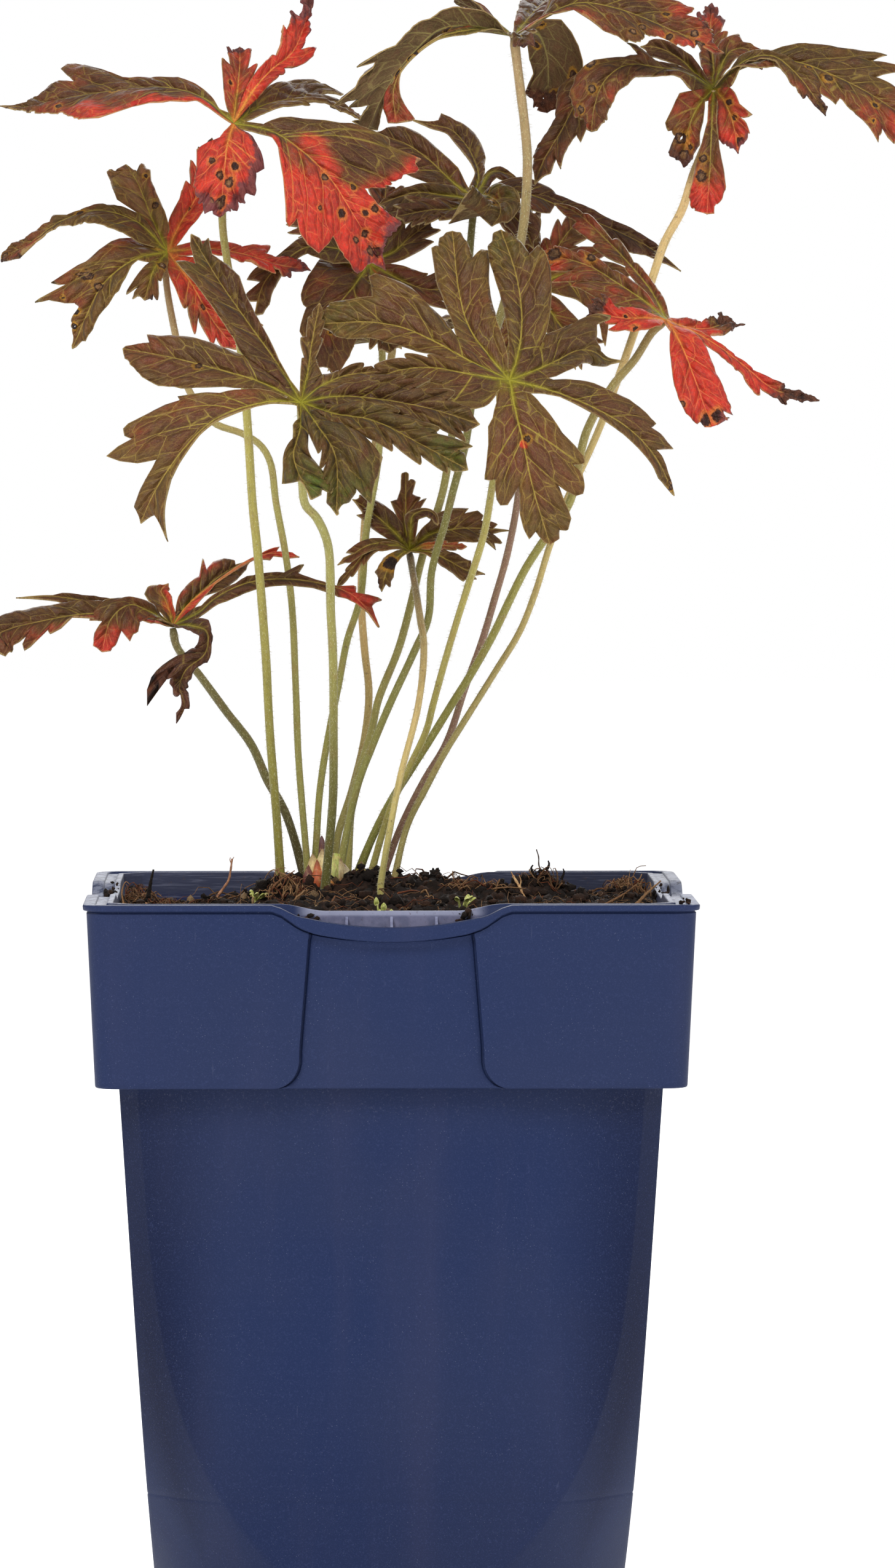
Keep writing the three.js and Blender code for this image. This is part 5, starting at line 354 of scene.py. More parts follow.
  dict(id='H4', P=[[55.85,-18.0,279.8],[48.95,-20.0,280.05],[42.91,-21.0,282.43]], n=[[-0.1,-0.75,0.6]], W=4.6, cup=0.15, T=[[[7.5,4.63],[14.94,2.85]],[[6.77,3.29],[11.38,4.33],[14.39,3.18]]], r=(0.95,0.9,1.0,0.3), g=(0,0), d=(0.3,0.1,0.8), k=0.1, sp=[(0.5,0.1,0.5,0),(0.3,-0.8,0.8,0)]),
  dict(id='H5', P=[[56.18,-10.0,283.37],[49.92,-5.0,287.73],[43.77,0.0,291.57],[33.52,5.0,294.35]], n=[[-0.1,-0.8,0.5],[-0.1,-0.85,0.4]], W=6.2, cup=0.15, T=[[[16.11,6.64],[22.56,6.51],[29.02,3.84]],[[14.88,2.71],[23.95,3.12],[33.01,3.18]]], r=(0.3,0.3,0.38,0.45), g=(0,0), d=(0.0,0.05,0.25), k=0.25, sp=[(0.62,0.6,1.1,0),(0.9,0.2,1.6,0)]),
  dict(id='H6', P=[[57.42,-3.0,286.15],[52.51,6.0,292.76],[47.48,13.0,298.3],[42.24,19.0,303.32],[37.21,24.0,305.88]], n=[[-0.2,-0.85,0.4]], W=2.2, cup=0.15, T=[[[21.37,1.58],[30.14,3.45],[38.9,3.52]],[[21.11,1.57],[29.44,2.07],[41.46,1.57]]], r=(0.28,0.3,0.3,0.35), g=(0,0), d=(0.1,0.1,0.3), k=0.45),
]),
# the darker tones (k) of this leaf are partly painted shade
'dark_centre': dict(hub=[19.57,30.0,307.12], n=[0.0,-0.55,0.83], res=0.62, web={}, L=[
  dict(id='I1', P=[[15.23,32.0,310.18],[9.79,35.0,315.46],[4.6,38.0,319.25],[-3.34,42.0,321.99]], n=[[-0.1,-0.9,0.4]], W=9, cup=0.15, T=[[[14.18,5.1],[18.89,5.0],[23.6,3.57]],[[10.79,6.47],[17.19,6.34],[23.6,4.53]]], ML=[[3.34,1.71],[6.07,3.61],[8.35,5.13],[9.83,6.08],[14.96,5.7],[21.11,4.18],[30.11,0.0]], MR=[[3.23,2.66],[6.87,3.23],[9.38,3.23],[12.22,3.42],[15.41,3.61],[18.94,3.61],[24.53,2.28],[30.11,0.19]], r=(0.14,0.1,0.2,0.05), g=(0,0), d=(0,0,0.15), k=0.72),
  dict(id='I2', P=[[16.79,28.0,307.07],[11.71,27.0,307.72],[6.91,26.0,308.24],[2.11,25.0,306.98],[-2.13,25.0,305.35]], n=[[-0.1,-0.85,0.5]], W=6, cup=0.15, T=[[[9.33,4.02],[13.4,5.92],[17.65,4.73]],[[7.05,7.32],[12.4,7.17],[17.74,1.0]]], ML=[[4.31,2.15],[6.76,2.91],[9.21,4.05],[13.76,3.93],[17.7,3.04],[23.12,0.0]], MR=[[4.49,2.91],[7.38,2.53],[12.1,1.9],[16.56,1.65],[21.37,0.89],[23.12,0.0]], r=(0.1,0.1,0.1,0.05), g=(0.12,0), d=(0,0,0.15), k=0.7),
  dict(id='I3', P=[[15.07,24.0,304.51],[9.55,20.0,304.14],[1.88,17.0,302.58]], n=[[-0.1,-0.8,0.5]], W=5.0, cup=0.15, T=[[[9.29,3.4],[12.34,3.92],[15.4,4.0]],[[8.15,3.29],[13.03,4.6],[18.18,3.28]]], r=(0.05,0.1,0.1,0.1), g=(0,0), d=(0,0,0.15), k=0.85),
  dict(id='I4', P=[[20.57,38.0,312.4],[19.73,44.0,316.01],[17.92,50.0,319.64],[14.67,54.0,323.08],[10.12,56.0,324.25],[6.26,58.0,325.29]], n=[[0.2,-0.85,0.4],[-0.1,-0.85,0.4]], W=6, cup=0.15, T=[[[14.62,3.99],[22.04,5.96],[30.91,4.01]],[[15.93,2.64],[29.22,3.11],[32.51,3.46]]], ML=[[9.79,0.76],[14.59,1.14],[19.53,1.65],[25.23,1.65],[31.07,1.14],[34.37,0.76],[39.61,0.0]], MR=[[11.89,1.77],[13.84,2.91],[17.73,3.29],[21.33,3.55],[24.63,3.04],[27.03,2.66],[29.12,3.29],[31.67,1.52],[36.02,0.63],[39.61,0.25]], r=(0.03,0.03,0.03,0.03), g=(0,0), d=(0,0,0.15), k=0.72),
  dict(id='I5', P=[[21.86,22.0,307.46],[24.69,15.0,305.39],[24.57,10.0,302.56],[22.95,10.0,300.4]], n=[[0.0,-0.9,0.4],[0.0,-0.98,0.1]], W=7, cup=0.9, T=[[[9.93,3.86],[13.53,4.54],[19.36,3.18]],[[9.93,5.04],[15.98,6.28],[22.03,6.41]]], ML=[[5.26,4.14],[9.37,3.69],[11.15,4.43],[13.86,4.29],[17.88,2.96],[24.7,0.0]], MR=[[11.52,8.28],[23.67,7.39],[6.76,7.09],[20.31,4.58],[24.7,1.48],[24.7,0.0]], r=(0.25,0.1,0.35,0.1), g=(0.45,0.2), d=(0,0,0.15), k=0.62, sp=[(0.3,-0.3,1.0,0),(0.45,0.25,1.3,1),(0.62,0.2,0.8,0)]),
  dict(id='I6', P=[[26.15,30.0,308.49],[32.38,32.0,307.72],[41.37,34.0,304.07],[52.08,37.0,299.61],[60.2,40.0,295.55],[66.23,42.0,291.04]], n=[[0.1,-0.8,0.55],[0.2,-0.85,0.5]], W=6, cup=0.15, T=[[[21.05,3.09],[28.38,3.63],[41.05,2.54]],[[21.05,2.64],[29.84,3.04],[38.63,3.11]]], ML=[[8.78,4.18],[10.76,3.93],[12.34,3.67],[15.32,2.53],[20.27,2.91],[25.22,2.53],[30.57,2.28],[36.12,2.41],[40.08,1.9],[44.24,1.65],[43.64,0.63],[47.41,0.38],[52.36,0.0]], MR=[[9.17,2.15],[9.37,5.19],[13.73,3.29],[19.08,0.0],[22.45,0.76],[25.02,2.28],[27.6,3.42],[29.78,4.05],[34.73,3.55],[39.88,2.41],[45.82,1.77],[52.36,0.0]], r=(0.05,0.0,0.1,0.05), g=(0,0), d=(0,0,0.15), k=0.95),
  dict(id='I7', P=[[26.28,24.0,304.24],[30.03,21.0,300.64],[32.46,20.0,295.72]], n=[[0.2,-0.9,0.3]], W=5, cup=0.15, T=[[[7.61,3.2],[11.86,4.65],[16.08,3.61]],[[8.44,2.91],[14.37,3.43]]], ML=[[9.32,2.32],[8.37,4.43],[10.67,4.12],[14.64,2.74],[21.0,0.0]], MR=[[7.57,1.69],[8.84,3.38],[13.37,2.96],[17.42,1.9],[21.0,0.0]], r=(0.05,0.1,0.1,0.1), g=(0,0), d=(0,0,0.15), k=0.85),
  dict(id='I8', P=[[21.4,32.0,310.18],[23.5,34.0,312.97],[27.4,36.0,312.48],[30.43,36.0,310.56]], n=[[0.0,-0.9,0.4],[0.0,-0.9,0.4]], W=4, cup=0.8, T=[[[5.84,2.65],[8.99,3.32],[12.53,2.65]],[[6.12,2.49],[8.94,3.87],[12.75,3.12]]], ML=[[4.49,1.1],[4.8,3.46],[5.16,3.38],[8.65,1.52],[12.08,0.68],[16.19,0.0]], MR=[[4.18,1.69],[6.51,2.79],[12.45,1.86],[16.19,0.0]], r=(0.05,0.1,0.1,0.1), g=(0,0), d=(0.2,0.1,0.2), k=1.0),
]),
'brown_behind_right': dict(hub=[33.06,22.0,286.76], n=[0.1,-0.8,0.6], res=0.65, web={}, L=[
  dict(id='J1', P=[[37.57,22.0,289.49],[43.79,24.0,290.2],[50.7,26.0,287.5],[54.54,26.0,281.08]], n=[[0.1,-0.95,0.3],[0.2,-0.95,0.2]], W=10.5, cup=0.15, T=[[[8.43,6.8],[13.09,4.87],[21.25,4.76]],[[11.8,9.71],[17.02,9.51],[22.25,4.87]]], r=(0.26,0.2,0.25,0.2), g=(0,0), d=(0,0,0.15), k=0.3, sp=[(0.5,0.3,0.8,0),(0.7,-0.1,0.5,0)]),
  dict(id='J2', P=[[35.58,24.0,292.25],[39.12,28.0,297.78],[43.43,34.0,303.11]], n=[[0.1,-0.9,0.4]], W=7.5, cup=0.15, T=[[[7.72,3.69],[12.91,3.62],[18.09,2.59]],[[9.28,3.9],[12.92,4.59],[18.09,3.21]]], r=(0.3,0.3,0.3,0.2), g=(0,0), d=(0,0,0.15), k=0.35),
  dict(id='J3', P=[[31.26,26.0,292.28],[30.32,32.0,299.23],[28.47,40.0,305.58]], n=[[0.0,-0.85,0.5]], W=6.0, cup=0.15, T=[[[9.58,4.01],[15.78,4.98],[20.91,4.45]],[[10.63,3.93],[15.2,5.5],[20.57,4.38]]], r=(0.28,0.2,0.2,0.2), g=(0,0), d=(0,0,0.15), k=0.42),
  dict(id='J4', P=[[35.47,20.0,282.65],[40.25,20.0,276.52],[44.82,22.0,272.44]], n=[[0.1,-0.9,0.4]], W=6.0, cup=0.15, T=[[[6.9,3.89],[10.92,4.97],[14.51,4.69]],[[7.51,3.94],[10.66,5.54],[14.54,4.09]]], r=(0.28,0.2,0.2,0.2), g=(0,0), d=(0,0,0.15), k=0.42),
  dict(id='J5', P=[[30.01,20.0,282.64],[27.28,20.0,275.83],[26.24,22.0,270.39]], n=[[0.0,-0.9,0.4]], W=6.0, cup=0.15, T=[[[6.71,3.77],[10.15,5.95],[13.83,4.14]],[[7.52,4.31],[10.68,5.78],[14.92,4.2]]], r=(0.28,0.2,0.2,0.2), g=(0,0), d=(0,0,0.15), k=0.42),
]),
# the darker tones (k) of this leaf are partly painted shade
'brown_behind_left': dict(hub=[-4.06,24.0,292.51], n=[-0.05,-0.75,0.66], res=0.65, web={}, L=[
  dict(id='K1', P=[[-9.54,20.0,295.16],[-17.72,17.0,295.91],[-23.16,16.0,292.36],[-27.24,15.0,288.0],[-29.42,14.0,280.8]], n=[[-0.1,-0.93,0.3],[-0.2,-0.93,0.2]], W=6.5, cup=0.15, T=[[[14.59,4.68],[24.41,9.63],[35.38,3.3]],[[14.59,3.46],[19.18,3.99],[23.76,4.07]]], ML=[[8.42,3.98],[14.74,1.37],[18.44,1.23],[21.6,1.65],[24.62,2.61],[30.25,2.61],[35.61,1.78],[36.3,0.0]], MR=[[8.97,2.61],[12.54,2.61],[16.25,2.2],[21.33,2.2],[22.7,3.71],[24.35,3.84],[27.78,0.82],[27.1,2.74],[28.33,3.16],[32.18,1.78],[30.67,0.41],[33.82,0.14],[36.3,0.0]], r=(0.05,0.05,0.05,0.05), g=(0,0), d=(0,0,0.12), k=0.72),
  dict(id='K2', P=[[-6.83,18.0,288.05],[-11.21,14.0,282.57],[-15.03,12.0,276.44],[-16.66,11.0,268.71]], n=[[-0.1,-0.95,0.3]], W=9, cup=0.15, T=[[[9.4,9.2],[17.02,9.02],[24.65,5.58]],[[13.87,6.2],[17.7,6.07],[21.52,2.91]]], ML=[[8.01,6.08],[9.55,8.36],[16.45,7.79],[28.7,4.37],[31.44,0.0]], MR=[[0.63,8.36],[3.61,10.26],[8.13,9.31],[9.55,8.36],[11.81,5.7],[18.12,4.37],[21.09,3.04],[31.44,1.14],[31.44,0.0]], r=(0.16,0.14,0.16,0.12), g=(0,0), d=(0,0,0.12), k=0.5, sp=[(0.6,-0.3,0.7,0)]),
  dict(id='K3', P=[[-9.5,27.0,297.06],[-14.96,30.0,301.22],[-20.44,33.0,304.02]], n=[[-0.1,-0.85,0.5]], W=7.0, cup=0.15, T=[[[10.33,5.16],[13.77,5.06],[17.2,3.61]],[[7.72,4.97],[12.14,6.5],[16.96,4.58]]], r=(0.26,0.25,0.25,0.22), g=(0,0), d=(0,0,0.12), k=0.9),
  dict(id='K4', P=[[1.43,26.0,295.0],[4.88,28.0,298.04],[9.72,31.0,301.66]], n=[[0.1,-0.85,0.5]], W=8.0, cup=0.15, T=[[[7.53,4.61],[14.14,3.23]],[[8.82,4.37],[14.14,3.06]]], r=(0.15,0.15,0.15,0.15), g=(0,0), d=(0,0,0.12), k=0.75),
  dict(id='K5', P=[[-1.95,30.0,297.81],[-0.51,36.0,304.79],[-0.03,42.0,310.43]], n=[[0.0,-0.8,0.6]], W=6.0, cup=0.15, T=[[[9.45,4.23],[15.26,5.44],[20.05,4.23]],[[9.1,4.33],[14.08,5.15],[19.84,4.12]]], r=(0.26,0.25,0.25,0.22), g=(0,0), d=(0,0,0.12), k=0.9),
  dict(id='K6', P=[[1.39,22.0,289.48],[8.18,20.0,286.72],[15.27,20.0,286.73]], n=[[0.1,-0.9,0.4]], W=8.0, cup=0.15, T=[[[8.52,3.92],[12.24,4.61],[16.6,3.23]],[[8.52,4.33],[12.86,5.09],[16.6,3.57]]], r=(0.26,0.25,0.25,0.22), g=(0,0), d=(0,0,0.12), k=0.9),
  dict(id='K7', P=[[-2.48,18.0,285.33],[-0.75,14.0,278.5],[0.59,12.0,272.38]], n=[[0.1,-0.95,0.3]], W=7.0, cup=0.15, T=[[[9.68,4.39],[12.65,5.06],[15.61,5.16]],[[9.68,3.86],[13.0,4.45],[16.33,4.54]]], r=(0.3,0.5,0.1,0.1), g=(0,0), d=(0,0,0.12), k=0.55),
]),
'front_right': dict(hub=[25.49,-45.0,266.24], n=[0.02,-0.92,0.38], res=0.46, web={'E1 E3': 16, 'E1 E2': 11, 'E3 E4': 3.0, 'E4 E5': 12.5, 'E5 E6': 9, 'E2 E7': 4.5, 'E6 E7': 5.0}, L=[
  dict(id='E1', P=[[17.74,-44.0,270.06],[9.35,-42.0,274.67],[2.65,-40.0,277.59],[-4.59,-38.0,278.79],[-15.14,-34.0,278.43]], n=[[0.0,-0.95,0.3],[-0.15,-0.95,0.3]], W=5.8, cup=0.15, T=[[[18.69,5.39],[23.47,5.29],[28.25,5.39]],[[21.35,9.28],[32.76,4.89],[43.64,2.35]]], ML=[[9.37,2.82],[11.23,2.45],[13.77,2.69],[15.63,3.67],[18.68,4.29],[23.09,4.29],[27.32,3.8],[32.57,3.92],[39.52,2.57],[44.43,0.73],[44.77,1.22]], MR=[[11.23,4.78],[12.42,5.88],[13.77,6.73],[13.77,9.18],[16.31,10.04],[18.51,10.9],[20.72,10.04],[23.26,7.71],[25.63,5.75],[29.69,5.27],[34.1,4.9],[42.9,3.92],[44.77,1.22]], r=(0.03,0.05,0.05,0.03), g=(0.05,0.45), d=(0,0,0.04), k=0.1, q=0.3),
  dict(id='E2', P=[[16.35,-48.0,267.67],[8.45,-49.0,268.98],[0.58,-48.0,268.07],[-7.29,-45.0,263.35]], n=[[0.0,-0.93,0.35],[-0.15,-0.95,0.2]], W=5.6, cup=0.15, T=[[[8.48,8.96],[16.03,6.52],[27.73,3.47]],[[14.22,2.92],[17.92,3.44],[24.21,3.27]]], r=(0.03,0.05,0.05,0.03), g=(0.05,0.1), d=(0,0,0.04), k=0.2, q=0.35),
  dict(id='E3', P=[[20.71,-41.0,272.05],[16.85,-36.0,278.02],[14.85,-30.0,286.03],[13.67,-22.0,298.64]], n=[[0.0,-0.93,0.35],[0.0,-0.97,0.2]], W=5.6, cup=0.15, T=[[[16.98,4.03],[23.39,6.85],[31.65,4.9]],[[16.98,3.75],[25.64,4.41],[29.15,6.04]]], ML=[[13.47,3.07],[16.35,2.96],[20.02,3.66],[23.38,4.37],[28.01,4.61],[31.36,4.85],[34.24,3.31],[39.83,2.96],[41.91,1.54],[42.23,0.12]], MR=[[4.04,2.6],[6.92,4.26],[8.84,5.32],[11.23,6.38],[15.55,6.5],[20.5,6.86],[24.33,7.45],[26.89,7.21],[29.13,5.91],[28.65,4.97],[27.53,4.14],[29.77,3.78],[37.12,2.84],[41.59,1.89],[42.23,0.12]], r=(0.03,0.05,0.05,0.03), g=(0.03,0.22), d=(0,0,0.04), k=-0.06, q=0.28),
  dict(id='E4', P=[[27.31,-41.0,271.39],[28.36,-36.0,279.34],[27.33,-30.0,288.68],[24.15,-24.0,298.87]], n=[[0.0,-0.93,0.35],[0.05,-0.97,0.2]], W=5.8, cup=0.15, T=[[[15.86,3.44],[27.7,4.04],[38.46,1.0]],[[16.24,7.93],[23.26,7.08],[30.93,3.6]]], ML=[[5.12,1.71],[8.85,2.45],[11.69,3.31],[16.02,4.04],[21.54,4.53],[27.06,4.53],[31.09,3.92],[39.15,1.96],[39.45,0.12]], MR=[[9.75,5.39],[11.39,6.12],[13.48,6.86],[16.91,7.47],[20.65,7.35],[24.23,6.61],[26.17,4.16],[30.8,3.31],[37.81,1.96],[39.45,0.12]], r=(0.03,0.05,0.05,0.03), g=(0.04,0.45), d=(0,0,0.04), k=0.28, q=0.3),
  dict(id='E5', P=[[31.18,-44.0,268.48],[35.62,-41.0,270.47],[40.34,-38.0,272.73],[43.72,-36.0,272.48],[46.57,-34.0,270.77],[50.36,-32.0,270.39]], n=[[0.05,-0.93,0.35],[0.2,-0.9,0.3]], W=6.8, cup=0.15, T=[[[10.04,9.27],[23.52,4.22]],[[10.22,5.03],[19.73,4.93],[29.25,1.0]]], ML=[[8.66,6.6],[9.69,6.03],[10.48,6.03],[10.37,7.46],[9.91,9.19],[10.37,8.9],[13.55,5.89],[18.09,2.87],[22.29,1.0],[26.37,0.57],[30.01,0.14]], MR=[[7.07,3.16],[7.3,3.3],[8.89,3.3],[10.25,3.45],[20.02,2.58],[26.49,0.72],[30.01,0.0]], r=(0.03,0.05,0.05,0.03), g=(0.1,0.6), d=(0,0,0.04), k=0.55, q=0.9),
  dict(id='E6', P=[[32.81,-47.0,264.53],[41.98,-48.0,261.11],[50.58,-47.0,256.25],[56.59,-45.0,250.06],[61.0,-41.0,241.59]], n=[[0.08,-0.9,0.4],[0.25,-0.9,0.2]], W=5.8, cup=0.15, T=[[[20.85,5.39],[26.94,6.07],[32.19,4.72]],[[16.15,4.72],[24.73,5.22],[36.56,3.6]]], ML=[[7.82,2.94],[9.05,3.67],[11.17,4.53],[13.64,5.39],[17.35,5.75],[21.23,5.51],[24.76,5.14],[26.52,3.8],[27.93,4.53],[30.05,4.65],[31.46,4.9],[33.93,1.35],[36.05,1.47],[39.05,1.1],[43.81,0.73],[46.63,0.12]], MR=[[5.52,2.08],[7.99,1.22],[10.99,0.73],[14.88,0.98],[19.11,1.35],[23.17,1.84],[27.4,1.96],[31.64,1.71],[35.52,1.59],[39.75,1.59],[44.16,0.73],[46.63,0.12]], r=(0.03,0.05,0.05,0.03), g=(0.04,0.2), d=(0,0,0.12), k=0.34, sp=[(0.93,-0.7,0.7,0),(0.955,0.1,0.6,0)], q=0.35),
  dict(id='E7', P=[[26.55,-50.0,260.19],[28.05,-53.0,253.65],[30.12,-54.0,243.83],[33.99,-52.0,231.09]], n=[[0.0,-0.97,0.25],[0.02,-0.99,-0.05]], W=9.8, cup=0.15, T=[[[11.11,12.08],[16.85,9.69],[23.28,7.89],[31.08,4.3]],[[11.57,9.69],[18.0,6.99],[29.71,4.3]]], ML=[[4.59,3.93],[7.22,5.59],[8.69,7.24],[9.71,8.48],[10.15,10.55],[10.59,12.21],[11.03,12.0],[11.91,9.52],[12.2,10.97],[13.37,10.76],[16.16,9.93],[18.5,8.28],[19.09,6.62],[18.65,5.38],[21.87,5.59],[24.21,6.0],[26.41,6.0],[30.22,4.76],[33.73,2.9],[37.98,2.28],[38.71,0.0]], MR=[[3.41,3.31],[5.9,3.72],[7.81,5.17],[8.39,6.62],[9.71,7.45],[10.88,8.69],[11.47,9.72],[12.79,7.45],[13.67,7.86],[14.98,8.07],[16.89,7.65],[19.23,6.21],[20.26,4.34],[20.26,2.69],[22.75,3.1],[24.65,4.14],[27.58,4.34],[30.8,3.93],[32.71,2.07],[35.49,1.66],[37.83,1.03],[38.71,0.0]], r=(0.1,0.06,0.06,0.0), g=(0.0,0.22), d=(0,0,0.04), k=-0.12, sp=[(0.36,-0.1,0.75,0)], rp=(0.42,0.0,1.2), q=0.3),
]),
'front_left': dict(hub=[-19.13,-52.0,261.5], n=[-0.08,-0.86,0.5], res=0.48, web={'D1 D2': 17, 'D2 D3': 3, 'D4 D9': 9, 'D4 D5': 10, 'D5 D6': 13, 'D6 D7': 12, 'D3 D7': 2, 'D8 D9': 10, 'D1 D8': 1.6}, L=[
  # D1: ke darkens the right half, painted shade of the fold
  dict(id='D1', P=[[-24.38,-48.0,270.03],[-30.96,-43.0,279.26],[-36.92,-38.0,287.88],[-42.79,-32.0,297.75]], n=[[-0.05,-0.93,0.4],[-0.1,-0.93,0.3]], W=5.2, cup=0.6, T=[[[19.1,3.74],[26.09,5.81],[33.07,5.93]],[[19.1,3.74],[24.34,5.03],[40.11,2.94]]], ML=[[11.38,5.27],[13.54,4.83],[18.57,4.83],[23.78,4.72],[28.63,4.94],[31.15,5.6],[33.31,6.15],[35.28,4.39],[36.54,2.52],[39.6,2.09],[45.17,1.32],[47.5,0.22]], MR=[[2.21,0.88],[5.63,0.55],[10.48,0.77],[14.61,1.65],[20.01,2.31],[24.14,3.07],[26.66,4.06],[32.05,3.29],[38.52,1.65],[43.01,2.85],[42.65,0.99],[45.89,1.1],[47.5,0.22]], r=(0.03,0.08,0.08,0.05), g=(0.05,0.35), d=(0,0,0.06), k=0.55, q=0.32, ke=(0,0.75)),
  dict(id='D2', P=[[-27.64,-52.0,265.82],[-37.48,-51.0,268.71],[-46.67,-49.0,271.07],[-57.23,-46.0,273.06]], n=[[-0.1,-0.85,0.5],[-0.2,-0.85,0.4]], W=6.0, cup=0.15, T=[[[16.29,4.32],[24.84,9.6],[37.58,3.98]],[[16.29,4.13],[25.57,4.86],[31.09,3.98]]], ML=[[3.27,0.38],[6.64,1.39],[10.01,2.79],[12.16,3.8],[13.38,5.32],[15.84,6.71],[20.28,7.22],[25.65,6.21],[31.78,3.93],[39.29,2.28],[40.52,0.63]], MR=[[10.78,5.19],[11.39,5.32],[14.15,5.45],[18.75,5.45],[25.03,4.94],[30.55,4.31],[31.78,2.66],[36.84,1.77],[40.52,0.63]], r=(0.04,0.06,0.1,0.22), g=(0.05,0.0), d=(0,0,0.06), k=0.28, sp=[(0.55,-0.1,0.8,0)], q=0.32),
  dict(id='D3', P=[[-26.98,-55.0,261.5],[-37.43,-57.0,257.98],[-44.62,-57.0,251.06],[-50.29,-55.0,242.55],[-53.37,-52.0,235.83]], n=[[-0.1,-0.9,0.4],[-0.2,-0.93,0.2]], W=8.0, cup=0.15, T=[[[19.27,5.35],[25.41,6.3],[39.91,7.5]],[[15.47,12.8],[21.72,12.8],[37.57,4.96]]], ML=[[2.96,0.34],[7.13,0.34],[11.12,0.68],[15.47,0.68],[19.46,0.51],[23.81,0.51],[27.08,0.84],[30.52,1.18],[33.61,1.69],[35.42,2.7],[37.05,3.88],[39.95,7.26],[42.85,2.53],[47.93,0.17]], MR=[[6.22,2.53],[8.58,3.72],[10.03,4.39],[11.3,4.9],[11.66,6.76],[11.3,9.12],[11.84,9.12],[12.39,8.28],[12.75,9.46],[13.66,11.32],[14.02,13.0],[14.75,13.34],[17.47,11.99],[19.46,10.3],[20.0,11.82],[21.27,13.0],[24.72,10.13],[28.16,6.42],[29.43,3.38],[31.61,3.21],[36.14,3.04],[44.49,2.87],[47.93,0.17]], r=(0.05,0.02,0.22,0.02), g=(0.06,0.08), d=(0,0,0.06), k=-0.08, q=0.32),
  dict(id='D4', P=[[-11.29,-56.0,262.81],[-2.16,-59.0,262.15],[8.27,-60.0,260.2],[18.74,-59.0,256.94]], n=[[0.05,-0.9,0.45],[0.1,-0.93,0.3]], W=7.6, cup=0.15, T=[[[14.35,6.01],[18.39,6.69],[25.52,5.33]],[[14.11,5.44],[23.34,7.6],[30.98,5.18]]], r=(0.03,0.08,0.08,0.05), g=(0.06,0.2), d=(0,0,0.06), k=0.64, q=1.0),
  dict(id='D5', P=[[-12.61,-59.0,259.28],[-3.51,-63.0,257.6],[5.6,-64.0,253.04],[16.17,-63.0,247.31]], n=[[0.05,-0.93,0.35],[0.1,-0.95,0.2]], W=7.8, cup=0.15, T=[[[16.93,4.43],[25.5,5.11],[34.07,5.22]],[[19.59,4.75],[26.58,4.28],[35.07,3.11]]], r=(0.03,0.08,0.08,0.05), g=(0.22,0.75), d=(0,0,0.06), k=0.5, q=1.2),
  dict(id='D6', P=[[-15.88,-61.0,256.94],[-11.99,-65.0,250.45],[-11.6,-64.0,237.69]], n=[[0.0,-0.95,0.25],[0.0,-0.98,0.0]], W=6.0, cup=0.15, T=[[[12.9,4.32],[19.67,6.97],[24.62,1.7]],[[12.9,3.24],[16.76,3.73],[20.62,3.81]]], ML=[[9.5,11.4],[10.23,9.75],[11.2,8.87],[13.39,7.98],[16.67,7.47],[19.21,7.35],[20.06,5.83],[19.82,4.18],[21.76,3.93],[27.47,2.03],[31.23,0.25],[31.96,0.38]], r=(0.03,0.08,0.08,0.05), g=(0.25,0.8), d=(0,0,0.06), k=0.6, q=1.3),
  dict(id='D7', P=[[-19.4,-60.0,255.64],[-20.71,-64.0,249.79],[-16.94,-65.0,241.08]], n=[[-0.1,-0.95,0.25],[0.0,-0.98,0.0]], W=5.4, cup=0.15, T=[[[10.74,3.89],[14.03,4.65],[17.33,4.74]],[[10.74,3.37],[15.9,3.96]]], ML=[[18.32,5.59],[26.71,2.28],[26.71,0.23]], MR=[[1.04,1.03],[5.79,0.46],[7.31,1.6],[11.45,0.91],[13.27,1.94],[14.89,2.62],[15.49,4.1],[19.33,1.82],[21.56,0.46],[24.08,0.0],[26.71,0.23]], r=(0.03,0.08,0.08,0.05), g=(0.3,1.0), d=(0,0,0.06), k=0.45, q=1.2),
  dict(id='D8', P=[[-17.81,-46.0,267.42],[-16.87,-40.0,274.03],[-15.14,-34.0,282.92]], n=[[0.0,-0.9,0.4]], W=2.6, cup=0.15, T=[[[10.85,1.66],[15.38,2.55],[21.81,1.81]],[[10.57,1.62],[16.61,2.16],[21.53,1.86]]], r=(0.03,0.08,0.08,0.05), g=(0.1,0.15), d=(0,0,0.06), k=0.3),
  dict(id='D9', P=[[-15.2,-52.0,264.78],[-9.93,-48.0,267.15],[-2.27,-44.0,268.21]], n=[[0.0,-0.8,0.55]], W=4.0, cup=0.15, T=[[[8.38,2.35],[14.01,2.76]],[[7.88,2.85],[12.06,3.39],[16.53,2.85]]], r=(0.03,0.08,0.08,0.05), g=(0.1,0.1), d=(0,0,0.06), k=0.25),
]),
'small_centre': dict(hub=[4.82,14.0,228.76], n=[0.0,-0.71,0.71], res=0.42, web={}, L=[
  dict(id='M1', P=[[2.64,14.0,231.61],[-0.75,15.0,235.0],[-4.15,16.0,237.71],[-7.69,16.0,240.16]], n=[[-0.1,-0.9,0.4]], W=5.5, cup=0.15, T=[[[5.85,3.39],[13.47,2.37]],[[5.24,4.98],[13.47,3.41]]], ML=[[2.88,2.32],[4.64,2.55],[6.2,2.67],[8.99,2.44],[11.01,2.55],[11.01,1.39],[14.0,0.81],[17.18,0.0]], MR=[[2.95,1.86],[4.18,2.9],[5.35,3.25],[7.17,3.25],[10.68,2.67],[14.78,1.74],[17.18,0.0]], r=(0.05,0.08,0.08,0.05), g=(0,0), d=(0.05,0.05,0.25), k=0.75),
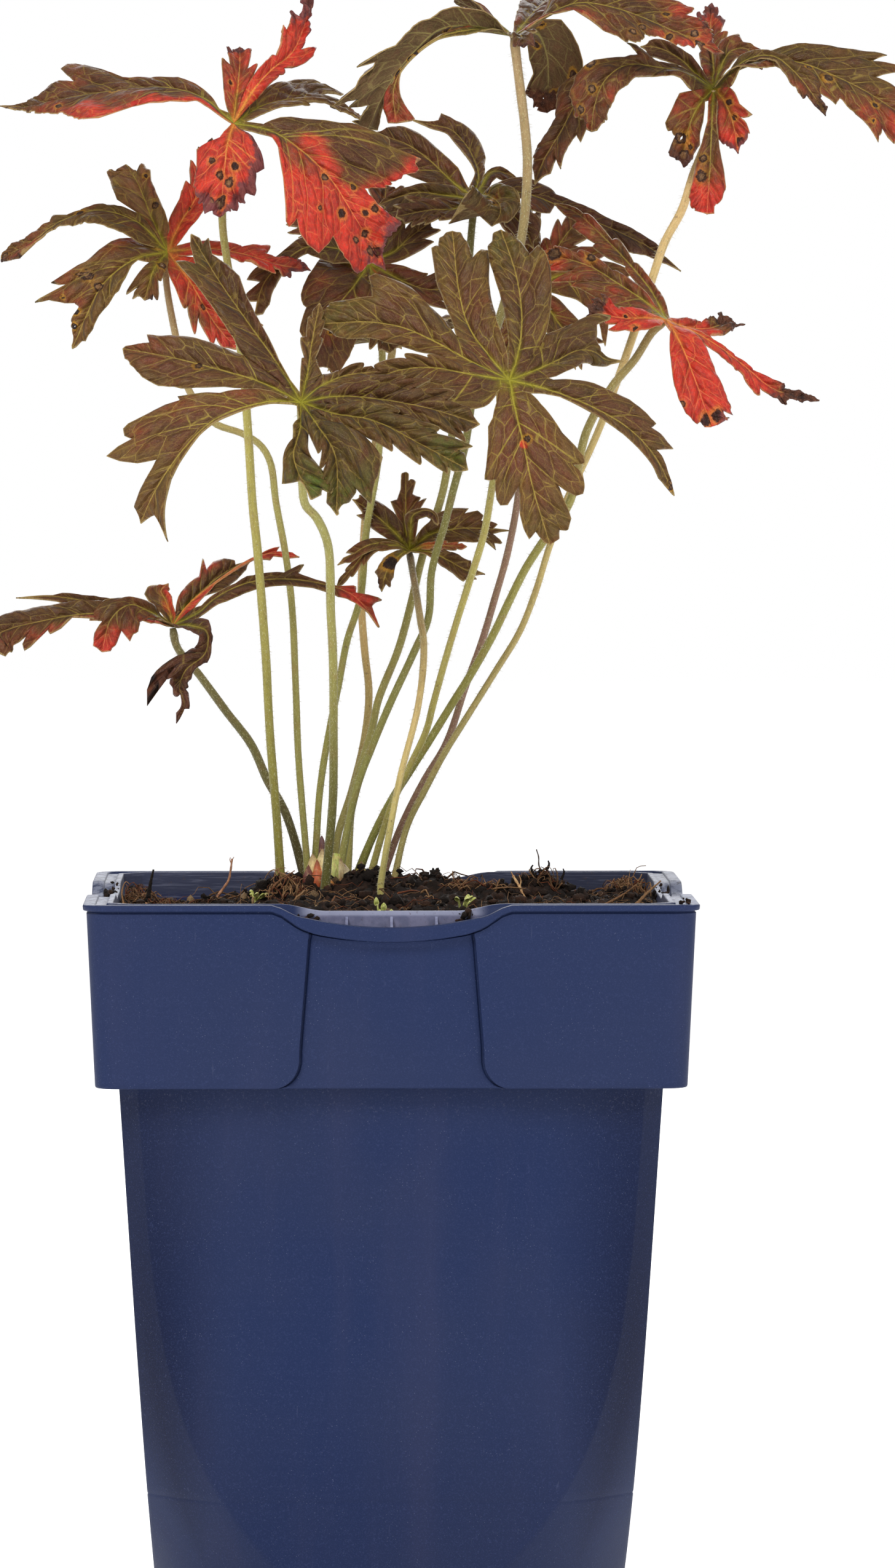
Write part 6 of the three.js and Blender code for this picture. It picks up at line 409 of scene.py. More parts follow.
  dict(id='M2', P=[[4.04,17.0,233.61],[4.08,20.0,237.66],[4.1,22.0,241.73],[4.13,24.0,246.08]], n=[[0.0,-0.95,0.25]], W=5, cup=0.15, T=[[[8.05,1.7],[12.52,2.0]],[[6.94,4.71],[13.12,2.14]]], ML=[[5.03,1.37],[6.69,2.01],[7.91,2.96],[7.76,3.59],[10.86,1.9],[14.58,1.06],[19.81,0.95],[20.04,0.0]], MR=[[4.72,2.01],[5.78,2.96],[7.07,3.17],[6.69,5.17],[8.82,2.85],[9.42,3.38],[12.83,1.48],[14.96,2.22],[16.93,1.37],[14.88,0.53],[20.04,0.63],[20.04,0.0]], r=(0.18,0.2,0.2,0.2), g=(0,0), d=(0.1,0.1,0.1), k=0.42),
  dict(id='M3', P=[[9.44,14.0,232.29],[15.57,14.0,233.65],[21.72,15.0,233.63],[27.06,16.0,233.21]], n=[[0.1,-0.9,0.4]], W=5.5, cup=0.15, T=[[[8.64,4.34],[13.28,4.26],[17.92,1.96]],[[9.53,1.8],[13.16,2.07],[16.79,2.11]]], ML=[[5.5,2.55],[5.86,4.18],[7.12,4.88],[8.55,4.76],[8.91,3.72],[11.06,3.95],[13.76,2.9],[14.92,1.74],[17.35,1.74],[19.41,1.28],[19.5,0.23],[23.72,0.0]], MR=[[4.42,1.97],[7.12,3.37],[10.17,3.72],[13.85,3.13],[13.58,4.99],[15.28,3.48],[17.7,3.25],[17.7,2.09],[17.88,1.16],[23.72,0.0]], r=(0.1,0.1,0.05,0.05), g=(0.1,0.1), d=(0.05,0.1,0.15), k=0.62),
  dict(id='M4', P=[[9.36,9.0,228.57],[13.38,6.0,226.73],[17.43,5.0,224.58],[21.36,5.0,223.76]], n=[[0.1,-0.93,0.3]], W=4, cup=0.15, T=[[[9.29,2.21],[16.29,1.55]],[[8.35,2.54],[14.96,2.98]]], ML=[[5.92,1.1],[7.34,2.03],[10.25,2.36],[13.39,2.45],[17.48,1.01],[20.78,0.0]], MR=[[7.18,1.18],[8.83,1.86],[11.82,2.11],[13.15,2.87],[15.51,1.44],[17.48,1.69],[17.79,0.84],[20.78,0.0]], r=(0.15,0.15,0.1,0.15), g=(0,0), d=(0.2,0.2,0.3), k=0.45),
  dict(id='M5', P=[[1.22,9.0,230.47],[-3.96,6.0,230.25],[-8.04,5.0,227.97],[-11.15,5.0,225.8]], n=[[-0.1,-0.9,0.4]], W=3, cup=0.15, T=[[[7.23,1.94],[11.52,2.83],[15.66,2.3]],[[8.43,0.85],[20.45,1.0]]], ML=[[5.26,1.46],[8.12,1.52],[11.53,1.52],[14.15,1.39],[16.13,1.46],[18.12,0.89],[20.97,0.0]], MR=[[5.5,0.76],[7.96,1.08],[10.02,1.52],[12.72,1.58],[16.05,1.39],[16.53,0.06],[18.83,0.57],[20.97,0.0]], r=(0.2,0.2,0.2,0.2), g=(0,0), d=(0.05,0.05,0.25), k=0.38),
  dict(id='M6', P=[[2.82,7.0,228.07],[0.62,4.0,226.23],[-0.75,3.0,223.27],[-1.42,3.0,220.02]], n=[[0.0,-0.97,0.15]], W=3, cup=-0.5, T=[[[7.32,1.9],[13.11,2.24]],[[6.37,2.04],[10.87,2.94],[13.76,2.36]]], ML=[[6.84,0.51],[9.94,1.08],[11.94,1.9],[15.32,1.71],[14.77,0.95],[18.21,0.0]], MR=[[6.91,1.39],[8.22,2.09],[10.7,2.34],[11.18,2.72],[13.73,1.33],[17.32,0.82],[18.21,0.0]], r=(0.1,0.12,0.12,0.1), g=(0.35,0.0), d=(0.3,0.3,0.35), k=0.12, sp=[(0.62,0.0,1.6,0)]),
  dict(id='M2b', P=[[5.05,11.0,233.43],[5.58,10.0,236.7],[8.69,9.0,237.8],[10.43,8.0,236.72],[10.96,7.0,234.57]], n=[[0.0,-0.9,0.3],[0.2,-0.9,0.2]], W=2.6, cup=0.15, T=[[[6.31,1.63],[9.99,2.54],[13.09,1.8]],[[6.38,1.72],[9.74,2.57],[13.48,1.97]]], ML=[[6.11,1.54],[8.73,0.82],[11.94,0.44],[13.84,0.49],[16.78,0.38],[17.31,0.0]], MR=[[6.24,1.48],[12.53,1.43],[16.65,0.71],[17.31,0.0]], r=(0.1,0.12,0.12,0.1), g=(0,0), d=(0.05,0.05,0.25), k=0.95),
  dict(id='M4b', P=[[9.36,9.0,230.06],[13.42,8.0,229.94],[17.35,8.0,229.81]], n=[[0.1,-0.9,0.4]], W=1.4, cup=0.15, T=[[[5.23,0.87],[8.85,1.31],[11.65,1.08]],[[5.57,0.84],[8.3,1.37],[11.4,1.0]]], r=(0.5,0.5,0.5,0.5), g=(0,0), d=(0.05,0.05,0.25), k=0.35),
  dict(id='M5b', P=[[1.21,8.0,230.08],[-3.96,6.0,229.17],[-7.63,5.0,225.4],[-11.43,5.0,220.93]], n=[[-0.1,-0.9,0.4]], W=1.7, cup=0.15, T=[[[8.52,1.24],[14.17,1.72],[18.06,1.3]],[[8.85,1.1],[13.05,1.47],[18.13,1.15]]], r=(0.25,0.25,0.25,0.25), g=(0,0), d=(0.05,0.05,0.25), k=0.4),
]),
'lower_left': dict(hub=[-47.45,5.0,212.28], n=[0.0,-0.45,0.89], res=0.5, web={}, L=[
  dict(id='N1', P=[[-52.98,4.0,214.88],[-59.72,3.0,216.53],[-66.45,2.0,217.91],[-72.76,1.0,218.88],[-81.77,0.0,218.77]], n=[[-0.1,-0.85,0.5]], W=3.5, cup=0.15, T=[[[14.28,2.45],[22.87,2.82],[31.46,2.88]],[[14.28,2.52],[19.08,3.1],[23.88,3.16]]], ML=[[10.25,1.63],[15.76,2.0],[21.41,2.0],[25.17,1.11],[30.68,0.44],[35.51,0.0]], MR=[[6.22,2.96],[11.46,1.7],[16.7,1.63],[24.09,1.18],[27.18,0.37],[30.81,0.3],[35.51,0.0]], r=(0.05,0.05,0.05,0.05), g=(0,0), d=(0,0,0.12), k=0.7),
  dict(id='N1b', P=[[-54.22,-2.0,214.63],[-64.85,-8.0,215.46],[-75.48,-12.0,213.95],[-84.76,-15.0,211.36],[-87.63,-17.0,208.47]], n=[[-0.1,-0.85,0.5],[-0.3,-0.85,0.45]], W=7, cup=0.15, T=[[[19.39,3.15],[27.0,3.71],[31.0,6.62],[41.01,6.2]],[[19.16,5.0],[26.33,6.41],[37.95,5.08]]], ML=[[10.28,1.33],[19.4,1.33],[26.7,0.3],[26.88,2.51],[28.34,3.55],[30.35,2.22],[29.8,4.73],[31.44,6.65],[33.81,4.58],[34.91,2.22],[35.46,3.99],[38.92,5.91],[48.23,5.32],[40.75,3.55],[39.47,1.63],[45.31,1.77],[48.23,0.0]], MR=[[11.37,2.51],[17.39,2.96],[23.23,3.69],[27.98,4.14],[33.63,4.14],[36.37,3.99],[43.49,2.51],[48.23,0.0]], r=(0.05,0.45,0.05,0.15), g=(0.06,0), d=(0,0,0.12), k=0.62),
  dict(id='N2', P=[[-52.21,-1.0,215.54],[-56.85,-5.0,217.26],[-60.82,-8.0,214.11],[-62.7,-9.0,207.15]], n=[[0.0,-0.9,0.4],[0.0,-0.98,0.1]], W=6, cup=0.15, T=[[[11.25,4.32],[16.16,5.91],[21.93,3.72]],[[11.25,0.85],[19.26,0.98],[27.28,1.0]]], ML=[[7.87,1.65],[7.55,3.42],[10.41,6.46],[16.86,5.57],[17.39,4.31],[17.82,3.17],[21.63,2.79],[27.34,1.77],[27.98,0.13]], MR=[[2.26,7.98],[10.62,1.77],[12.84,2.15],[12.74,3.8],[14.22,4.31],[16.55,4.18],[19.62,1.52],[21.1,2.41],[26.92,2.15],[27.98,0.13]], r=(0.18,0.34,0.15,0.5), g=(0,0), d=(0,0,0.12), k=0.55),
  dict(id='N3', P=[[-48.19,9.0,215.43],[-49.3,11.0,218.23],[-50.14,13.0,220.09],[-48.53,14.0,221.56]], n=[[0.0,-0.93,0.3]], W=4, cup=0.15, T=[[[5.03,2.48],[8.23,3.93],[10.86,2.88]],[[4.9,2.67],[8.29,3.55],[11.04,2.8]]], ML=[[3.52,2.03],[4.53,3.29],[5.81,3.72],[7.35,3.04],[10.33,1.35],[14.05,0.0]], MR=[[5.01,1.1],[6.55,1.6],[12.98,1.18],[14.05,0.0]], r=(0.45,0.0,0.7,0.3), g=(0,0), d=(0,0,0.12), k=0.45),
  dict(id='N4', P=[[-44.9,7.0,216.15],[-40.88,11.0,220.13],[-36.16,16.0,223.83],[-29.79,22.0,226.99]], n=[[0.0,-0.9,0.4]], W=6, cup=0.15, T=[[[11.07,5.74],[15.79,5.62],[20.51,1.7]],[[10.11,4.17],[15.72,5.51],[22.52,3.91]]], ML=[[3.32,1.77],[6.06,2.91],[8.36,3.29],[10.67,3.04],[10.78,4.69],[11.0,5.83],[12.86,3.17],[14.94,3.8],[18.45,3.04],[22.29,1.52],[21.52,0.63],[25.79,0.13],[28.97,0.0]], MR=[[3.65,1.77],[7.38,2.91],[11.21,3.29],[17.24,2.79],[23.05,1.65],[28.97,0.0]], r=(0.15,0.45,0.05,0.2), g=(0,0), d=(0,0,0.12), k=0.58, sp=[(0.13,-0.5,0.7,1)]),
  dict(id='N5', P=[[-41.47,3.0,215.44],[-37.8,2.0,218.71],[-30.76,1.0,221.97],[-22.66,0.0,222.8],[-14.42,0.0,221.72],[-7.53,0.0,219.01],[-2.0,0.0,212.25]], n=[[0.0,-0.85,0.5],[0.2,-0.9,0.4]], W=4, cup=0.15, T=[[[24.08,4.31],[38.7,3.76],[51.14,1.0]],[[20.11,2.6],[30.06,3.88],[40.23,2.83]]], ML=[[8.0,1.01],[16.14,0.93],[18.12,1.6],[25.86,1.69],[23.88,4.39],[28.64,1.6],[31.42,1.1],[34.0,0.68],[39.16,0.51],[39.95,2.36],[42.53,0.93],[41.14,3.12],[41.74,4.22],[46.9,1.69],[52.46,0.17]], MR=[[7.01,1.77],[11.37,2.45],[17.73,2.03],[25.47,1.6],[32.61,1.52],[37.97,1.94],[45.71,0.76],[48.88,0.08],[52.46,0.17]], r=(0.08,0.08,0.1,0.55), g=(0,0), d=(0,0,0.12), k=0.72),
  dict(id='N6', P=[[-43.46,0.0,212.54],[-39.92,-3.0,211.27],[-40.17,-5.0,206.75],[-44.47,-6.0,203.01],[-45.84,-5.0,199.2],[-44.77,-5.0,195.56],[-46.54,-4.0,191.34]], n=[[0.1,-0.93,0.2],[0.0,-0.97,0.0]], W=6, cup=0.15, T=[[[16.22,3.11],[21.78,3.04],[27.34,2.17]],[[14.02,1.45],[19.15,1.67],[24.28,1.7]]], ML=[[5.32,3.17],[8.49,2.53],[10.73,1.14],[13.24,0.89],[15.35,1.65],[18.38,1.14],[20.23,2.28],[26.3,1.9],[29.33,1.65],[31.18,0.13],[33.69,0.25],[34.87,0.0]], MR=[[8.22,1.65],[11.52,2.41],[14.29,3.04],[16.01,3.17],[6.77,9.5],[18.91,3.42],[21.15,3.04],[24.05,2.15],[26.83,1.14],[27.62,0.25],[29.86,0.63],[32.76,1.14],[34.87,0.0]], r=(0,0,0,0), g=(0,0), d=(0.7,0.7,0.7), k=1.0),
  dict(id='N4b', P=[[-44.89,6.0,216.18],[-38.17,12.0,221.74],[-29.65,20.0,227.02],[-25.97,22.0,228.08],[-19.54,23.0,227.24]], n=[[0.0,-0.9,0.4]], W=1.5, cup=0.15, T=[[[15.13,1.02],[22.29,1.48],[29.19,1.12]],[[15.37,0.99],[23.25,1.48],[29.62,1.06]]], ML=[[15.39,0.22],[28.08,0.29],[30.0,0.41],[31.32,1.08],[32.5,1.74],[33.54,0.48],[37.37,0.92],[39.0,0.0]], MR=[[14.8,0.25],[27.64,0.29],[29.85,1.65],[32.5,0.63],[36.64,0.73],[39.0,0.0]], r=(0.7,0.7,0.7,0.5), g=(0,0), d=(0,0,0.12), k=0.45),
]),
'rear': dict(hub=[1.72,52.0,274.7], n=[0.05,0.1,0.99], res=0.85, web={}, L=[
  dict(id='R1', P=[[4.6,60.0,277.54],[8.94,70.0,279.03],[12.61,80.0,277.72]], n=[[0.1,0.3,0.9],[0.1,0.8,0.6]], W=8.5, cup=0.15, T=[[[11.59,5.27],[16.73,7.55],[23.83,5.93]],[[11.1,6.16],[17.74,7.32],[24.0,6.01]]], r=(0.12,0.15,0.15,0.2), g=(0.08,0), d=(0,0,0.15), k=0.45),
  dict(id='R2', P=[[1.86,64.0,277.58],[2.0,76.0,279.09],[2.14,88.0,276.38]], n=[[0.0,0.3,0.9],[0.0,0.85,0.5]], W=8.5, cup=0.15, T=[[[13.58,5.53],[20.26,7.86],[27.59,6.21]],[[13.84,5.27],[21.99,8.23],[27.75,6.42]]], r=(0.12,0.15,0.15,0.2), g=(0.08,0), d=(0,0,0.15), k=0.45),
  dict(id='R3', P=[[-1.25,60.0,277.27],[-5.08,69.0,278.74],[-8.53,78.0,277.0]], n=[[-0.1,0.3,0.9],[-0.1,0.8,0.6]], W=8.0, cup=0.15, T=[[[9.9,4.99],[16.02,7.9],[21.16,5.55]],[[9.91,5.64],[15.88,6.79],[22.57,5.32]]], r=(0.12,0.15,0.15,0.2), g=(0.08,0), d=(0,0,0.15), k=0.45),
  dict(id='R4', P=[[5.89,52.0,275.26],[10.75,52.0,275.26],[15.62,53.0,272.63]], n=[[0.1,0.1,0.95],[0.3,0.3,0.9]], W=7.0, cup=0.15, T=[[[5.11,5.07],[8.46,6.49],[11.27,4.85]],[[5.91,4.37],[8.13,5.91],[10.96,5.22]]], r=(0.12,0.15,0.15,0.2), g=(0.08,0), d=(0,0,0.15), k=0.45),
  dict(id='R5', P=[[-2.44,52.0,275.26],[-6.61,50.0,275.24],[-10.77,50.0,272.61]], n=[[-0.1,0.1,0.95],[-0.3,0.3,0.9]], W=7.0, cup=0.15, T=[[[5.31,4.57],[7.59,6.98],[10.87,4.79]],[[4.83,4.92],[8.25,6.96],[10.58,5.09]]], r=(0.12,0.15,0.15,0.2), g=(0.08,0), d=(0,0,0.15), k=0.45),
]),
}
PETIOLES = {
'red_upper_left': dict(r=0.92, low=0.98, P=[[-33.69,-25.0,321.23],[-35.58,-22.78,311.35],[-36.14,-20.58,301.18],[-34.84,-18.26,290.18],[-31.83,-13.97,268.87],[-30.92,-11.69,256.83],[-29.88,-8.58,239.37],[-28.69,-6.76,228.59],[-26.98,-3.31,206.15],[-26.32,-1.75,194.76],[-25.13,0.2,178.45],[-23.67,2.0,155.86]]),
'left': dict(r=0.84, low=0.78, P=[[-48.54,5.0,293.92],[-48.83,5.28,289.2],[-46.83,6.01,276.39],[-44.15,6.58,264.9],[-38.34,6.95,257.06],[-31.98,7.14,254.62],[-27.92,7.24,252.05],[-25.76,7.29,248.26],[-24.55,7.3,239.45],[-22.66,7.12,228.21],[-21.05,6.63,214.93],[-20.25,5.63,198.55],[-19.72,4.46,183.95],[-17.71,2.0,157.48]]),
'lower_left': dict(r=0.95, low=0.98, P=[[-47.45,5.0,211.6],[-46.52,5.26,207.8],[-41.52,5.77,201.54],[-35.84,6.33,193.93],[-30.16,6.85,186.3],[-26.51,7.29,178.13],[-22.71,7.63,171.18],[-18.92,8.0,158.78]]),
'front_left': dict(r=1.0, low=0.98, P=[[-19.13,-52.0,260.59],[-18.88,-43.27,244.39],[-18.22,-40.86,239.75],[-15.84,-39.01,236.96],[-13.33,-35.75,230.83],[-12.78,-28.78,215.82],[-12.37,-24.89,206.79],[-12.09,-19.94,194.34],[-12.34,-13.46,175.3],[-13.95,-9.0,155.14]]),
'brown_behind_left': dict(r=0.85, low=0.8, P=[[-3.78,24.0,291.42],[-2.44,22.32,282.67],[-1.23,20.78,274.47],[-1.1,19.54,267.65],[-2.1,16.2,248.6],[-4.58,13.73,233.66],[-6.23,11.38,218.34],[-9.1,9.99,209.0],[-10.74,8.71,199.53],[-13.2,7.18,186.95],[-15.11,5.91,174.38],[-16.07,5.0,160.57]]),
'rear': dict(r=0.9, low=0.86, P=[[1.72,52.0,273.87],[-0.55,46.65,262.22],[-3.39,39.96,247.06],[-5.1,33.2,230.62],[-5.7,28.48,218.35],[-5.19,24.23,206.54],[-4.26,20.75,196.11],[-5.25,17.64,185.84],[-8.14,14.66,174.78],[-10.88,12.87,166.54],[-11.98,12.0,159.91]]),
'top_centre': dict(r=1.15, low=0.86, P=[[27.69,5.0,341.14],[28.36,4.78,336.15],[29.97,4.19,322.38],[30.5,3.82,313.48],[29.28,3.19,297.96],[25.48,2.57,282.44],[20.74,2.04,268.94],[18.85,1.82,263.14],[16.95,1.43,252.21],[14.37,1.1,242.89],[12.48,0.83,234.79],[9.77,0.5,224.4],[8.82,0.19,214.14],[5.57,-0.03,206.84],[0.83,-0.33,196.45],[-3.23,-0.58,186.58],[-6.88,-0.78,177.13],[-10.27,-1.0,161.44]]),
'dark_centre': dict(r=0.9, low=0.88, P=[[19.3,30.0,306.3],[18.58,28.07,296.41],[17.13,23.94,274.5],[14.46,20.29,254.02],[12.51,18.24,241.9],[7.97,15.87,227.63],[5.09,14.16,216.5],[2.34,12.77,206.87],[-1.89,11.24,195.76],[-3.4,10.41,188.86],[-7.63,8.97,175.32],[-8.87,8.0,160.67]]),
'front_right': dict(r=0.85, low=0.76, P=[[25.49,-45.0,265.32],[23.81,-38.48,252.93],[22.07,-33.96,244.03],[20.2,-28.73,233.22],[16.85,-23.27,221.54],[13.22,-17.85,209.11],[9.69,-12.48,195.39],[8.24,-10.42,189.67],[4.78,-7.72,182.02],[0.1,-4.55,171.62],[-3.79,-2.0,158.24]]),
'small_centre': dict(r=0.85, low=0.72, P=[[4.81,14.0,228.21],[5.67,6.83,222.92],[7.01,-3.02,214.22],[7.61,-7.91,208.83],[6.14,-16.28,195.4],[2.21,-20.08,180.02],[0.07,-19.84,169.29],[-1.13,-18.81,161.87],[-1.92,-17.7,155.9],[-1.65,-17.0,152.37]]),
'brown_behind_right': dict(r=0.8, low=0.8, P=[[32.52,22.0,285.67],[31.64,19.68,269.02],[29.1,16.08,241.52],[26.75,14.62,229.69],[23.86,13.32,218.69],[21.12,12.22,208.92],[16.87,11.03,197.94],[12.64,9.89,186.14],[7.87,9.13,177.88],[2.96,8.4,168.12],[-0.44,8.0,159.3]]),
'right_red': dict(r=0.98, low=0.9, P=[[59.86,-15.0,279.03],[57.48,-14.45,277.03],[53.65,-13.21,271.02],[48.61,-11.87,265.0],[43.44,-10.1,255.61],[39.78,-7.51,239.61],[33.77,-5.91,230.71],[30.3,-4.98,225.31],[26.29,-3.78,217.6],[22.67,-2.68,210.15],[17.98,-1.47,201.75],[13.4,-0.45,194.41],[9.09,0.45,187.35],[4.77,1.26,180.54],[0.58,1.96,173.88],[-3.21,2.58,166.53],[-6.46,3.0,158.5]]),
'top_right': dict(r=1.05, low=0.74, P=[[71.99,12.0,329.98],[72.1,11.39,323.33],[70.19,10.92,318.58],[67.31,10.26,311.79],[64.85,9.56,304.19],[61.03,8.84,296.87],[58.43,8.16,289.28],[54.87,7.18,278.17],[51.6,6.38,268.83],[46.96,5.36,256.65],[43.56,4.71,248.81],[39.34,3.98,239.88],[35.67,3.22,229.88],[32.54,2.5,219.61],[29.14,1.91,211.24],[23.58,1.27,202.33],[16.94,0.56,191.67],[12.06,0.08,183.7],[8.4,-0.28,176.82],[4.2,-0.65,168.58],[1.08,-1.0,156.01]]),
}
# ------------------------------------------------------------------ leaf blades
NS = 161

class Lobe:
    """one lobe of a leaf: a midrib curve with a frame, and a map from (s0, w) to space whose lines of equal s0 run along the side veins"""
    def __init__(o, hub, hn, e, seed):
        o.e = e; o.id = e['id']; o.W = e['W']; o.cup = e['cup']
        C = spline(np.array([hub] + e['P']), NS); o.C = C
        o.L = float(np.linalg.norm(np.diff(C, axis=0), axis=1).sum())
        T = nrm(np.gradient(C, axis=0)); ns = nrm(np.array([hn] + e['n'], float)); kk = np.linspace(0, 1, len(ns))
        if len(ns) == 2: kk = np.array([0, .45])
        if len(ns) == 3: kk = np.array([0, .35, 1.0])
        u = np.linspace(0, 1, NS); N = np.stack([np.interp(u, kk, ns[:, c]) for c in range(3)], 1)
        h = NS // 16; ker = np.ones(2 * h + 1) / (2 * h + 1); N = np.stack([np.convolve(np.pad(N[:, c], h, mode='edge'), ker, 'valid') for c in range(3)], 1)
        N = nrm(N - (N * T).sum(1, keepdims=True) * T); o.T, o.N, o.S = T, N, np.cross(T, N)
        o.ssin = min(.22 * o.L, 8.0); o.rng = np.random.default_rng(seed); o.seed = seed
    def kf(o, s0): return 1.4 * sm(s0, o.ssin * .6, o.ssin * 1.8) * (1 - sm(s0, .78 * o.L, o.L))
    def at(o, s):
        i = np.clip(np.asarray(s, float) / o.L * (NS - 1), 0, NS - 1); j = np.minimum(i.astype(int), NS - 2); f = (i - j)[..., None]
        g = lambda A: A[j] * (1 - f) + A[j + 1] * f
        return g(o.C) + o.T[-1] * np.maximum(s - o.L, 0)[..., None], nrm(g(o.S)), nrm(g(o.N))
    def pt(o, s0, w):
        s = s0 + o.kf(s0) * abs(w); c, sv, nv = o.at(s); return c + sv * w[..., None], nv, s

def leaf_margin(o, side, start):
    """margin as arrays (s0, w) from start, with the shape of the teeth, and the s0 of each tooth"""
    e = o.e; rng = o.rng; L = o.L
    if 'M' + 'LR'[side] in e:
        ks = [tuple(k) for k in e['M' + 'LR'[side]]]
        ks = [k for k in ks if k[0] > start[0] + .3]
        S = [start[0]]; Wd = [start[1]]
        for a, b in ks:
            S.append(max(a, S[-1] + .12)); Wd.append(b)
        if S[-1] < L: S.append(L); Wd.append(0.0)
        else: Wd[-1] = min(Wd[-1], .02)
        S = np.array(S); Wd = np.array(Wd)
        tips = [i for i in range(1, len(S) - 1) if Wd[i] >= Wd[i - 1] and Wd[i] > Wd[i + 1] + .25]
        return S, Wd, [S[i] for i in tips]
    ts = [tuple(t) for t in e['T'][side] if t[0] > start[0] + 1.2] or [(L * .6, o.W * .8)]
    S, Wd = [start[0]], [start[1]]
    def seg(a, b, shape, n=7):
        for i in range(1, n + 1):
            t = i / n
            if shape == 'rise': f = 1 - (1 - t) ** 1.7
            elif shape == 'drop': f = t ** 1.7
            elif shape == 'tip': f = t ** 1.9
            else: f = t
            S.append(a[0] + (b[0] - a[0]) * t); Wd.append(a[1] + (b[1] - a[1]) * f)
    cur = start
    for i, t in enumerate(ts):
        if i == 0:
            seg(cur, t, 'rise')
        else:
            g = t[0] - cur[0]; deep = .24 + .20 * rng.random(); nt = (cur[0] + g * .26, min(cur[1], t[1]) * (1 - deep))
            seg(cur, nt, 'drop', 5); seg(nt, t, 'rise', 6)
        cur = t
    g = L - cur[0]; nt = (cur[0] + g * .20, cur[1] * .50); bt = (cur[0] + g * .50, cur[1] * .50 + .25)
    seg(cur, nt, 'drop', 5); seg(nt, bt, 'rise', 4); seg(bt, (L, 0.0), 'tip', 9)
    return np.array(S), np.array(Wd), [t[0] for t in ts]

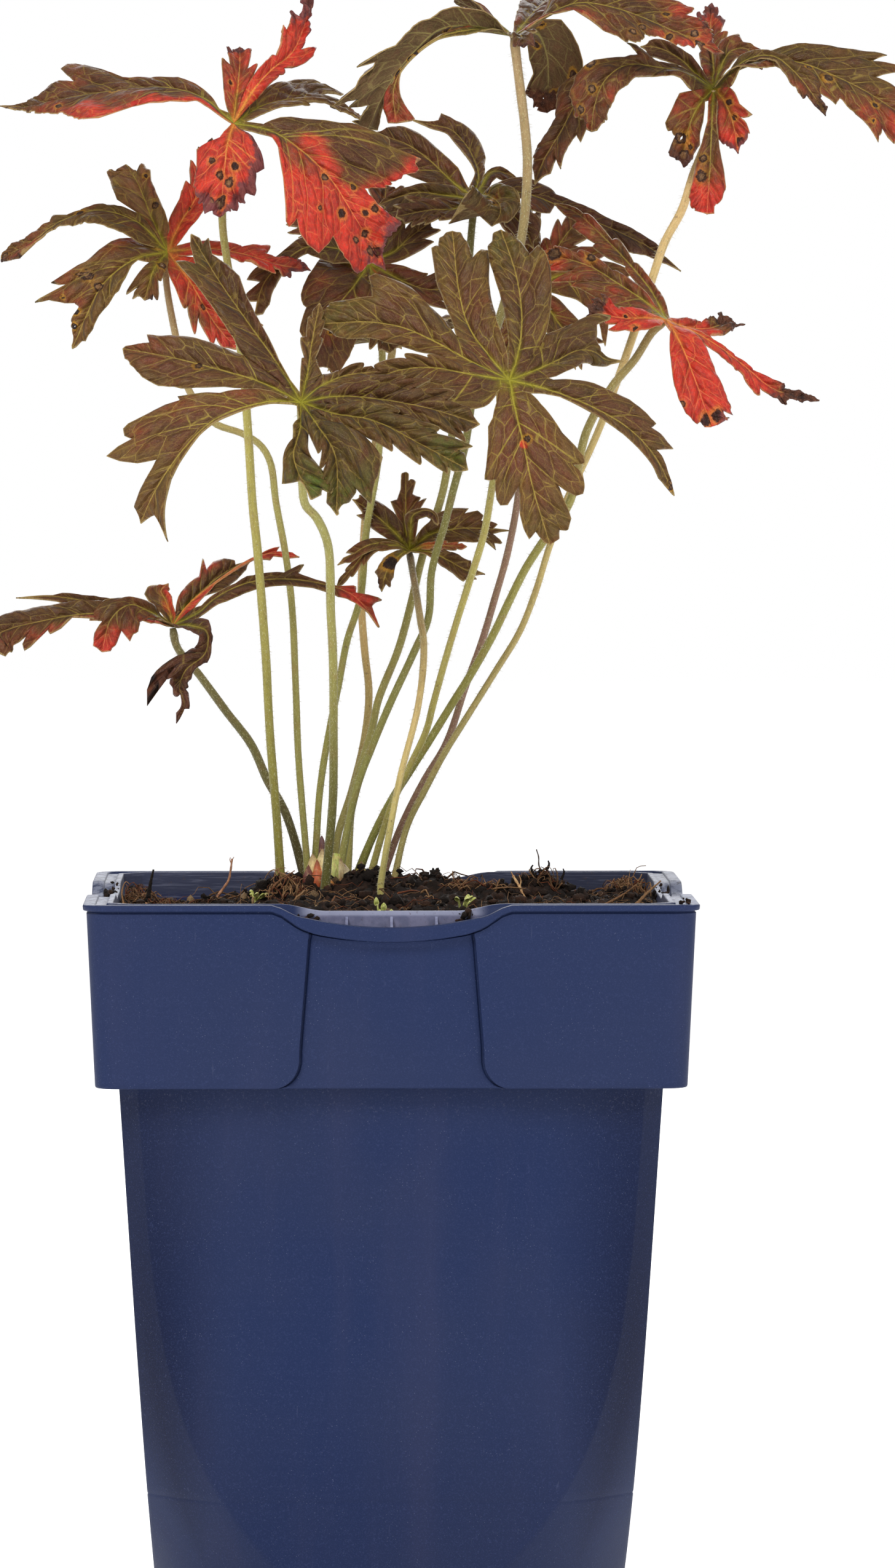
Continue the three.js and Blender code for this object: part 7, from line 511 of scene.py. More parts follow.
def build_leaf(name, spec, number):
    hub = np.array(spec['hub']); hn = np.array(spec['n']); res = spec['res'] * 1.08
    lobes = [Lobe(hub, hn, e, number * 100 + j) for j, e in enumerate(spec['L'])]
    nl = len(lobes)
    # order around the hub
    a1 = nrm(np.cross(hn, (0.3, 0.2, 0.9) if abs(hn[2]) < .9 else (1, 0, 0))); a2 = np.cross(hn, a1)
    ang = []
    for o in lobes:
        d = o.C[NS // 7] - hub; ang.append(math.atan2(d @ a2, d @ a1))
    order = list(np.argsort(ang)); seams = {}
    ids = {o.id: i for i, o in enumerate(lobes)}
    given = {}
    for k, v in spec['web'].items():
        p, q = k.split(); given[(ids[p], ids[q])] = v; given[(ids[q], ids[p])] = v
    # S x N: with N towards the viewer the right side lies clockwise
    for k in range(nl):
        i, j = order[k], order[(k + 1) % nl]
        gap = (ang[j] - ang[i]) % (2 * math.pi)
        if nl > 1 and gap < math.radians(100):
            r = given.get((i, j), .15 * (lobes[i].L + lobes[j].L) / 2 * min(1.5, math.radians(48) / max(gap, .2)))
            r = min(r, .6 * lobes[i].L, .6 * lobes[j].L)
            # which side of lobe i looks at lobe j
            m = .5 * (lobes[i].at(np.array(r))[0] + lobes[j].at(np.array(r))[0])
            si = 1 if (m - lobes[i].at(np.array(r))[0]) @ lobes[i].at(np.array(r))[1] > 0 else 0
            sj = 1 if (m - lobes[j].at(np.array(r))[0]) @ lobes[j].at(np.array(r))[1] > 0 else 0
            if (i, si) in seams or (j, sj) in seams or si == sj: continue
            seams[(i, si)] = (j, r); seams[(j, sj)] = (i, r)
    V, F, A, B, C, D = [], [], [], [], [], []; base = 0
    for li, o in enumerate(lobes):
        e = o.e; rng = o.rng; L = o.L
        start = [None, None]; off = [None, None]; sea = [None, None]
        for side in (0, 1):
            sg = -1 if side == 0 else 1
            if (li, side) in seams:
                j, r = seams[(li, side)]; q = lobes[j]
                M = lambda t, q=q: .5 * (o.at(t)[0] + q.at(t)[0])
                tip = M(np.array(r))
                s0g = np.linspace(.01 * L, .92 * L, 160); wg = np.linspace(.1, o.W * 2.2, 110) * sg
                P = o.pt(s0g[:, None] + 0 * wg[None], wg[None] + 0 * s0g[:, None])[0]
                d = np.linalg.norm(P - tip, axis=2); a, b = np.unravel_index(d.argmin(), d.shape)
                start[side] = (float(s0g[a]), float(abs(wg[b]))); off[side] = tip - P[a, b]; sea[side] = (M, r)
            else:
                start[side] = (0.0, .35)
        # margins
        mar, tips = [], []
        for side in (0, 1):
            if sea[side] is None:
                wb = min(.30 * o.ssin + .5, o.W * .5) * .9; s_, w_, t_ = leaf_margin(o, side, (o.ssin, wb))
                s_ = np.r_[0, s_]; w_ = np.r_[.35, w_]
            else:
                s_, w_, t_ = leaf_margin(o, side, start[side])
            mar.append((s_, w_)); tips.append(t_)
        # side veins on the teeth and between them
        veins = []
        for side in (0, 1):
            v = sorted(tips[side]); lo = start[side][0] if sea[side] else o.ssin * .8
            if sea[side]: v = [start[side][0]] + [t for t in v if t > start[side][0] + 1.5]
            else: v = [t for t in v if t > lo + 1.5]
            out = []; prev = lo
            for t in v:
                g = t - prev; k = int(g // (8.6 + 1.6 * rng.random()))
                for i in range(k): out.append(prev + g * (i + 1) / (k + 1) + rng.uniform(-.3, .3))
                out.append(t); prev = t
            if L - prev > 5: out.append(prev + (L - prev) * .45)
            veins.append(np.array(sorted(out)) if out else np.array([L * .5]))
        keys = np.unique(np.round(np.concatenate([[0.0, L], mar[0][0], mar[1][0], veins[0], veins[1]] + [[start[k][0]] for k in (0, 1)]), 3)); keys = keys[(keys >= 0) & (keys <= L)]
        kk = [keys[0]]
        for x in keys[1:]:
            if x - kk[-1] > .13: kk.append(x)
        if kk[-1] < L: kk[-1] = L
        rows = []
        for a, b in zip(kk[:-1], kk[1:]):
            n = max(1, int(round((b - a) / res))); rows += list(a + (b - a) * np.arange(n) / n)
        rows = np.array(rows + [L]); nr = len(rows)
        nc = int(np.clip(round(o.W * 1.0 / res), 5, 24))
        ragged = [e['d'][0], e['d'][1]]
        grid = {}
        cs, cS, cN = o.at(rows)
        for side in (0, 1):
            sg = -1 if side == 0 else 1
            m = np.interp(rows, mar[side][0], mar[side][1]); m = np.maximum(m, 0)
            dr = np.clip(ragged[side] + e['d'][2] * sm(rows / L, .55, .95), 0, 1)
            m = m * (1 - dr * .38 * vnoise(rows * 1.1 + 7 * li, rows * 0 + side * 9.0, o.seed + 3) * sm(rows, o.ssin, o.ssin + 3))
            f = (np.arange(nc + 1) / nc) ** 1.06
            W2 = m[:, None] * f[None]; S2 = rows[:, None] + 0 * W2
            P, Nv, St = o.pt(S2, W2 * sg)
            fr = f[None] + 0 * W2
            seamw = np.zeros_like(W2)
            if sea[side]:
                M, r = sea[side]; s1 = start[side][0]
                inA = rows <= s1 + 1e-6; tA = rows[inA] * (r / s1); Em = M(tA); c0 = cs[inA]
                P[inA] = c0[:, None] * (1 - f[None, :, None]) + Em[:, None] * f[None, :, None]
                W2[inA] = np.linalg.norm(Em - c0, axis=1)[:, None] * f[None]
                St[inA] = rows[inA][:, None] * (1 - f[None]) + tA[:, None] * f[None]
                fade = (1 - sm(rows, s1, s1 + 5))[:, None]
                dlt = off[side][None, None] * (fade * f[None] ** 2)[:, :, None]; dlt[inA] = 0; P = P + dlt
                seamw = np.where(inA[:, None], 1.0, 1 - sm(rows, s1, s1 + 3.5)[:, None]) * f[None] ** 2
            u = St / L; aw = W2
            # distance to side veins, measured across them
            vs = veins[side]; kfr = o.kf(rows); cosf = 1 / np.sqrt(1 + kfr ** 2)
            dv = np.abs(rows[:, None] - vs[None]) * cosf[:, None]; k1 = dv.argmin(1); dmin = dv.min(1)
            dsec = dmin[:, None] + 0 * W2
            # tissue between side veins swells
            idx = np.searchsorted(vs, rows); lo = np.where(idx > 0, vs[np.maximum(idx - 1, 0)], 0.0); hi = np.where(idx < len(vs), vs[np.minimum(idx, len(vs) - 1)], L)
            ph = np.clip((rows - lo) / np.maximum(hi - lo, .5), 0, 1); size = np.clip((hi - lo) / 5.0, .35, 1.15)
            quilt = (np.sin(np.pi * ph) ** .8 * size)[:, None] * sm(aw, .15, 1.6) * (1 - .65 * sm(fr, .72, 1.0))
            qa = e.get('q', .42)
            W_ = max(o.W, 1.0)
            cup = o.cup * (np.clip(aw / W_, 0, 1.4) ** 1.35) * W_ * .75 + .22 * sm(aw, 0, 1.6)
            curl = -.9 * sm(fr, .80, 1.0) ** 2 * (.35 + .65 * vnoise(St * .16, sg * 3.0 + 0 * St, o.seed + 5)) * sm(St, o.ssin, o.ssin * 2.5)
            wav = (fbm(St * .16 + 3.1 * li, W2 * sg * .16 + 9.7, o.seed + 11, 2) - .5) * 2.4 * sm(aw, .5, 5) * sm(St, o.ssin * .8, o.ssin * 3)
            fine = (fbm(St * .75, W2 * sg * .75, o.seed + 23, 2) - .5) * .42 * sm(aw, .2, 1.2)
            dryv = np.clip(ragged[side] * sm(fr, .45, .95) + e['d'][2] * sm(u, .62, .98), 0, 1)
            crisp = (fbm(St * .55 + 5, W2 * sg * .55 + 2, o.seed + 31, 3) - .5) * 5.0 * dryv
            disp = (quilt * qa + cup + curl + wav + fine + crisp) * sm(St, .8, o.ssin * 1.2 + 1.0) * (1 - seamw)
            disp *= np.minimum(1, .25 + m[:, None] / 3.0)
            P = P + Nv * disp[..., None]
            # margin polyline in (s, w) for the distance to the edge
            ms = rows + o.kf(rows) * m; keep = rows > start[side][0] * (1.0 if sea[side] else 0) + .05
            mp = np.stack([ms[keep], m[keep]], 1)
            de = np.full(W2.shape, 9.0)
            if len(mp) > 1:
                q = np.stack([St, W2], 2).reshape(-1, 1, 2); best = np.full(len(q), 1e9)
                a_, b_ = mp[:-1], mp[1:]; ab = b_ - a_; l2 = np.maximum((ab ** 2).sum(1), 1e-9)
                for c0 in range(0, len(q), 600):
                    qq = q[c0:c0 + 600]; t = np.clip(((qq - a_[None]) * ab[None]).sum(2) / l2[None], 0, 1)
                    best[c0:c0 + 600] = np.sqrt((((a_[None] + t[..., None] * ab[None]) - qq) ** 2).sum(2)).min(1)
                de = best.reshape(W2.shape)
            # colour fields
            r = e['r']; redv = r[0] + (r[1 + side] - r[0]) * sm(fr, .15, .85); redv = redv + (r[3] - redv) * sm(u, *e.get('ru', (.55, .95)))
            if 'rh' in e: redv = redv + (e['rh'] - redv) * (1 - sm(u, .12, .34)) * (1.0 if side == 0 else .55)
            g = e['g']; grv = g[0] + (g[1] - g[0]) * sm(u, .6, .97)
            # tone is the darkness: partly the leaf's own brown, partly painted shade (the leaves behind, and the shaded
            # half of a lobe through ke)
            tone = np.clip(e['k'] + (e['ke'][side] if 'ke' in e else 0) * sm(fr, .1, .6), -1, 1)
            spot = np.full(W2.shape, 4.0)
            for (su, sv, sr, kind) in e.get('sp', []):
                sp_s = su * L; mloc = np.interp(sp_s, rows, m)
                s_t = sp_s + float(o.kf(np.array(sp_s))) * abs(sv) * mloc
                d = np.hypot((St - s_t) * .9, (W2 * sg - sv * mloc)) / (sr * (1 + .35 * (vnoise(np.arctan2(W2 * sg - sv * mloc, St - s_t) * 1.3 + 9, St * 0 + su * 31, o.seed) - .5)))
                spot = np.minimum(spot, d)
            if 'rp' in e:
                d = np.hypot(St - e['rp'][0] * L, W2 * sg - e['rp'][1]) / e['rp'][2]; redv = np.maximum(redv, 1.0 * (1 - sm(d, .35, 1.1)))
            grid[side] = dict(P=P, s=St, w=W2 * sg, d=dsec, e=de, red=redv, spot=spot, tone=tone, u=u, dry=dryv, g=grv, fr=fr)
        # join the two sides at the midrib
        G = {}
        for k in grid[0]:
            G[k] = np.concatenate([grid[0][k][:, :0:-1], grid[1][k]], 1)
        mid = nc
        P = G['P']; P[:, mid] = cs
        ncol = P.shape[1]; nv = nr * ncol
        V.append(P.reshape(-1, 3))
        left = G['w'] < 0
        A.append(np.stack([G['s'], G['w'], np.full(G['s'].shape, float(number * 10 + li))], 2).reshape(-1, 3))
        # each vertex carries the nearest side vein on the left and on the right; on the midrib both
        dl = np.concatenate([grid[0]['d'][:, :0:-1], grid[0]['d'][:, :1], np.repeat(grid[0]['d'][:, :1], nc, 1)], 1)
        dr_ = np.concatenate([np.repeat(grid[1]['d'][:, :1], nc, 1), grid[1]['d']], 1)
        B.append(np.stack([dl, dr_, G['e']], 2).reshape(-1, 3))
        C.append(np.stack([G['red'], G['spot'], G['tone']], 2).reshape(-1, 3))
        D.append(np.stack([G['u'], G['dry'], G['g']], 2).reshape(-1, 3))
        i, j = np.meshgrid(np.arange(nr - 1), np.arange(ncol - 1), indexing='ij'); a = (i * ncol + j).ravel() + base
        F.append(np.stack([a, a + ncol, a + ncol + 1, a + 1], 1)); base += nv
    V = np.vstack(V); F = np.vstack(F); A, B, C, D = map(np.vstack, (A, B, C, D))
    # merge vertices that coincide
    key = np.round(V / .004).astype(np.int64); _, first, inv = np.unique(key, axis=0, return_index=True, return_inverse=True); inv = inv.ravel()
    Vm = V[first]; Fm = inv[F]
    # holes: faces wholly inside a hole go
    hl = np.zeros(len(V), bool)
    lobid = (A[:, 2] - number * 10).round().astype(int)
    for li, e in enumerate(spec['L']):
        sel = lobid == li
        for (su, sv, sr, kind) in e.get('sp', []):
            if kind == 1:
                o = lobes[li]
                # nearest vertex marks: the spot value is normalised, so the place is found again from its middle
                ms = C[:, 1] < .5
                s_c = su * o.L; cand = sel & ms & (np.abs(A[:, 0] - s_c) < o.W * 1.6 + 3)
                hl |= cand & (np.sign(A[:, 1]) == (np.sign(sv) if sv != 0 else np.sign(A[:, 1]))) & (np.abs(A[:, 0] - s_c - float(o.kf(np.array(s_c))) * np.abs(A[:, 1])) < sr * 1.6)
    dead = hl[F].all(1)
    keep = ~dead
    F = F[keep]; Fm = Fm[keep]
    # faces with corners that coincide become triangles or go
    faces, corn = [], []
    for fu, fm in zip(F.tolist(), Fm.tolist()):
        k = [x for x in range(4) if fm[x] != fm[(x + 1) % 4]]
        if len(k) < 3 or len(set(fm[x] for x in k)) < len(k):
            k2 = []
            for x in k:
                if fm[x] not in [fm[y] for y in k2]: k2.append(x)
            k = k2
            if len(k) < 3: continue
        faces.append([fm[x] for x in k]); corn.append([fu[x] for x in k])
    used = np.zeros(len(Vm), bool)
    for f in faces:
        for x in f: used[x] = True
    remap = np.cumsum(used) - 1; Vm = Vm[used]; faces = [[int(remap[x]) for x in f] for f in faces]
    # vertex normals
    tri = np.array([(f[0], f[k], f[k + 1]) for f in faces for k in range(1, len(f) - 1)])
    fn = np.cross(Vm[tri[:, 1]] - Vm[tri[:, 0]], Vm[tri[:, 2]] - Vm[tri[:, 0]]); N = np.zeros_like(Vm)
    for c in range(3): np.add.at(N, tri[:, c], fn)
    N = nrm(N)
    # one source vertex for each merged vertex
    src = np.zeros(len(used), int); src[inv] = np.arange(len(inv)); src = src[used]
    aw = np.abs(A[src, 1]); uu = D[src, 0]
    th = .13
    ridge = .34 * np.exp(-(aw / .42) ** 2) * (1 - sm(uu, .1, .95)) * sm(A[src, 0], 0, 2)
    up = flip_sign(Vm, N, lobes, A[src], number)
    top = Vm + N * up * th; bot = Vm - N * up * (th + ridge)[:, None]
    n = len(Vm); VV = np.vstack([top, bot]); FF, CC, MI = [], [], []
    for f, c in zip(faces, corn):
        if up > 0: FF.append(f); CC.append(c); FF.append([x + n for x in f[::-1]]); CC.append(c[::-1])
        else: FF.append(f[::-1]); CC.append(c[::-1]); FF.append([x + n for x in f]); CC.append(c)
        MI += [0, 1]
    edge = {}
    for f, c in zip(faces, corn):
        m = len(f)
        for k in range(m):
            a, b = f[k], f[(k + 1) % m]
            if (b, a) in edge: del edge[(b, a)]
            else: edge[(a, b)] = (c[k], c[(k + 1) % m])
    for (a, b), (ca, cb) in edge.items():
        if up > 0: FF.append([b, a, a + n, b + n]); CC.append([cb, ca, ca, cb])
        else: FF.append([a, b, b + n, a + n]); CC.append([ca, cb, cb, ca])
        MI.append(0)
    me = bpy.data.meshes.new('blade_' + name)
    me.from_pydata((VV * MM).tolist(), [], FF)
    for k in MATS_LEAF: me.materials.append(k)
    me.polygons.foreach_set('material_index', np.array(MI, np.int32)); me.polygons.foreach_set('use_smooth', np.ones(len(FF), bool))
    ci = np.array([x for c in CC for x in c])
    for nm, arr in (('lfA', A), ('lfB', B), ('lfC', C), ('lfD', D)):
        at = me.attributes.new(nm, 'FLOAT_VECTOR', 'CORNER'); at.data.foreach_set('vector', arr[ci].astype(np.float32).ravel())
    me.update()
    ob = bpy.data.objects.new('blade_' + name, me); bpy.context.scene.collection.objects.link(ob)
    edges = list(edge.keys())
    return ob, dict(top=Vm, N=N * up, rim=edges, aw=aw, u=uu, lob=A[src, 2], lobes=lobes)

def flip_sign(Vm, N, lobes, Asrc, number):
    """+1 if the computed normals lie with the upper face"""
    t = 0.0
    for li, o in enumerate(lobes):
        sel = (np.abs(Asrc[:, 2] - number * 10 - li) < .5) & (Asrc[:, 0] < .8 * o.L)
        if sel.any(): t += float((N[sel] * o.at(Asrc[sel, 0])[2]).sum())
    return 1 if t >= 0 else -1
LEAF_UP = leaf_material('leaf_upper'); LEAF_LO = leaf_material('leaf_under', under=True)
MATS_LEAF = [LEAF_UP, LEAF_LO]
info = {}
for number, (name, spec) in enumerate(LEAVES.items()):
    ob, inf = build_leaf(name, spec, number); info[name] = inf
    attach(ob, 'root'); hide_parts('leaf_' + name)
# ------------------------------------------------------------------ petioles
def petiole_material():
    k = Nodes('petiole_skin'); col = k.attr('pcol').outputs['Color']; t, a, r = k.xyz(k.attr('ppar').outputs['Vector'])
    P = k.obj(); st = k.vec(k.m('MULTIPLY', a, 2.2), k.m('MULTIPLY', t, .09), r)
    n1 = k.noise(st, 2.0, 3.0); n2 = k.noise(P, 2.4, 3.0, .6); n3 = k.noise(P, .25, 2.0)
    col = k.mix(k.m('MULTIPLY', k.step(n1, .45, .75), .38), col, srgb(98, 92, 34))
    col = k.mix(k.m('MULTIPLY', k.step(n3, .52, .78), .30), col, srgb(150, 108, 66))
    col = k.mix(k.m('MULTIPLY', k.step(n2, .56, .72), .30), col, srgb(206, 200, 140))
    col = k.mix(k.m('MULTIPLY', k.step(k.noise(P, 1.1, 2.0), .66, .74), .5), col, srgb(92, 56, 34))
    dash = k.noise(k.vec(k.m('MULTIPLY', a, 5.0), k.m('MULTIPLY', t, 1.5), k.m('MULTIPLY', r, 5.0)), 1.0, 2.0, .6, .6)
    col = k.mix(k.m('MULTIPLY', k.step(dash, .60, .70), .50), col, srgb(222, 222, 176)); col = k.mix(k.m('MULTIPLY', k.step(dash, .40, .28), .32), col, srgb(58, 60, 22))
    nb = k.bump(k.m('ADD', n1, k.m('MULTIPLY', n2, .5)), .35, .0003)
    p = k.principled(col, .52, nb); pn = p.node; pn.inputs['Specular IOR Level'].default_value = .35; pn.inputs['Subsurface Weight'].default_value = .05
    pn.inputs['Subsurface Radius'].default_value = (.002, .0015, .0006); pn.inputs['Sheen Weight'].default_value = .25
    return k.done(p)
def hair_material():
    k = Nodes('hair_pale'); p = k.principled(srgb(236, 232, 208), .5); tr = k.n('BsdfTranslucent'); tr.inputs[0].default_value = srgb(245, 240, 220)
    mx = k.n('MixShader'); mx.inputs[0].default_value = .5; k.t.links.new(p, mx.inputs[1]); k.t.links.new(tr.outputs[0], mx.inputs[2]); return k.done(mx.outputs[0])
M_PET = petiole_material(); M_HAIR = hair_material()

def spikes(P, Dr, length, radius, rng, bend=.25):
    """thin three-sided hairs at P along Dr"""
    n = len(P); Dr = nrm(Dr); a = nrm(np.cross(Dr, rng.normal(size=(n, 3)))); b = np.cross(Dr, a); V = []
    length = np.broadcast_to(length, (n,))[:, None]
    for i in range(3):
        an = i / 3 * 2 * math.pi; V.append(P + radius * (math.cos(an) * a + math.sin(an) * b) - Dr * .05)
    V.append(P + Dr * length + a * length * bend * rng.uniform(-1, 1, (n, 1)))
    V = np.stack(V, 1).reshape(-1, 3); F = []
    for i in range(n):
        o = i * 4; F += [(o, o + 1, o + 3), (o + 1, o + 2, o + 3), (o + 2, o, o + 3), (o, o + 2, o + 1)]
    return V, F

STALK = { # colour near the blade, in the middle, near the soil; hair length
 'red_upper_left': ((142, 128, 62), (172, 160, 78), (142, 134, 52), .6), 'left': ((162, 130, 90), (158, 148, 78), (148, 142, 70), .55),
 'lower_left': ((112, 100, 54), (106, 98, 48), (88, 78, 40), .65), 'front_left': ((160, 152, 84), (156, 148, 76), (96, 92, 36), .65),
 'brown_behind_left': ((160, 146, 84), (152, 146, 74), (144, 138, 66), .75), 'rear': ((168, 142, 88), (188, 154, 96), (150, 140, 76), .55),
 'top_centre': ((166, 138, 96), (112, 106, 46), (142, 138, 68), .85), 'dark_centre': ((100, 92, 40), (140, 130, 66), (150, 142, 74), .65),
 'front_right': ((148, 138, 64), (174, 160, 80), (158, 148, 74), .65), 'small_centre': ((96, 76, 48), (202, 174, 112), (196, 184, 106), .65),
 'brown_behind_right': ((112, 86, 70), (140, 106, 88), (132, 94, 78), .5), 'right_red': ((152, 132, 76), (146, 138, 62), (130, 128, 52), .65),
 'top_right': ((206, 172, 118), (194, 170, 106), (160, 146, 84), .75)}
for pi_, (name, d) in enumerate(PETIOLES.items()):
    rng = np.random.default_rng(500 + pi_)
    P = np.array(d['P'], float); hubn = nrm(np.array(LEAVES[name]['n'], float))
    P[0] = np.array(LEAVES[name]['hub']) - hubn * .35
    P = np.vstack([P, P[-1] + nrm(P[-1] - P[-2]) * 5.0 + np.array([0, 0, -1.0])])
    n = 110; C = spline(P, n); L = np.linalg.norm(np.diff(C, axis=0), axis=1).sum(); t = np.linspace(0, L, n)
    wob = np.stack([vnoise(t * .05 + 3, t * 0 + pi_, 5), vnoise(t * .05 + 9, t * 0 + pi_, 6), vnoise(t * .05, t * 0, 7)], 1) - .5
    C = C + wob * .45 * sm(t, 5, 30)[:, None] * (1 - sm(t, L - 30, L - 8))[:, None]
    R = (d['r'] + (d['low'] - d['r']) * sm(t, L * .10, L * .60)) * (.90 + .08 * sm(t, 0, L * .4) + .12 * np.exp(-(t / 3.0) ** 2) - .30 * np.exp(-(t / .9) ** 2) + .22 * sm(t, L - 14, L)) * (1 + .05 * (vnoise(t * .3, t * 0 + pi_, 8) - .5))
    S = Soup(('pcol', 'ppar')); V, F = tube(C, R, 14)
    c3 = [np.array(srgb(*c)[:3]) for c in STALK[name][:3]]; u = t / L
    col = np.where(u[:, None] < .45, c3[0] + (c3[1] - c3[0]) * sm(u, .0, .45)[:, None], c3[1] + (c3[2] - c3[1]) * sm(u, .45, .95)[:, None])
    ring = np.repeat(col, 14, 0); ring = np.vstack([ring, col[:1], col[-1:]]); tt = np.r_[np.repeat(t, 14), t[0], t[-1]]; aa = np.r_[np.tile(np.arange(14) / 14 * 2 * np.pi, n), 0, 0]
    S.add(V, F, 0, pcol=ring, ppar=np.stack([tt, np.sin(aa), np.cos(aa) + pi_ * 3.1], 1))
    T, Nn, B = frames(C); m = int(L * (6.5)); i = rng.integers(2, n - 6, m); f = rng.random(m)[:, None]; an = rng.uniform(0, 2 * np.pi, m)[:, None]
    dr = np.cos(an) * Nn[i] + np.sin(an) * B[i]; pp = C[i] * (1 - f) + C[i + 1] * f + dr * (R[i][:, None] - .02)
    ln = STALK[name][3] * rng.uniform(.35, 1.25, m) * (.75 + .6 * vnoise(t[i] * .03, t[i] * 0 + pi_, 4))
    V, F = spikes(pp, dr + T[i] * rng.uniform(.0, .7, (m, 1)), ln, .046, rng)
    S.add(V, F, 1)
    ob = S.build('stalk_' + name, [M_PET, M_HAIR]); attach(ob, 'root'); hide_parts('petiole_' + name)
# short hairs along the blade margins
for name, inf in info.items():
    rng = np.random.default_rng(900 + len(name)); top = inf['top']; N_ = inf['N']; E = np.array(inf['rim'])
    if len(E) < 3: continue
    a, b = top[E[:, 0]], top[E[:, 1]]; ln = np.linalg.norm(b - a, axis=1); keep = (ln < 2.5) & (ln > .02); a, b, ln, E = a[keep], b[keep], ln[keep], E[keep]
    m = int(ln.sum() * (1.1)); i = rng.choice(len(ln), m, p=ln / ln.sum()); f = rng.random((m, 1)); P = a[i] * (1 - f) + b[i] * f
    out = nrm(np.cross(b[i] - a[i], N_[E[i, 0]])); s_ = np.sign((out * (P - top.mean(0))).sum(1)).mean(); out = out if s_ >= 0 else -out
    # hairs point away from the blade: outward is taken against the middle point of the whole blade
    V, F = spikes(P, out + .5 * rng.normal(size=(m, 3)) * .5, rng.uniform(.18, .62, m), .018, rng); S = Soup(); S.add(V, F)
    ob = S.build('fringe_' + name, [M_HAIR]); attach(ob, 'root')
# ------------------------------------------------------------------ pot
Z_RIM, Z_LOW, Z_LEDGE = 155.0, 115.7, 152.2
def body_half(z): return 51.0 + .0622 * z
CONE = np.array([[0, 51.8], [7, 55.0], [14.7, 58.6], [24.8, 63.4], [38.6, 68.5], [57, 72.9], [80, 76.1], [117, 79.6], [156, 82.4]])
_cz = np.linspace(0, 156, 79); _cr = np.interp(_cz, CONE[:, 0], CONE[:, 1]); _k = np.ones(9) / 9
_cs = np.convolve(np.pad(_cr, 4, mode='reflect', reflect_type='odd'), _k, 'valid')
def cone(z): return float(np.interp(z, _cz, _cs))
def collar_half(z): return 63.2 + 1.8 * (z - Z_LOW) / (Z_RIM - Z_LOW)
def rim_dip(t):
    t = abs(t)
    if t >= 26: return 0.0
    if t >= 18.3: return 2.7 * (1 - float(sm(t, 18.3, 26)))
    return 2.7 + 2.1 * (1 - (t / 18.3) ** 2)
def inner_dip(t): return 1.5 * (1 - float(sm(abs(t), 14, 24)))
def panel_edge(z):
    """half width of the recessed panel: the raised pads beside it have rounded lower corners"""
    e = 17.6 + 2.1 * min(1.0, max(0.0, (150.0 - z) / 26.0))
    if z < 122.0: e += 5.6 * (1 - math.sqrt(max(0.0, 1 - ((122.0 - z) / 6.3) ** 2)))
    return e
STEP = [(-1.6, 1.0), (-.75, 1.0), (-.62, 1.12), (-.52, 1.45), (-.26, 1.5), (-.14, 1.42), (-.10, 1.0), (-.06, .35), (-.02, .08), (.10, 0.0), (.4, 0.0)]
PANEL_T = [0, 2.5, 5, 7.5, 9.55, 11.5, 13.2, 14.1, 14.35, 14.6, 15.4]
OUT_T = [19.6, 21, 22.5, 24, 26, 29, 33, 37, 41, 45, 49, 53, 56, 58.2, 59.4]
NT = len(PANEL_T) + len(STEP) + len(OUT_T); NARC = 12
def depth_at(i, plain=False):
    if plain: return 0.0
    if i < len(PANEL_T): return 1.0
    if i < len(PANEL_T) + len(STEP): return STEP[i - len(PANEL_T)][1]
    return 0.0
def side_t(z, flat, panel=True):
    """positions across half a side; flat is where the straight part ends"""
    e = panel_edge(z) if panel else 18.0
    out = [t * min(1.0, (e - 2.2) / 15.4) if t > 14.61 else t for t in PANEL_T] + [e + o for o, _ in STEP]
    return out + [e + .7 + (t - 19.0) * (flat - e - .7) / (59.4 - 19.0) for t in OUT_T]
def ring_points(half, arc, zf, flat, z_for_panel=None, inset=None, panel=True):
    """one ring of the pot: straight sides at half, corners along arc(t in 0..1) from the end of the flat to the diagonal"""
    ts = side_t(z_for_panel if z_for_panel is not None else 150, flat, panel); pts = []
    halfside = [(t, half - (inset(i) if inset else 0)) for i, t in enumerate(ts)] + [arc(j / NARC) for j in range(1, NARC + 1)]
    full = [(-a, b) for a, b in halfside[:0:-1]] + halfside  # from one diagonal to the other
    full = full[:-1]
    tv = [abs(a) for a, b in full]
    for s in range(4):
        c, sn = math.cos(s * math.pi / 2), math.sin(s * math.pi / 2)
        for (a, b), t in zip(full, tv):
            x, y = a, -b; pts.append((x * c - y * sn, x * sn + y * c, zf(t)))
    return pts
def arc_round(half, r):
    def f(u):
        a = u * math.pi / 4; cx = half - r; return (cx + r * math.sin(a), cx + r * math.cos(a))
    return f
def arc_cone(half, R):
    tc = math.sqrt(max(1.0, R * R - half * half)); a0 = math.atan2(tc, half)
    def f(u):
        a = a0 + (math.pi / 4 - a0) * u; return (R * math.sin(a), R * math.cos(a))
    return f, tc
def body_ring(z, inset=0.0, zf=None, groove=0.0):
    h = body_half(z) - inset - groove; R = cone(z) - inset - groove; f, tc = arc_cone(h, R)
    return ring_points(h, f, zf or (lambda t: z), min(tc, h) - .02, None, None, False)
def collar_ring(zf, inset, zh, rc=5.0, pad=True):
    """inset(t index) is taken from the collar's outer face"""
    h = collar_half(zh); ins = lambda i: inset + (depth_at(i) if pad else 0.0)
    g = h - inset
    return ring_points(h, arc_round(g, max(rc - inset, .6)), zf, g - max(rc - inset, .6), zh, ins)
def bead_z(t): return 153.6 - 1.7 * (1 - float(sm(t, 15.5, 25)))
rings = [body_ring(0.0, 1.1), body_ring(.25, .45), body_ring(.9, .05), body_ring(2, 0)]
for z in list(np.arange(4, 25.2, 1.5)) : rings.append(body_ring(z))
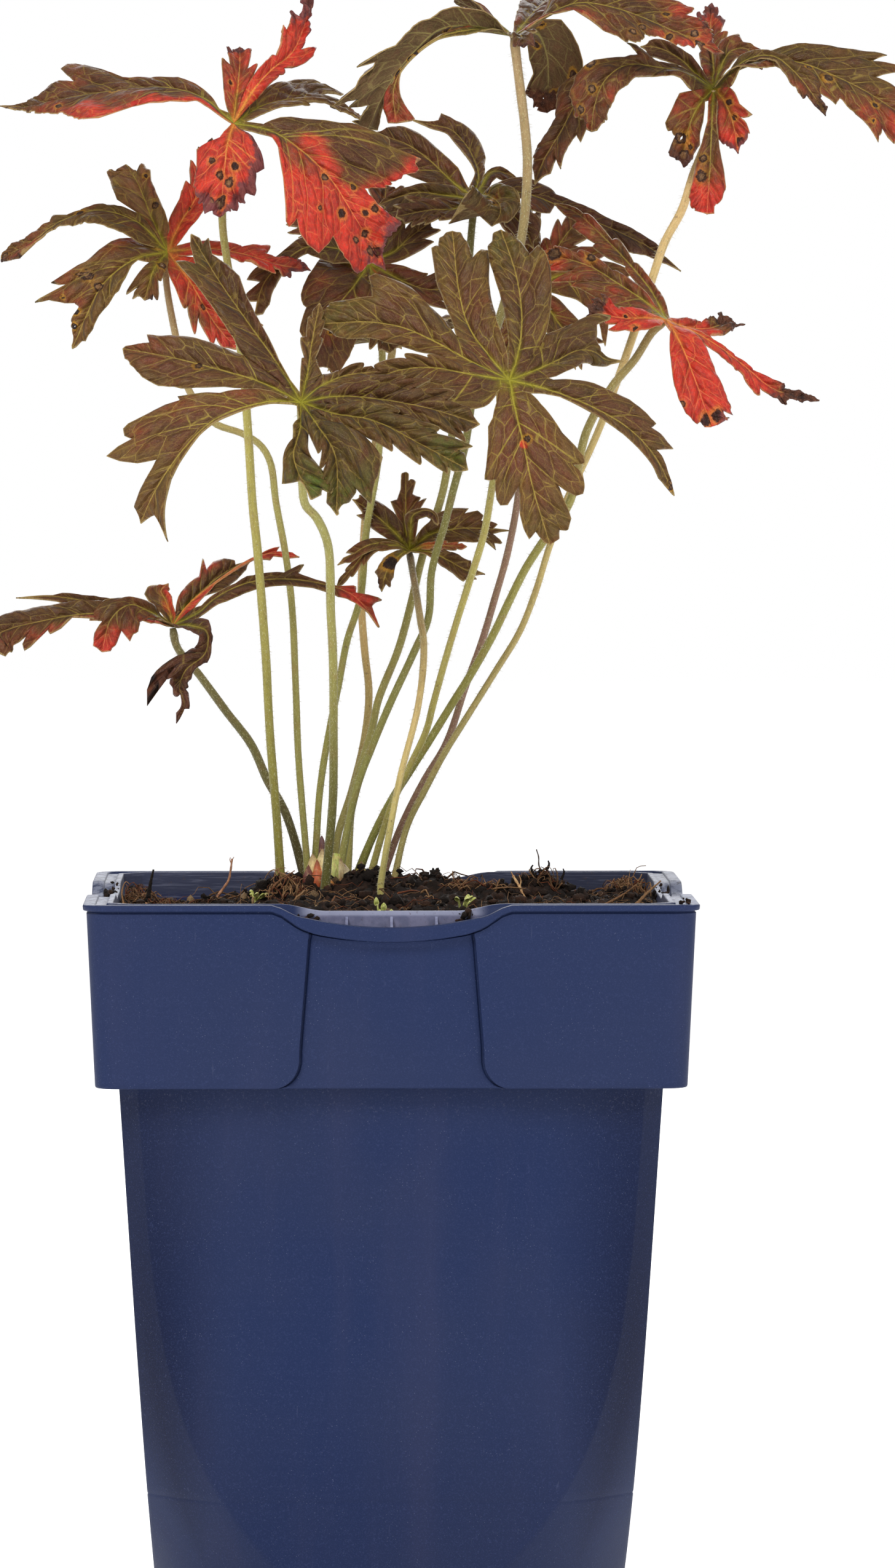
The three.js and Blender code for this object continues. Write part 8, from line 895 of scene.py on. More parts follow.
for z, g in ((25.5, 0), (25.75, .10), (26.0, .10), (26.25, 0)): rings.append(body_ring(z, 0, None, g))
for z in list(np.arange(28, 120, 2.5)): rings.append(body_ring(z))
rings += [body_ring(128), body_ring(140), body_ring(148), body_ring(151, 0, lambda t: Z_LEDGE - .8 - rim_dip(t) * 1.25), body_ring(152, -.5, lambda t: Z_LEDGE - rim_dip(t) * 1.25)]
rings.append(collar_ring(lambda t: Z_LEDGE - rim_dip(t) * 1.25, 2.2, Z_LEDGE))
rings.append(collar_ring(lambda t: Z_LEDGE - .8 - rim_dip(t) * 1.25, 1.5, Z_LEDGE - .8))
for z in (140, 130, 124, 122.5, 121, 119.5, 118.2, 117.0, Z_LOW + .35): rings.append(collar_ring(lambda t, z=z: z, 1.5, z))
rings.append(collar_ring(lambda t: Z_LOW + .08, 1.25, Z_LOW)); rings.append(collar_ring(lambda t: Z_LOW, 1.0, Z_LOW)); rings.append(collar_ring(lambda t: Z_LOW, .38, Z_LOW)); rings.append(collar_ring(lambda t: Z_LOW + .12, .1, Z_LOW + .12)); rings.append(collar_ring(lambda t: Z_LOW + .45, 0, Z_LOW + .45))
for z in (116.5, 117.0, 117.6, 118.3, 119.1, 120, 121, 122, 123.4, 125, 128, 131, 134, 137, 140, 143, 145.5, 147.5):
    rings.append(collar_ring(lambda t, z=z: z, 0, z))
for v in (.35, .6, .8, .90): rings.append(collar_ring(lambda t, v=v: 147.5 + (bead_z(t) - rim_dip(t) - 147.5) * v, 0, 147.5 + 6 * v))
for dz, ins in ((-.52, .02), (-.42, .18), (-.30, .34), (-.10, .36)): rings.append(collar_ring(lambda t, dz=dz: bead_z(t) + dz - rim_dip(t), ins, 153.7, 5.0, True))
rings.append(collar_ring(lambda t: bead_z(t) - .02 - rim_dip(t), .36, 153.7, 5.0, True)); rings.append(collar_ring(lambda t: bead_z(t) + .02 - rim_dip(t), .36, 153.7, 5.0, False))
for dz, ins in ((.03, -.30), (.10, -.58), (.30, -.72), (.60, -.74)): rings.append(collar_ring(lambda t, dz=dz: bead_z(t) + dz - rim_dip(t), ins, 153.7, 5.0, False))
for dz, ins in ((-.55, -.72), (-.30, -.70), (-.10, -.55), (-.02, -.32), (0, .1)): rings.append(collar_ring(lambda t, dz=dz: Z_RIM + dz - rim_dip(t), ins, Z_RIM, 5.0, False))
def lip_in(t): return Z_RIM - rim_dip(t)
rings.append(collar_ring(lambda t: lip_in(t) - .0, 1.55, Z_RIM, 5.0, False))
rings.append(collar_ring(lambda t: lip_in(t) - .12, 1.85, Z_RIM, 5.0, False))
rings.append(collar_ring(lambda t: lip_in(t) - .45, 2.0, Z_RIM, 5.0, False))
def slot_z(t): return 147.6 if t < 14.45 else min(lip_in(t) - .5, Z_RIM - inner_dip(t) - .3)
rings.append(collar_ring(slot_z, 2.05, Z_RIM, 5.0, False))
def top_ring(inset, zf):
    h = body_half(Z_RIM) - inset; R = cone(Z_RIM) - inset; f, tc = arc_cone(h, R); return ring_points(h, f, zf, min(tc, h) - .02, None, None, False)
rings.append(top_ring(-.12, slot_z)); rings.append(top_ring(-.1, lambda t: Z_RIM - inner_dip(t) - .3)); rings.append(top_ring(.05, lambda t: Z_RIM - inner_dip(t) - .06))
rings.append(top_ring(.35, lambda t: Z_RIM - inner_dip(t))); rings.append(top_ring(1.0, lambda t: Z_RIM - inner_dip(t))); rings.append(top_ring(1.22, lambda t: Z_RIM - inner_dip(t) - .08)); rings.append(top_ring(1.3, lambda t: Z_RIM - inner_dip(t) - .35))
for z in (151, 148, 140, 120, 90, 60, 42, 30, 20, 12, 7): rings.append(body_ring(z, 1.3))
rings += [body_ring(3.2, 1.5), body_ring(2.65, 2.2), body_ring(2.6, 3.0)]
PV = np.array(rings); nrg, ncl = PV.shape[:2]; F = grid_faces(nrg, ncl, True); V = PV.reshape(-1, 3)
def floor_sheet(ring, holes, up):
    """triangles of the flat floor inside ring (2-D points), outside the drain holes"""
    from mathutils.geometry import delaunay_2d_cdt
    from mathutils import Vector
    pts = [Vector((float(p[0]), float(p[1]))) for p in ring]; ed = [(i, (i + 1) % len(ring)) for i in range(len(ring))]
    for h in holes:
        o = len(pts); pts += [Vector((float(p[0]), float(p[1]))) for p in h]; ed += [(o + i, o + (i + 1) % len(h)) for i in range(len(h))]
    vo, eo, fo, ov, oe, of_ = delaunay_2d_cdt(pts, ed, [], 1, 1e-6)
    src = [o[0] for o in ov]; hc = [np.mean(h, 0) for h in holes]; hr = [float(np.hypot(*(h[0] - c))) for h, c in zip(holes, hc)]; out = []
    for f in fo:
        f = [src[i] for i in f]; c = np.mean([[pts[i][0], pts[i][1]] for i in f], 0)
        if any(np.hypot(*(c - q)) < r_ * .995 for q, r_ in zip(hc, hr)): continue
        P = [pts[i] for i in f]; ar = (P[1][0] - P[0][0]) * (P[2][1] - P[0][1]) - (P[1][1] - P[0][1]) * (P[2][0] - P[0][0])
        if abs(ar) < 1e-9: continue
        out.append(tuple(f) if (ar > 0) == up else tuple(f[::-1]))
    return out
HOLE_C = [(33 * math.cos((i + .5) / 8 * 2 * math.pi), 33 * math.sin((i + .5) / 8 * 2 * math.pi)) for i in range(8)]
HP = [(4.0, 0.0), (3.7, .12), (3.6, .4), (3.6, 2.2), (3.7, 2.5), (3.95, 2.6)]; NH = 28; ah = np.arange(NH) / NH * 2 * np.pi
V = V.tolist(); hole_rows = []
for cx, cy in HOLE_C:
    rows = []
    for r_, z_ in HP:
        rows.append(len(V)); V += [[cx + r_ * math.cos(t), cy + r_ * math.sin(t), z_] for t in ah]
    for a_, b_ in zip(rows, rows[1:]):
        for j in range(NH): F.append((a_ + (j + 1) % NH, a_ + j, b_ + j, b_ + (j + 1) % NH))
    hole_rows.append(rows)
V = np.array(V)
for base, row, up in ((0, 0, False), ((nrg - 1) * ncl, -1, True)):
    idx = list(range(base, base + ncl)); hl = [list(range(r_[row], r_[row] + NH)) for r_ in hole_rows]; allidx = idx + sum(hl, [])
    for f in floor_sheet(V[idx][:, :2], [V[h][:, :2] for h in hl], up): F.append(tuple(allidx[i] for i in f))

def pot_material():
    k = Nodes('navy_polypropylene'); P = k.obj(); x, y, z = k.xyz(P)
    rad = k.m('MAXIMUM', k.m('ABSOLUTE', x), k.m('ABSOLUTE', y)); tan = k.m('MINIMUM', k.m('ABSOLUTE', x), k.m('ABSOLUTE', y))
    big = k.noise(P, .018, 3.0, .5); streak = k.noise(k.vec(k.m('MULTIPLY', x, .07), k.m('MULTIPLY', y, .07), k.m('MULTIPLY', z, .006)), 1.0, 3.0, .55)
    grain = k.noise(P, 2.6, 2.0, .6); grain2 = k.noise(P, 6.5, 1.0, .5); speck = k.voronoi(P, 1.35, 'F1')
    col = k.mix(k.step(big, .35, .65), srgb(27, 40, 75), srgb(33, 43, 74))
    # faint lighter vertical streaks: partly flow lines in the plastic, partly painted highlights of the lamps
    col = k.mix(k.m('MULTIPLY', k.step(streak, .45, .75), .40), col, srgb(48, 52, 80))
    # painted shade: darker towards the rounded corners and the foot, where the light falls off
    away = k.m('MAXIMUM', k.m('MULTIPLY', k.step(tan, 32.0, 56.0), k.fmix(k.step(z, 112.0, 40.0), .55, 1.0)), k.m('MULTIPLY', k.m('SUBTRACT', 1.0, k.step(z, 12.0, 60.0)), .20)); away = k.m('MULTIPLY', away, k.m('SUBTRACT', 1.0, k.step(z, 112.0, 118.0)))
    col = k.mix(k.m('MULTIPLY', away, .92), col, srgb(9, 14, 38))
    # the collar is a little greyer than the body
    col = k.mix(k.m('MULTIPLY', k.step(z, 115.5, 115.9), .30), col, srgb(40, 50, 82))
    col = k.mix(k.m('MULTIPLY', k.step(grain, .52, .74), .30), col, srgb(56, 66, 104))
    col = k.mix(k.m('MULTIPLY', k.step(grain2, .60, .72), .16), col, srgb(86, 96, 134))
    col = k.mix(k.m('MULTIPLY', k.step(speck, .13, .04), k.m('MULTIPLY', k.step(k.noise(P, .09, 2.0), .40, .62), .45)), col, srgb(128, 134, 158))
    # pale dust just under the collar, a few scuffs
    under = k.m('MULTIPLY', k.step(z, 104.6, 115.1), k.m('SUBTRACT', 1.0, k.step(z, 115.6, 115.8)))
    col = k.mix(k.m('MULTIPLY', k.m('MULTIPLY', under, k.step(k.noise(P, 1.6, 3.0, .7), .56, .72)), .22), col, srgb(110, 112, 130))
    scr = k.noise(k.vec(k.m('MULTIPLY', x, 1.6), k.m('MULTIPLY', y, 1.6), k.m('MULTIPLY', z, .12)), 1.0, 2.0, .6, .4)
    col = k.mix(k.m('MULTIPLY', k.step(scr, .70, .80), .08), col, srgb(118, 124, 150))
    # scratched inner wall: greyer above, deep blue below
    inside = k.m('SUBTRACT', 1.0, k.step(k.m('ADD', rad, k.m('MULTIPLY', k.m('SUBTRACT', 155.0, z), .0723)), 60.2, 60.5)); inside = k.m('MULTIPLY', inside, k.step(z, 139.0, 142.0))
    scl = k.noise(k.vec(k.m('MULTIPLY', x, .10), k.m('MULTIPLY', y, .10), k.m('MULTIPLY', z, 2.4)), 1.0, 3.0, .65, .8)
    ic = k.mix(k.step(z, 147.5, 151.5), srgb(26, 33, 78), srgb(62, 66, 88)); ic = k.mix(k.m('MULTIPLY', k.step(scl, .50, .72), .50), ic, srgb(122, 126, 148))
    ic = k.mix(k.m('MULTIPLY', k.step(k.noise(P, .8, 3.0, .7), .60, .75), .4), ic, srgb(96, 78, 66)); col = k.mix(inside, col, ic)
    # the pocket behind the lip is coloured paler, with a painted highlight along its top edge and a few soil-brown
    # smudges
    pk = k.m('MULTIPLY', k.m('MULTIPLY', k.step(rad, 59.9, 60.3), k.m('SUBTRACT', 1.0, k.step(rad, 63.0, 63.25))), k.m('MULTIPLY', k.step(z, 147.0, 148.0), k.m('SUBTRACT', 1.0, k.step(tan, 17.0, 21.0))))
    pc = k.mix(k.step(k.noise(P, .35, 3.0, .6), .38, .62), srgb(82, 84, 108), srgb(98, 98, 122)); pc = k.mix(k.m('MULTIPLY', k.step(z, 152.2, 152.9), .6), pc, srgb(150, 154, 176)); pc = k.mix(k.m('MULTIPLY', k.step(k.noise(P, 1.2, 3.0, .7), .58, .74), .5), pc, srgb(70, 52, 44))
    fb = k.step(k.m('SUBTRACT', k.m('ABSOLUTE', y), k.m('ABSOLUTE', x)), 0.0, 3.0); pk = k.m('MULTIPLY', pk, fb)
    col = k.mix(pk, col, pc)
    # top edges of the two side walls: painted white reflection in streaks on the up-facing ledges, with dark crumb
    # marks
    nn = k.xyz(k.n('TexCoord').outputs['Normal'])[2]; up = k.m('MULTIPLY', k.m('MULTIPLY', k.step(nn, .55, .9), k.step(z, 145.0, 147.0)), k.m('SUBTRACT', 1.0, fb))
    col = k.mix(k.m('MULTIPLY', up, k.m('MULTIPLY', k.step(k.noise(P, .55, 3.0, .65), .36, .58), .34)), col, srgb(170, 176, 196)); col = k.mix(k.m('MULTIPLY', up, k.m('MULTIPLY', k.step(k.noise(P, 1.0, 3.0, .7), .56, .70), .8)), col, srgb(44, 34, 34))
    rough = k.m('ADD', .42, k.m('ADD', k.m('MULTIPLY', grain, .12), k.m('MULTIPLY', k.step(streak, .4, .8), .10)))
    h = k.m('ADD', k.m('MULTIPLY', grain, .7), k.m('MULTIPLY', grain2, .6)); nb = k.bump(h, .30, .00014); nb = k.bump(k.noise(P, .05, 2.0), .10, .0012, nb)
    pn = k.principled(col, rough, nb).node; pn.inputs['Specular IOR Level'].default_value = .10
    return k.done(pn.outputs[0])
M_POT = pot_material()
pot = make_object('nursery_pot', V, F, [M_POT])
# ribs across the label slots on the four sides
S = Soup()
for s in range(4):
    c, sn = math.cos(s * math.pi / 2), math.sin(s * math.pi / 2)
    for x0 in (-9.55, 0.0, 9.55):
        w_, y0, y1, z0, z1 = .36, -63.2, -60.4, 147.0, 152.6
        bx = np.array([(x0 + a * w_ * (1.0 if zz == z0 else .8), yy, zz - (.9 if yy == y0 and zz == z1 else 0) - (1.5 if (yy == y0 and zz == z1) else 0)) for zz in (z0, z1) for yy in (y0, y1) for a in (-1, 1)])
        bx = np.stack([bx[:, 0] * c - bx[:, 1] * sn, bx[:, 0] * sn + bx[:, 1] * c, bx[:, 2]], 1)
        S.add(bx, [(0, 1, 5, 4), (1, 3, 7, 5), (3, 2, 6, 7), (2, 0, 4, 6), (4, 5, 7, 6), (0, 2, 3, 1)])
def rib_material():
    # the ribs are coloured paler than the navy pot, with a few soil-brown smudges
    k = Nodes('pale_ribs'); P = k.obj(); c = k.mix(k.step(k.noise(P, .8, 3.0, .6), .35, .68), srgb(128, 131, 156), srgb(104, 106, 132)); c = k.mix(k.m('MULTIPLY', k.step(k.noise(P, 1.6, 3.0, .7), .58, .74), .5), c, srgb(74, 58, 52))
    p = k.principled(c, .5, k.bump(k.noise(P, 2.6, 2.0), .3, .0001)); p.node.inputs['Specular IOR Level'].default_value = .15; return k.done(p)
ribs = S.build('pot_label_ribs', [rib_material()], smooth=False)
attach(pot, 'root'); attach(ribs, 'root'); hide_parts('pot')

# ------------------------------------------------------------------ potting soil
def soil_base(x, y):
    d = np.hypot(x + 9, y * 1.1); e = np.maximum(np.abs(x), np.abs(y)) / 58
    return 150.6 + 5.0 * np.exp(-(d / 26) ** 2) + .9 * (1 - sm(e, .55, 1)) + .5 * np.sin(x * .21 + 1) * np.cos(y * .19) * (1 - sm(e, .8, 1))
LUMPS = [(-56, 4, 2.4, 6.5), (-53, -14, 2.0, 5.0), (-45, -36, 1.6, 6), (-55, -40, 1.8, 6), (-40, -5, 1.2, 3.6), (-29, -9, 1.9, 4.8), (-24, -12, 1.7, 5), (-22, -14, .6, 4), (-6, -7, 2.4, 4.2), (-1, -12, 1.4, 5),
 (10.5, -3, 2.2, 4.4), (18, -6, 1.6, 6), (25, -8, 1.2, 6), (30, -3, 2.0, 4.4), (34.5, 0, 2.8, 4.4), (39, -3, 1.4, 4.2), (44, -10, 1.6, 5), (50, 0, 2.2, 5.5), (55.5, 7, 2.6, 5), (52, -24, 2.4, 6), (38, -30, 1.4, 6), (20, -34, 1.4, 6), (-14, -36, 1.2, 7), (-30, -36, 1.2, 6),
 (6, 16, 1.4, 8), (-22, 18, 1.2, 8), (-34, 36, 1.0, 8), (8, 40, 1.2, 9), (34, 32, 1.4, 8)]
def soil_z(x, y):
    z = soil_base(x, y) - 2.2 * sm(y, 8, 42) - 2.3 * sm(-np.asarray(x, float), 22, 32) * (1 - .75 * sm(-np.asarray(x, float), 49, 55)) - 2.6 * np.exp(-((np.asarray(x, float) + 13) / 8.5) ** 2) * np.exp(-((np.asarray(y, float) + 14) / 9) ** 2)
    for a, b, h, r in LUMPS: z = z + h * np.exp(-((x - a) ** 2 + (y - b) ** 2) / r ** 2)
    edge = sm(np.maximum(np.abs(x), np.abs(y)), 52, 58.5) * (1 - .8 * sm(np.abs(x), 48, 56) * (1 - sm(np.abs(y), 26, 44))); z = z - .8 * edge
    front = sm(-y, 42, 57) * (1 - sm(np.abs(x), 16, 26)); z = z - 1.3 * front
    return z
def rough_z(x, y):
    r1 = 1 - np.abs(vnoise(x * .30 + 4, y * .30, 3) * 2 - 1); r2 = 1 - np.abs(vnoise(x * .72, y * .72 + 5, 9) * 2 - 1); r3 = vnoise(x * 1.5 + 3, y * 1.5, 13)
    return (r1 - .5) * 2.2 + (r2 - .5) * 1.5 + (r3 - .5) * 1.2
def soil_mesh():
    rng = np.random.default_rng(77); S = Soup(('sc',)); st = .78
    h = body_half(151) - 1.45; Rc = cone(151) - 1.45
    g = np.arange(-h, h + st, st); g = g[g <= h + 1e-6]; g[-1] = h; X, Y = np.meshgrid(g, g, indexing='ij'); n = len(g)
    Z = soil_z(X, Y) + rough_z(X, Y)
    r = np.hypot(X, Y); f = np.minimum(1, Rc / np.maximum(r, 1e-6)); X2, Y2 = X * f, Y * f
    V = np.stack([X2, Y2, Z], 2).reshape(-1, 3); F = grid_faces(n, n); tone = (.30 + .5 * (fbm(X * .5, Y * .5, 21, 2) - .5)).reshape(-1)
    F = [f_[::-1] for f_ in F] if np.cross(V[F[0][1]] - V[F[0][0]], V[F[0][2]] - V[F[0][0]])[2] < 0 else F
    # closed below
    rim = [i * n for i in range(n)] + [(n - 1) * n + j for j in range(1, n)] + [i * n + n - 1 for i in range(n - 2, -1, -1)] + [j for j in range(n - 2, 0, -1)]
    ring = V[rim]; low = ring.copy(); k1 = (body_half(3.1) - 1.9) / h; low[:, 0] *= k1; low[:, 1] *= k1
    rr = np.hypot(low[:, 0], low[:, 1]); lim = cone(3.1) - 2.2; low[:, :2] *= np.minimum(1, lim / rr)[:, None]; low[:, 2] = 3.1
    mids = []
    for zz in (60.0, 25.0, 10.0):
        m = ring.copy(); kz = (body_half(zz) - 1.5) / h; m[:, :2] *= kz; rr = np.hypot(m[:, 0], m[:, 1]); m[:, :2] *= np.minimum(1, (cone(zz) - 1.6) / rr)[:, None]; m[:, 2] = zz; mids.append(m)
    nv = len(V); V = np.vstack([V] + mids + [low, [[0, 0, 3.1]]]); m = len(rim)
    idx = [rim] + [list(range(nv + q * m, nv + (q + 1) * m)) for q in range(4)]
    for q in range(4):
        for j in range(m):
            k2 = (j + 1) % m; F.append((idx[q][j], idx[q + 1][j], idx[q + 1][k2], idx[q][k2]))
    for j in range(m): F.append((idx[4][j], len(V) - 1, idx[4][(j + 1) % m]))
    t2 = np.full(len(V), .3); t2[:nv] = tone
    S.add(V, F, 0, sc=np.stack([t2, 0 * t2, 0 * t2], 1))
    ico = bmesh.new(); bmesh.ops.create_icosphere(ico, subdivisions=1, radius=1.0); IV = np.array([v.co[:] for v in ico.verts]); IF = [[v.index for v in f.verts] for f in ico.faces]; ico.free()
    def crumb(x, y, z, s, tone=None):
        rr = (s * (.60 + .75 * rng.random(len(IV))))[:, None]; sc = rng.uniform(.5, 1.35, 3)
        q = IV * rr * sc; th = rng.uniform(0, 6.28); c, sn = math.cos(th), math.sin(th); q = np.stack([q[:, 0] * c - q[:, 1] * sn, q[:, 0] * sn + q[:, 1] * c, q[:, 2]], 1)
        S.add(q + np.array([x, y, z]), IF, 0, sc=(tone if tone is not None else float(np.clip(rng.beta(1.3, 3.4) + (.4 if rng.random() < .06 else 0), 0, 1)), 0, rng.random()))
    # crumbs lie everywhere and pile up on the clumps
    N = 2850
    x = rng.uniform(-57.3, 57.3, N); y = rng.uniform(-57.3, 57.3, N); s = .28 + 1.15 * rng.random(N) ** 2.6
    zz = soil_z(x, y) + rough_z(x, y)
    for i in range(N):
        if math.hypot(x[i], y[i]) > 76.5: continue
        crumb(x[i], y[i], zz[i] + s[i] * rng.uniform(-.1, .7), s[i])
    for a, b, h_, r in LUMPS[:20]:
        for q in range(int((26) * h_)):
            t = abs(rng.normal()) * r * .55; th = rng.uniform(0, 6.28); px, py = a + t * math.cos(th), b + t * math.sin(th)
            if max(abs(px), abs(py)) > 57.2: continue
            s_ = .22 + .75 * rng.random() ** 2; crumb(px, py, float(soil_z(np.array(px), np.array(py)) + rough_z(np.array(px), np.array(py))) + rng.uniform(-.2, 1.5) * (1 - t / (r * 1.6)), s_, .12 + .35 * rng.random() ** 2)
    # crumbs that fell over the inner wall: on the side ledges, in the pockets of the front lip and on a corner
    for (x0, x1, y0, y1, z0, z1, cnt) in ((-62.6, -59.4, -2, 16, 150.6, 155.6, 60), (58.5, 62.2, -4, 14, 150.6, 155.2, 44), (-20.5, -15.2, -62.2, -59.0, 150.2, 153.4, 46), (13.0, 17.6, -62.3, -59.0, 149.9, 153.6, 54), (61.4, 63.6, -63.6, -61.6, 155.1, 156.6, 16)):
        for q in range(cnt):
            px, py = rng.uniform(x0, x1), rng.uniform(y0, y1); t = rng.random(); crumb(px, py, z0 + (z1 - z0) * t * (.5 + .5 * rng.random()), .22 + .55 * rng.random() ** 1.6, .15 + .4 * rng.random() ** 2)
    # fibres and bits of bark
    def fibre(a, b, ln, rad, lift, zoff=0.0, tone=None, kk=None):
        th = rng.uniform(0, 6.28); kk = rng.uniform(-.35, .35) if kk is None else kk; m_ = 7; pts = []; px, py = a, b
        for q in range(m_):
            pts.append((px, py, 0)); px += math.cos(th) * ln / m_; py += math.sin(th) * ln / m_; th += kk + rng.uniform(-.3, .3)
        pts = np.array(pts); pts[:, 0] = np.clip(pts[:, 0], -57.8, 57.8); pts[:, 1] = np.clip(pts[:, 1], -57.8, 57.8)
        pts[:, 2] = soil_z(pts[:, 0], pts[:, 1]) + .6 * rough_z(pts[:, 0], pts[:, 1]) + .35 + zoff + lift * np.sin(np.linspace(0, math.pi * rng.uniform(.5, 1), m_)) + rng.uniform(-.1, .5)
        V, F = tube(pts, np.linspace(rad, rad * .45, m_), 4, True, rng.uniform(.5, 1)); S.add(V, F, 0, sc=(float(np.clip(rng.beta(2, 2.2) * .9 + .1, 0, 1)) if tone is None else tone, 1, rng.random()))
    N = 540
    for i in range(N):
        a, b = rng.uniform(-56, 56, 2)
        if math.hypot(a, b) > 76: continue
        ln = rng.uniform(2, 8) if rng.random() < .8 else rng.uniform(7, 14); fibre(a, b, ln, rng.uniform(.06, .15) if rng.random() < .88 else rng.uniform(.2, .32), rng.uniform(.2, 2.2) * (ln / 8))
    # matted curly fibres on the left, by the crown and on the right edge
    for (cx, cy, r, cnt, lift, dens) in ((-52, -14, 5.0, 80, 1.9, .34), (-55, 2, 4.5, 44, 1.8, .3), (-22, -16, 4.0, 46, 2.4, .85), (52, 2, 5.0, 60, 2.8, .6), (34, -2, 3.6, 30, 2.0, .35), (19, -8, 5.5, 40, 1.6, .6), (-41, -6, 3.0, 18, 1.0, .2)):
        for q in range(cnt):
            t = r * math.sqrt(rng.random()); th = rng.uniform(0, 6.28); fibre(cx + t * math.cos(th), cy + t * math.sin(th), rng.uniform(2.5, 7), rng.uniform(.09, .22), lift * rng.uniform(.3, 1.2), rng.uniform(0, .8), float(np.clip(dens + rng.normal() * .18, 0, 1)), rng.uniform(-.8, .8))
    # single upright points and rising roots
    for pts, rad, tone_ in (([(-52.5, -22, 154), (-51.9, -21.6, 157.5), (-51.3, -21.4, 160.2)], .55, .0), ([(10.6, -3, 155), (11.0, -2.6, 157.6), (10.8, -2.2, 159.4)], .7, .05), ([(-2.6, -8, 156), (-2.3, -7.6, 158.2), (-2.6, -7.4, 159.2)], .5, .05),
        ([(46, 0, 153.4), (50.5, 3, 155.2), (53.8, 4, 156.8), (55.0, 4, 159.2), (56.9, 4, 159.5)], .22, .5), ([(52.6, -2, 154.6), (52.9, -1.8, 157.2), (53.2, -1.6, 159.0)], .12, .95), ([(53, -34, 153), (56, -33, 156.0), (58.6, -32, 158.2)], .42, .66), ([(46, -30, 152.6), (50.5, -31, 155.2), (53.4, -32, 157.4)], .36, .60),
        ([(-57.4, -40, 153.6), (-57.8, -39.6, 156.4), (-56.9, -39.2, 158.6), (-56.2, -39, 158.0)], .24, 1.0), ([(20, -12, 154.2), (22.5, -11.4, 155.2), (26.4, -11, 155.6), (30, -10.6, 155.3)], .28, .58), ([(14, -9, 153.6), (16.6, -8.4, 156.2), (18.6, -8, 157.0)], .5, .42), ([(-26.5, -18, 155), (-24, -17, 157.4), (-20.6, -16, 159.6)], .3, .7),
        ([(34.8, 1, 158.6), (35.4, 1, 160.0), (35.2, 1, 160.8)], .4, .1), ([(32, -2, 157.6), (31.4, -2, 159.4), (31.8, -2, 160.0)], .4, .1), ([(38, -2, 156.8), (38.6, -2, 158.4), (38.4, -2, 159.2)], .35, .12)):
        C = spline(np.array(pts, float), 14); V, F = tube(C, rad * np.linspace(1, .35, 14) * (1 + .12 * np.sin(np.arange(14) * 2.1)), 6); S.add(V, F, 0, sc=(tone_, 1.0 if tone_ > .2 else 0.0, rng.random()))
    return S
def soil_material():
    k = Nodes('peat'); t, fib, rnd = k.xyz(k.attr('sc').outputs['Vector']); P = k.obj(); n1 = k.noise(P, .9, 4.0, .65); n2 = k.noise(P, 3.2, 3.0, .7); n3 = k.noise(P, .22, 2.0)
    c = k.mix(k.step(k.m('ADD', t, k.m('MULTIPLY', k.m('SUBTRACT', n1, .5), .55)), .18, .62), srgb(24, 15, 10), srgb(64, 42, 30))
    c = k.mix(k.m('MULTIPLY', k.step(n2, .60, .74), .40), c, srgb(112, 82, 58))
    c = k.mix(k.step(k.m('ADD', t, k.m('MULTIPLY', k.m('SUBTRACT', n2, .5), .3)), .62, .95), c, srgb(176, 146, 106))
    f = k.mix(t, srgb(58, 34, 24), srgb(196, 150, 104)); f = k.mix(k.step(rnd, .66, .90), f, srgb(124, 66, 40)); c = k.mix(fib, c, k.mix(k.step(n2, .35, .65), f, k.mix(.5, f, srgb(60, 38, 26))))
    h = k.m('ADD', n1, k.m('MULTIPLY', n2, .8)); nb = k.bump(h, .9, .0008)
    p = k.principled(c, k.m('ADD', .72, k.m('MULTIPLY', n1, .2)), nb); p.node.inputs['Specular IOR Level'].default_value = .25; return k.done(p)
M_SOIL = soil_material(); soil = soil_mesh().build('peat_soil', [M_SOIL]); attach(soil, 'root'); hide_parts('potting_soil')

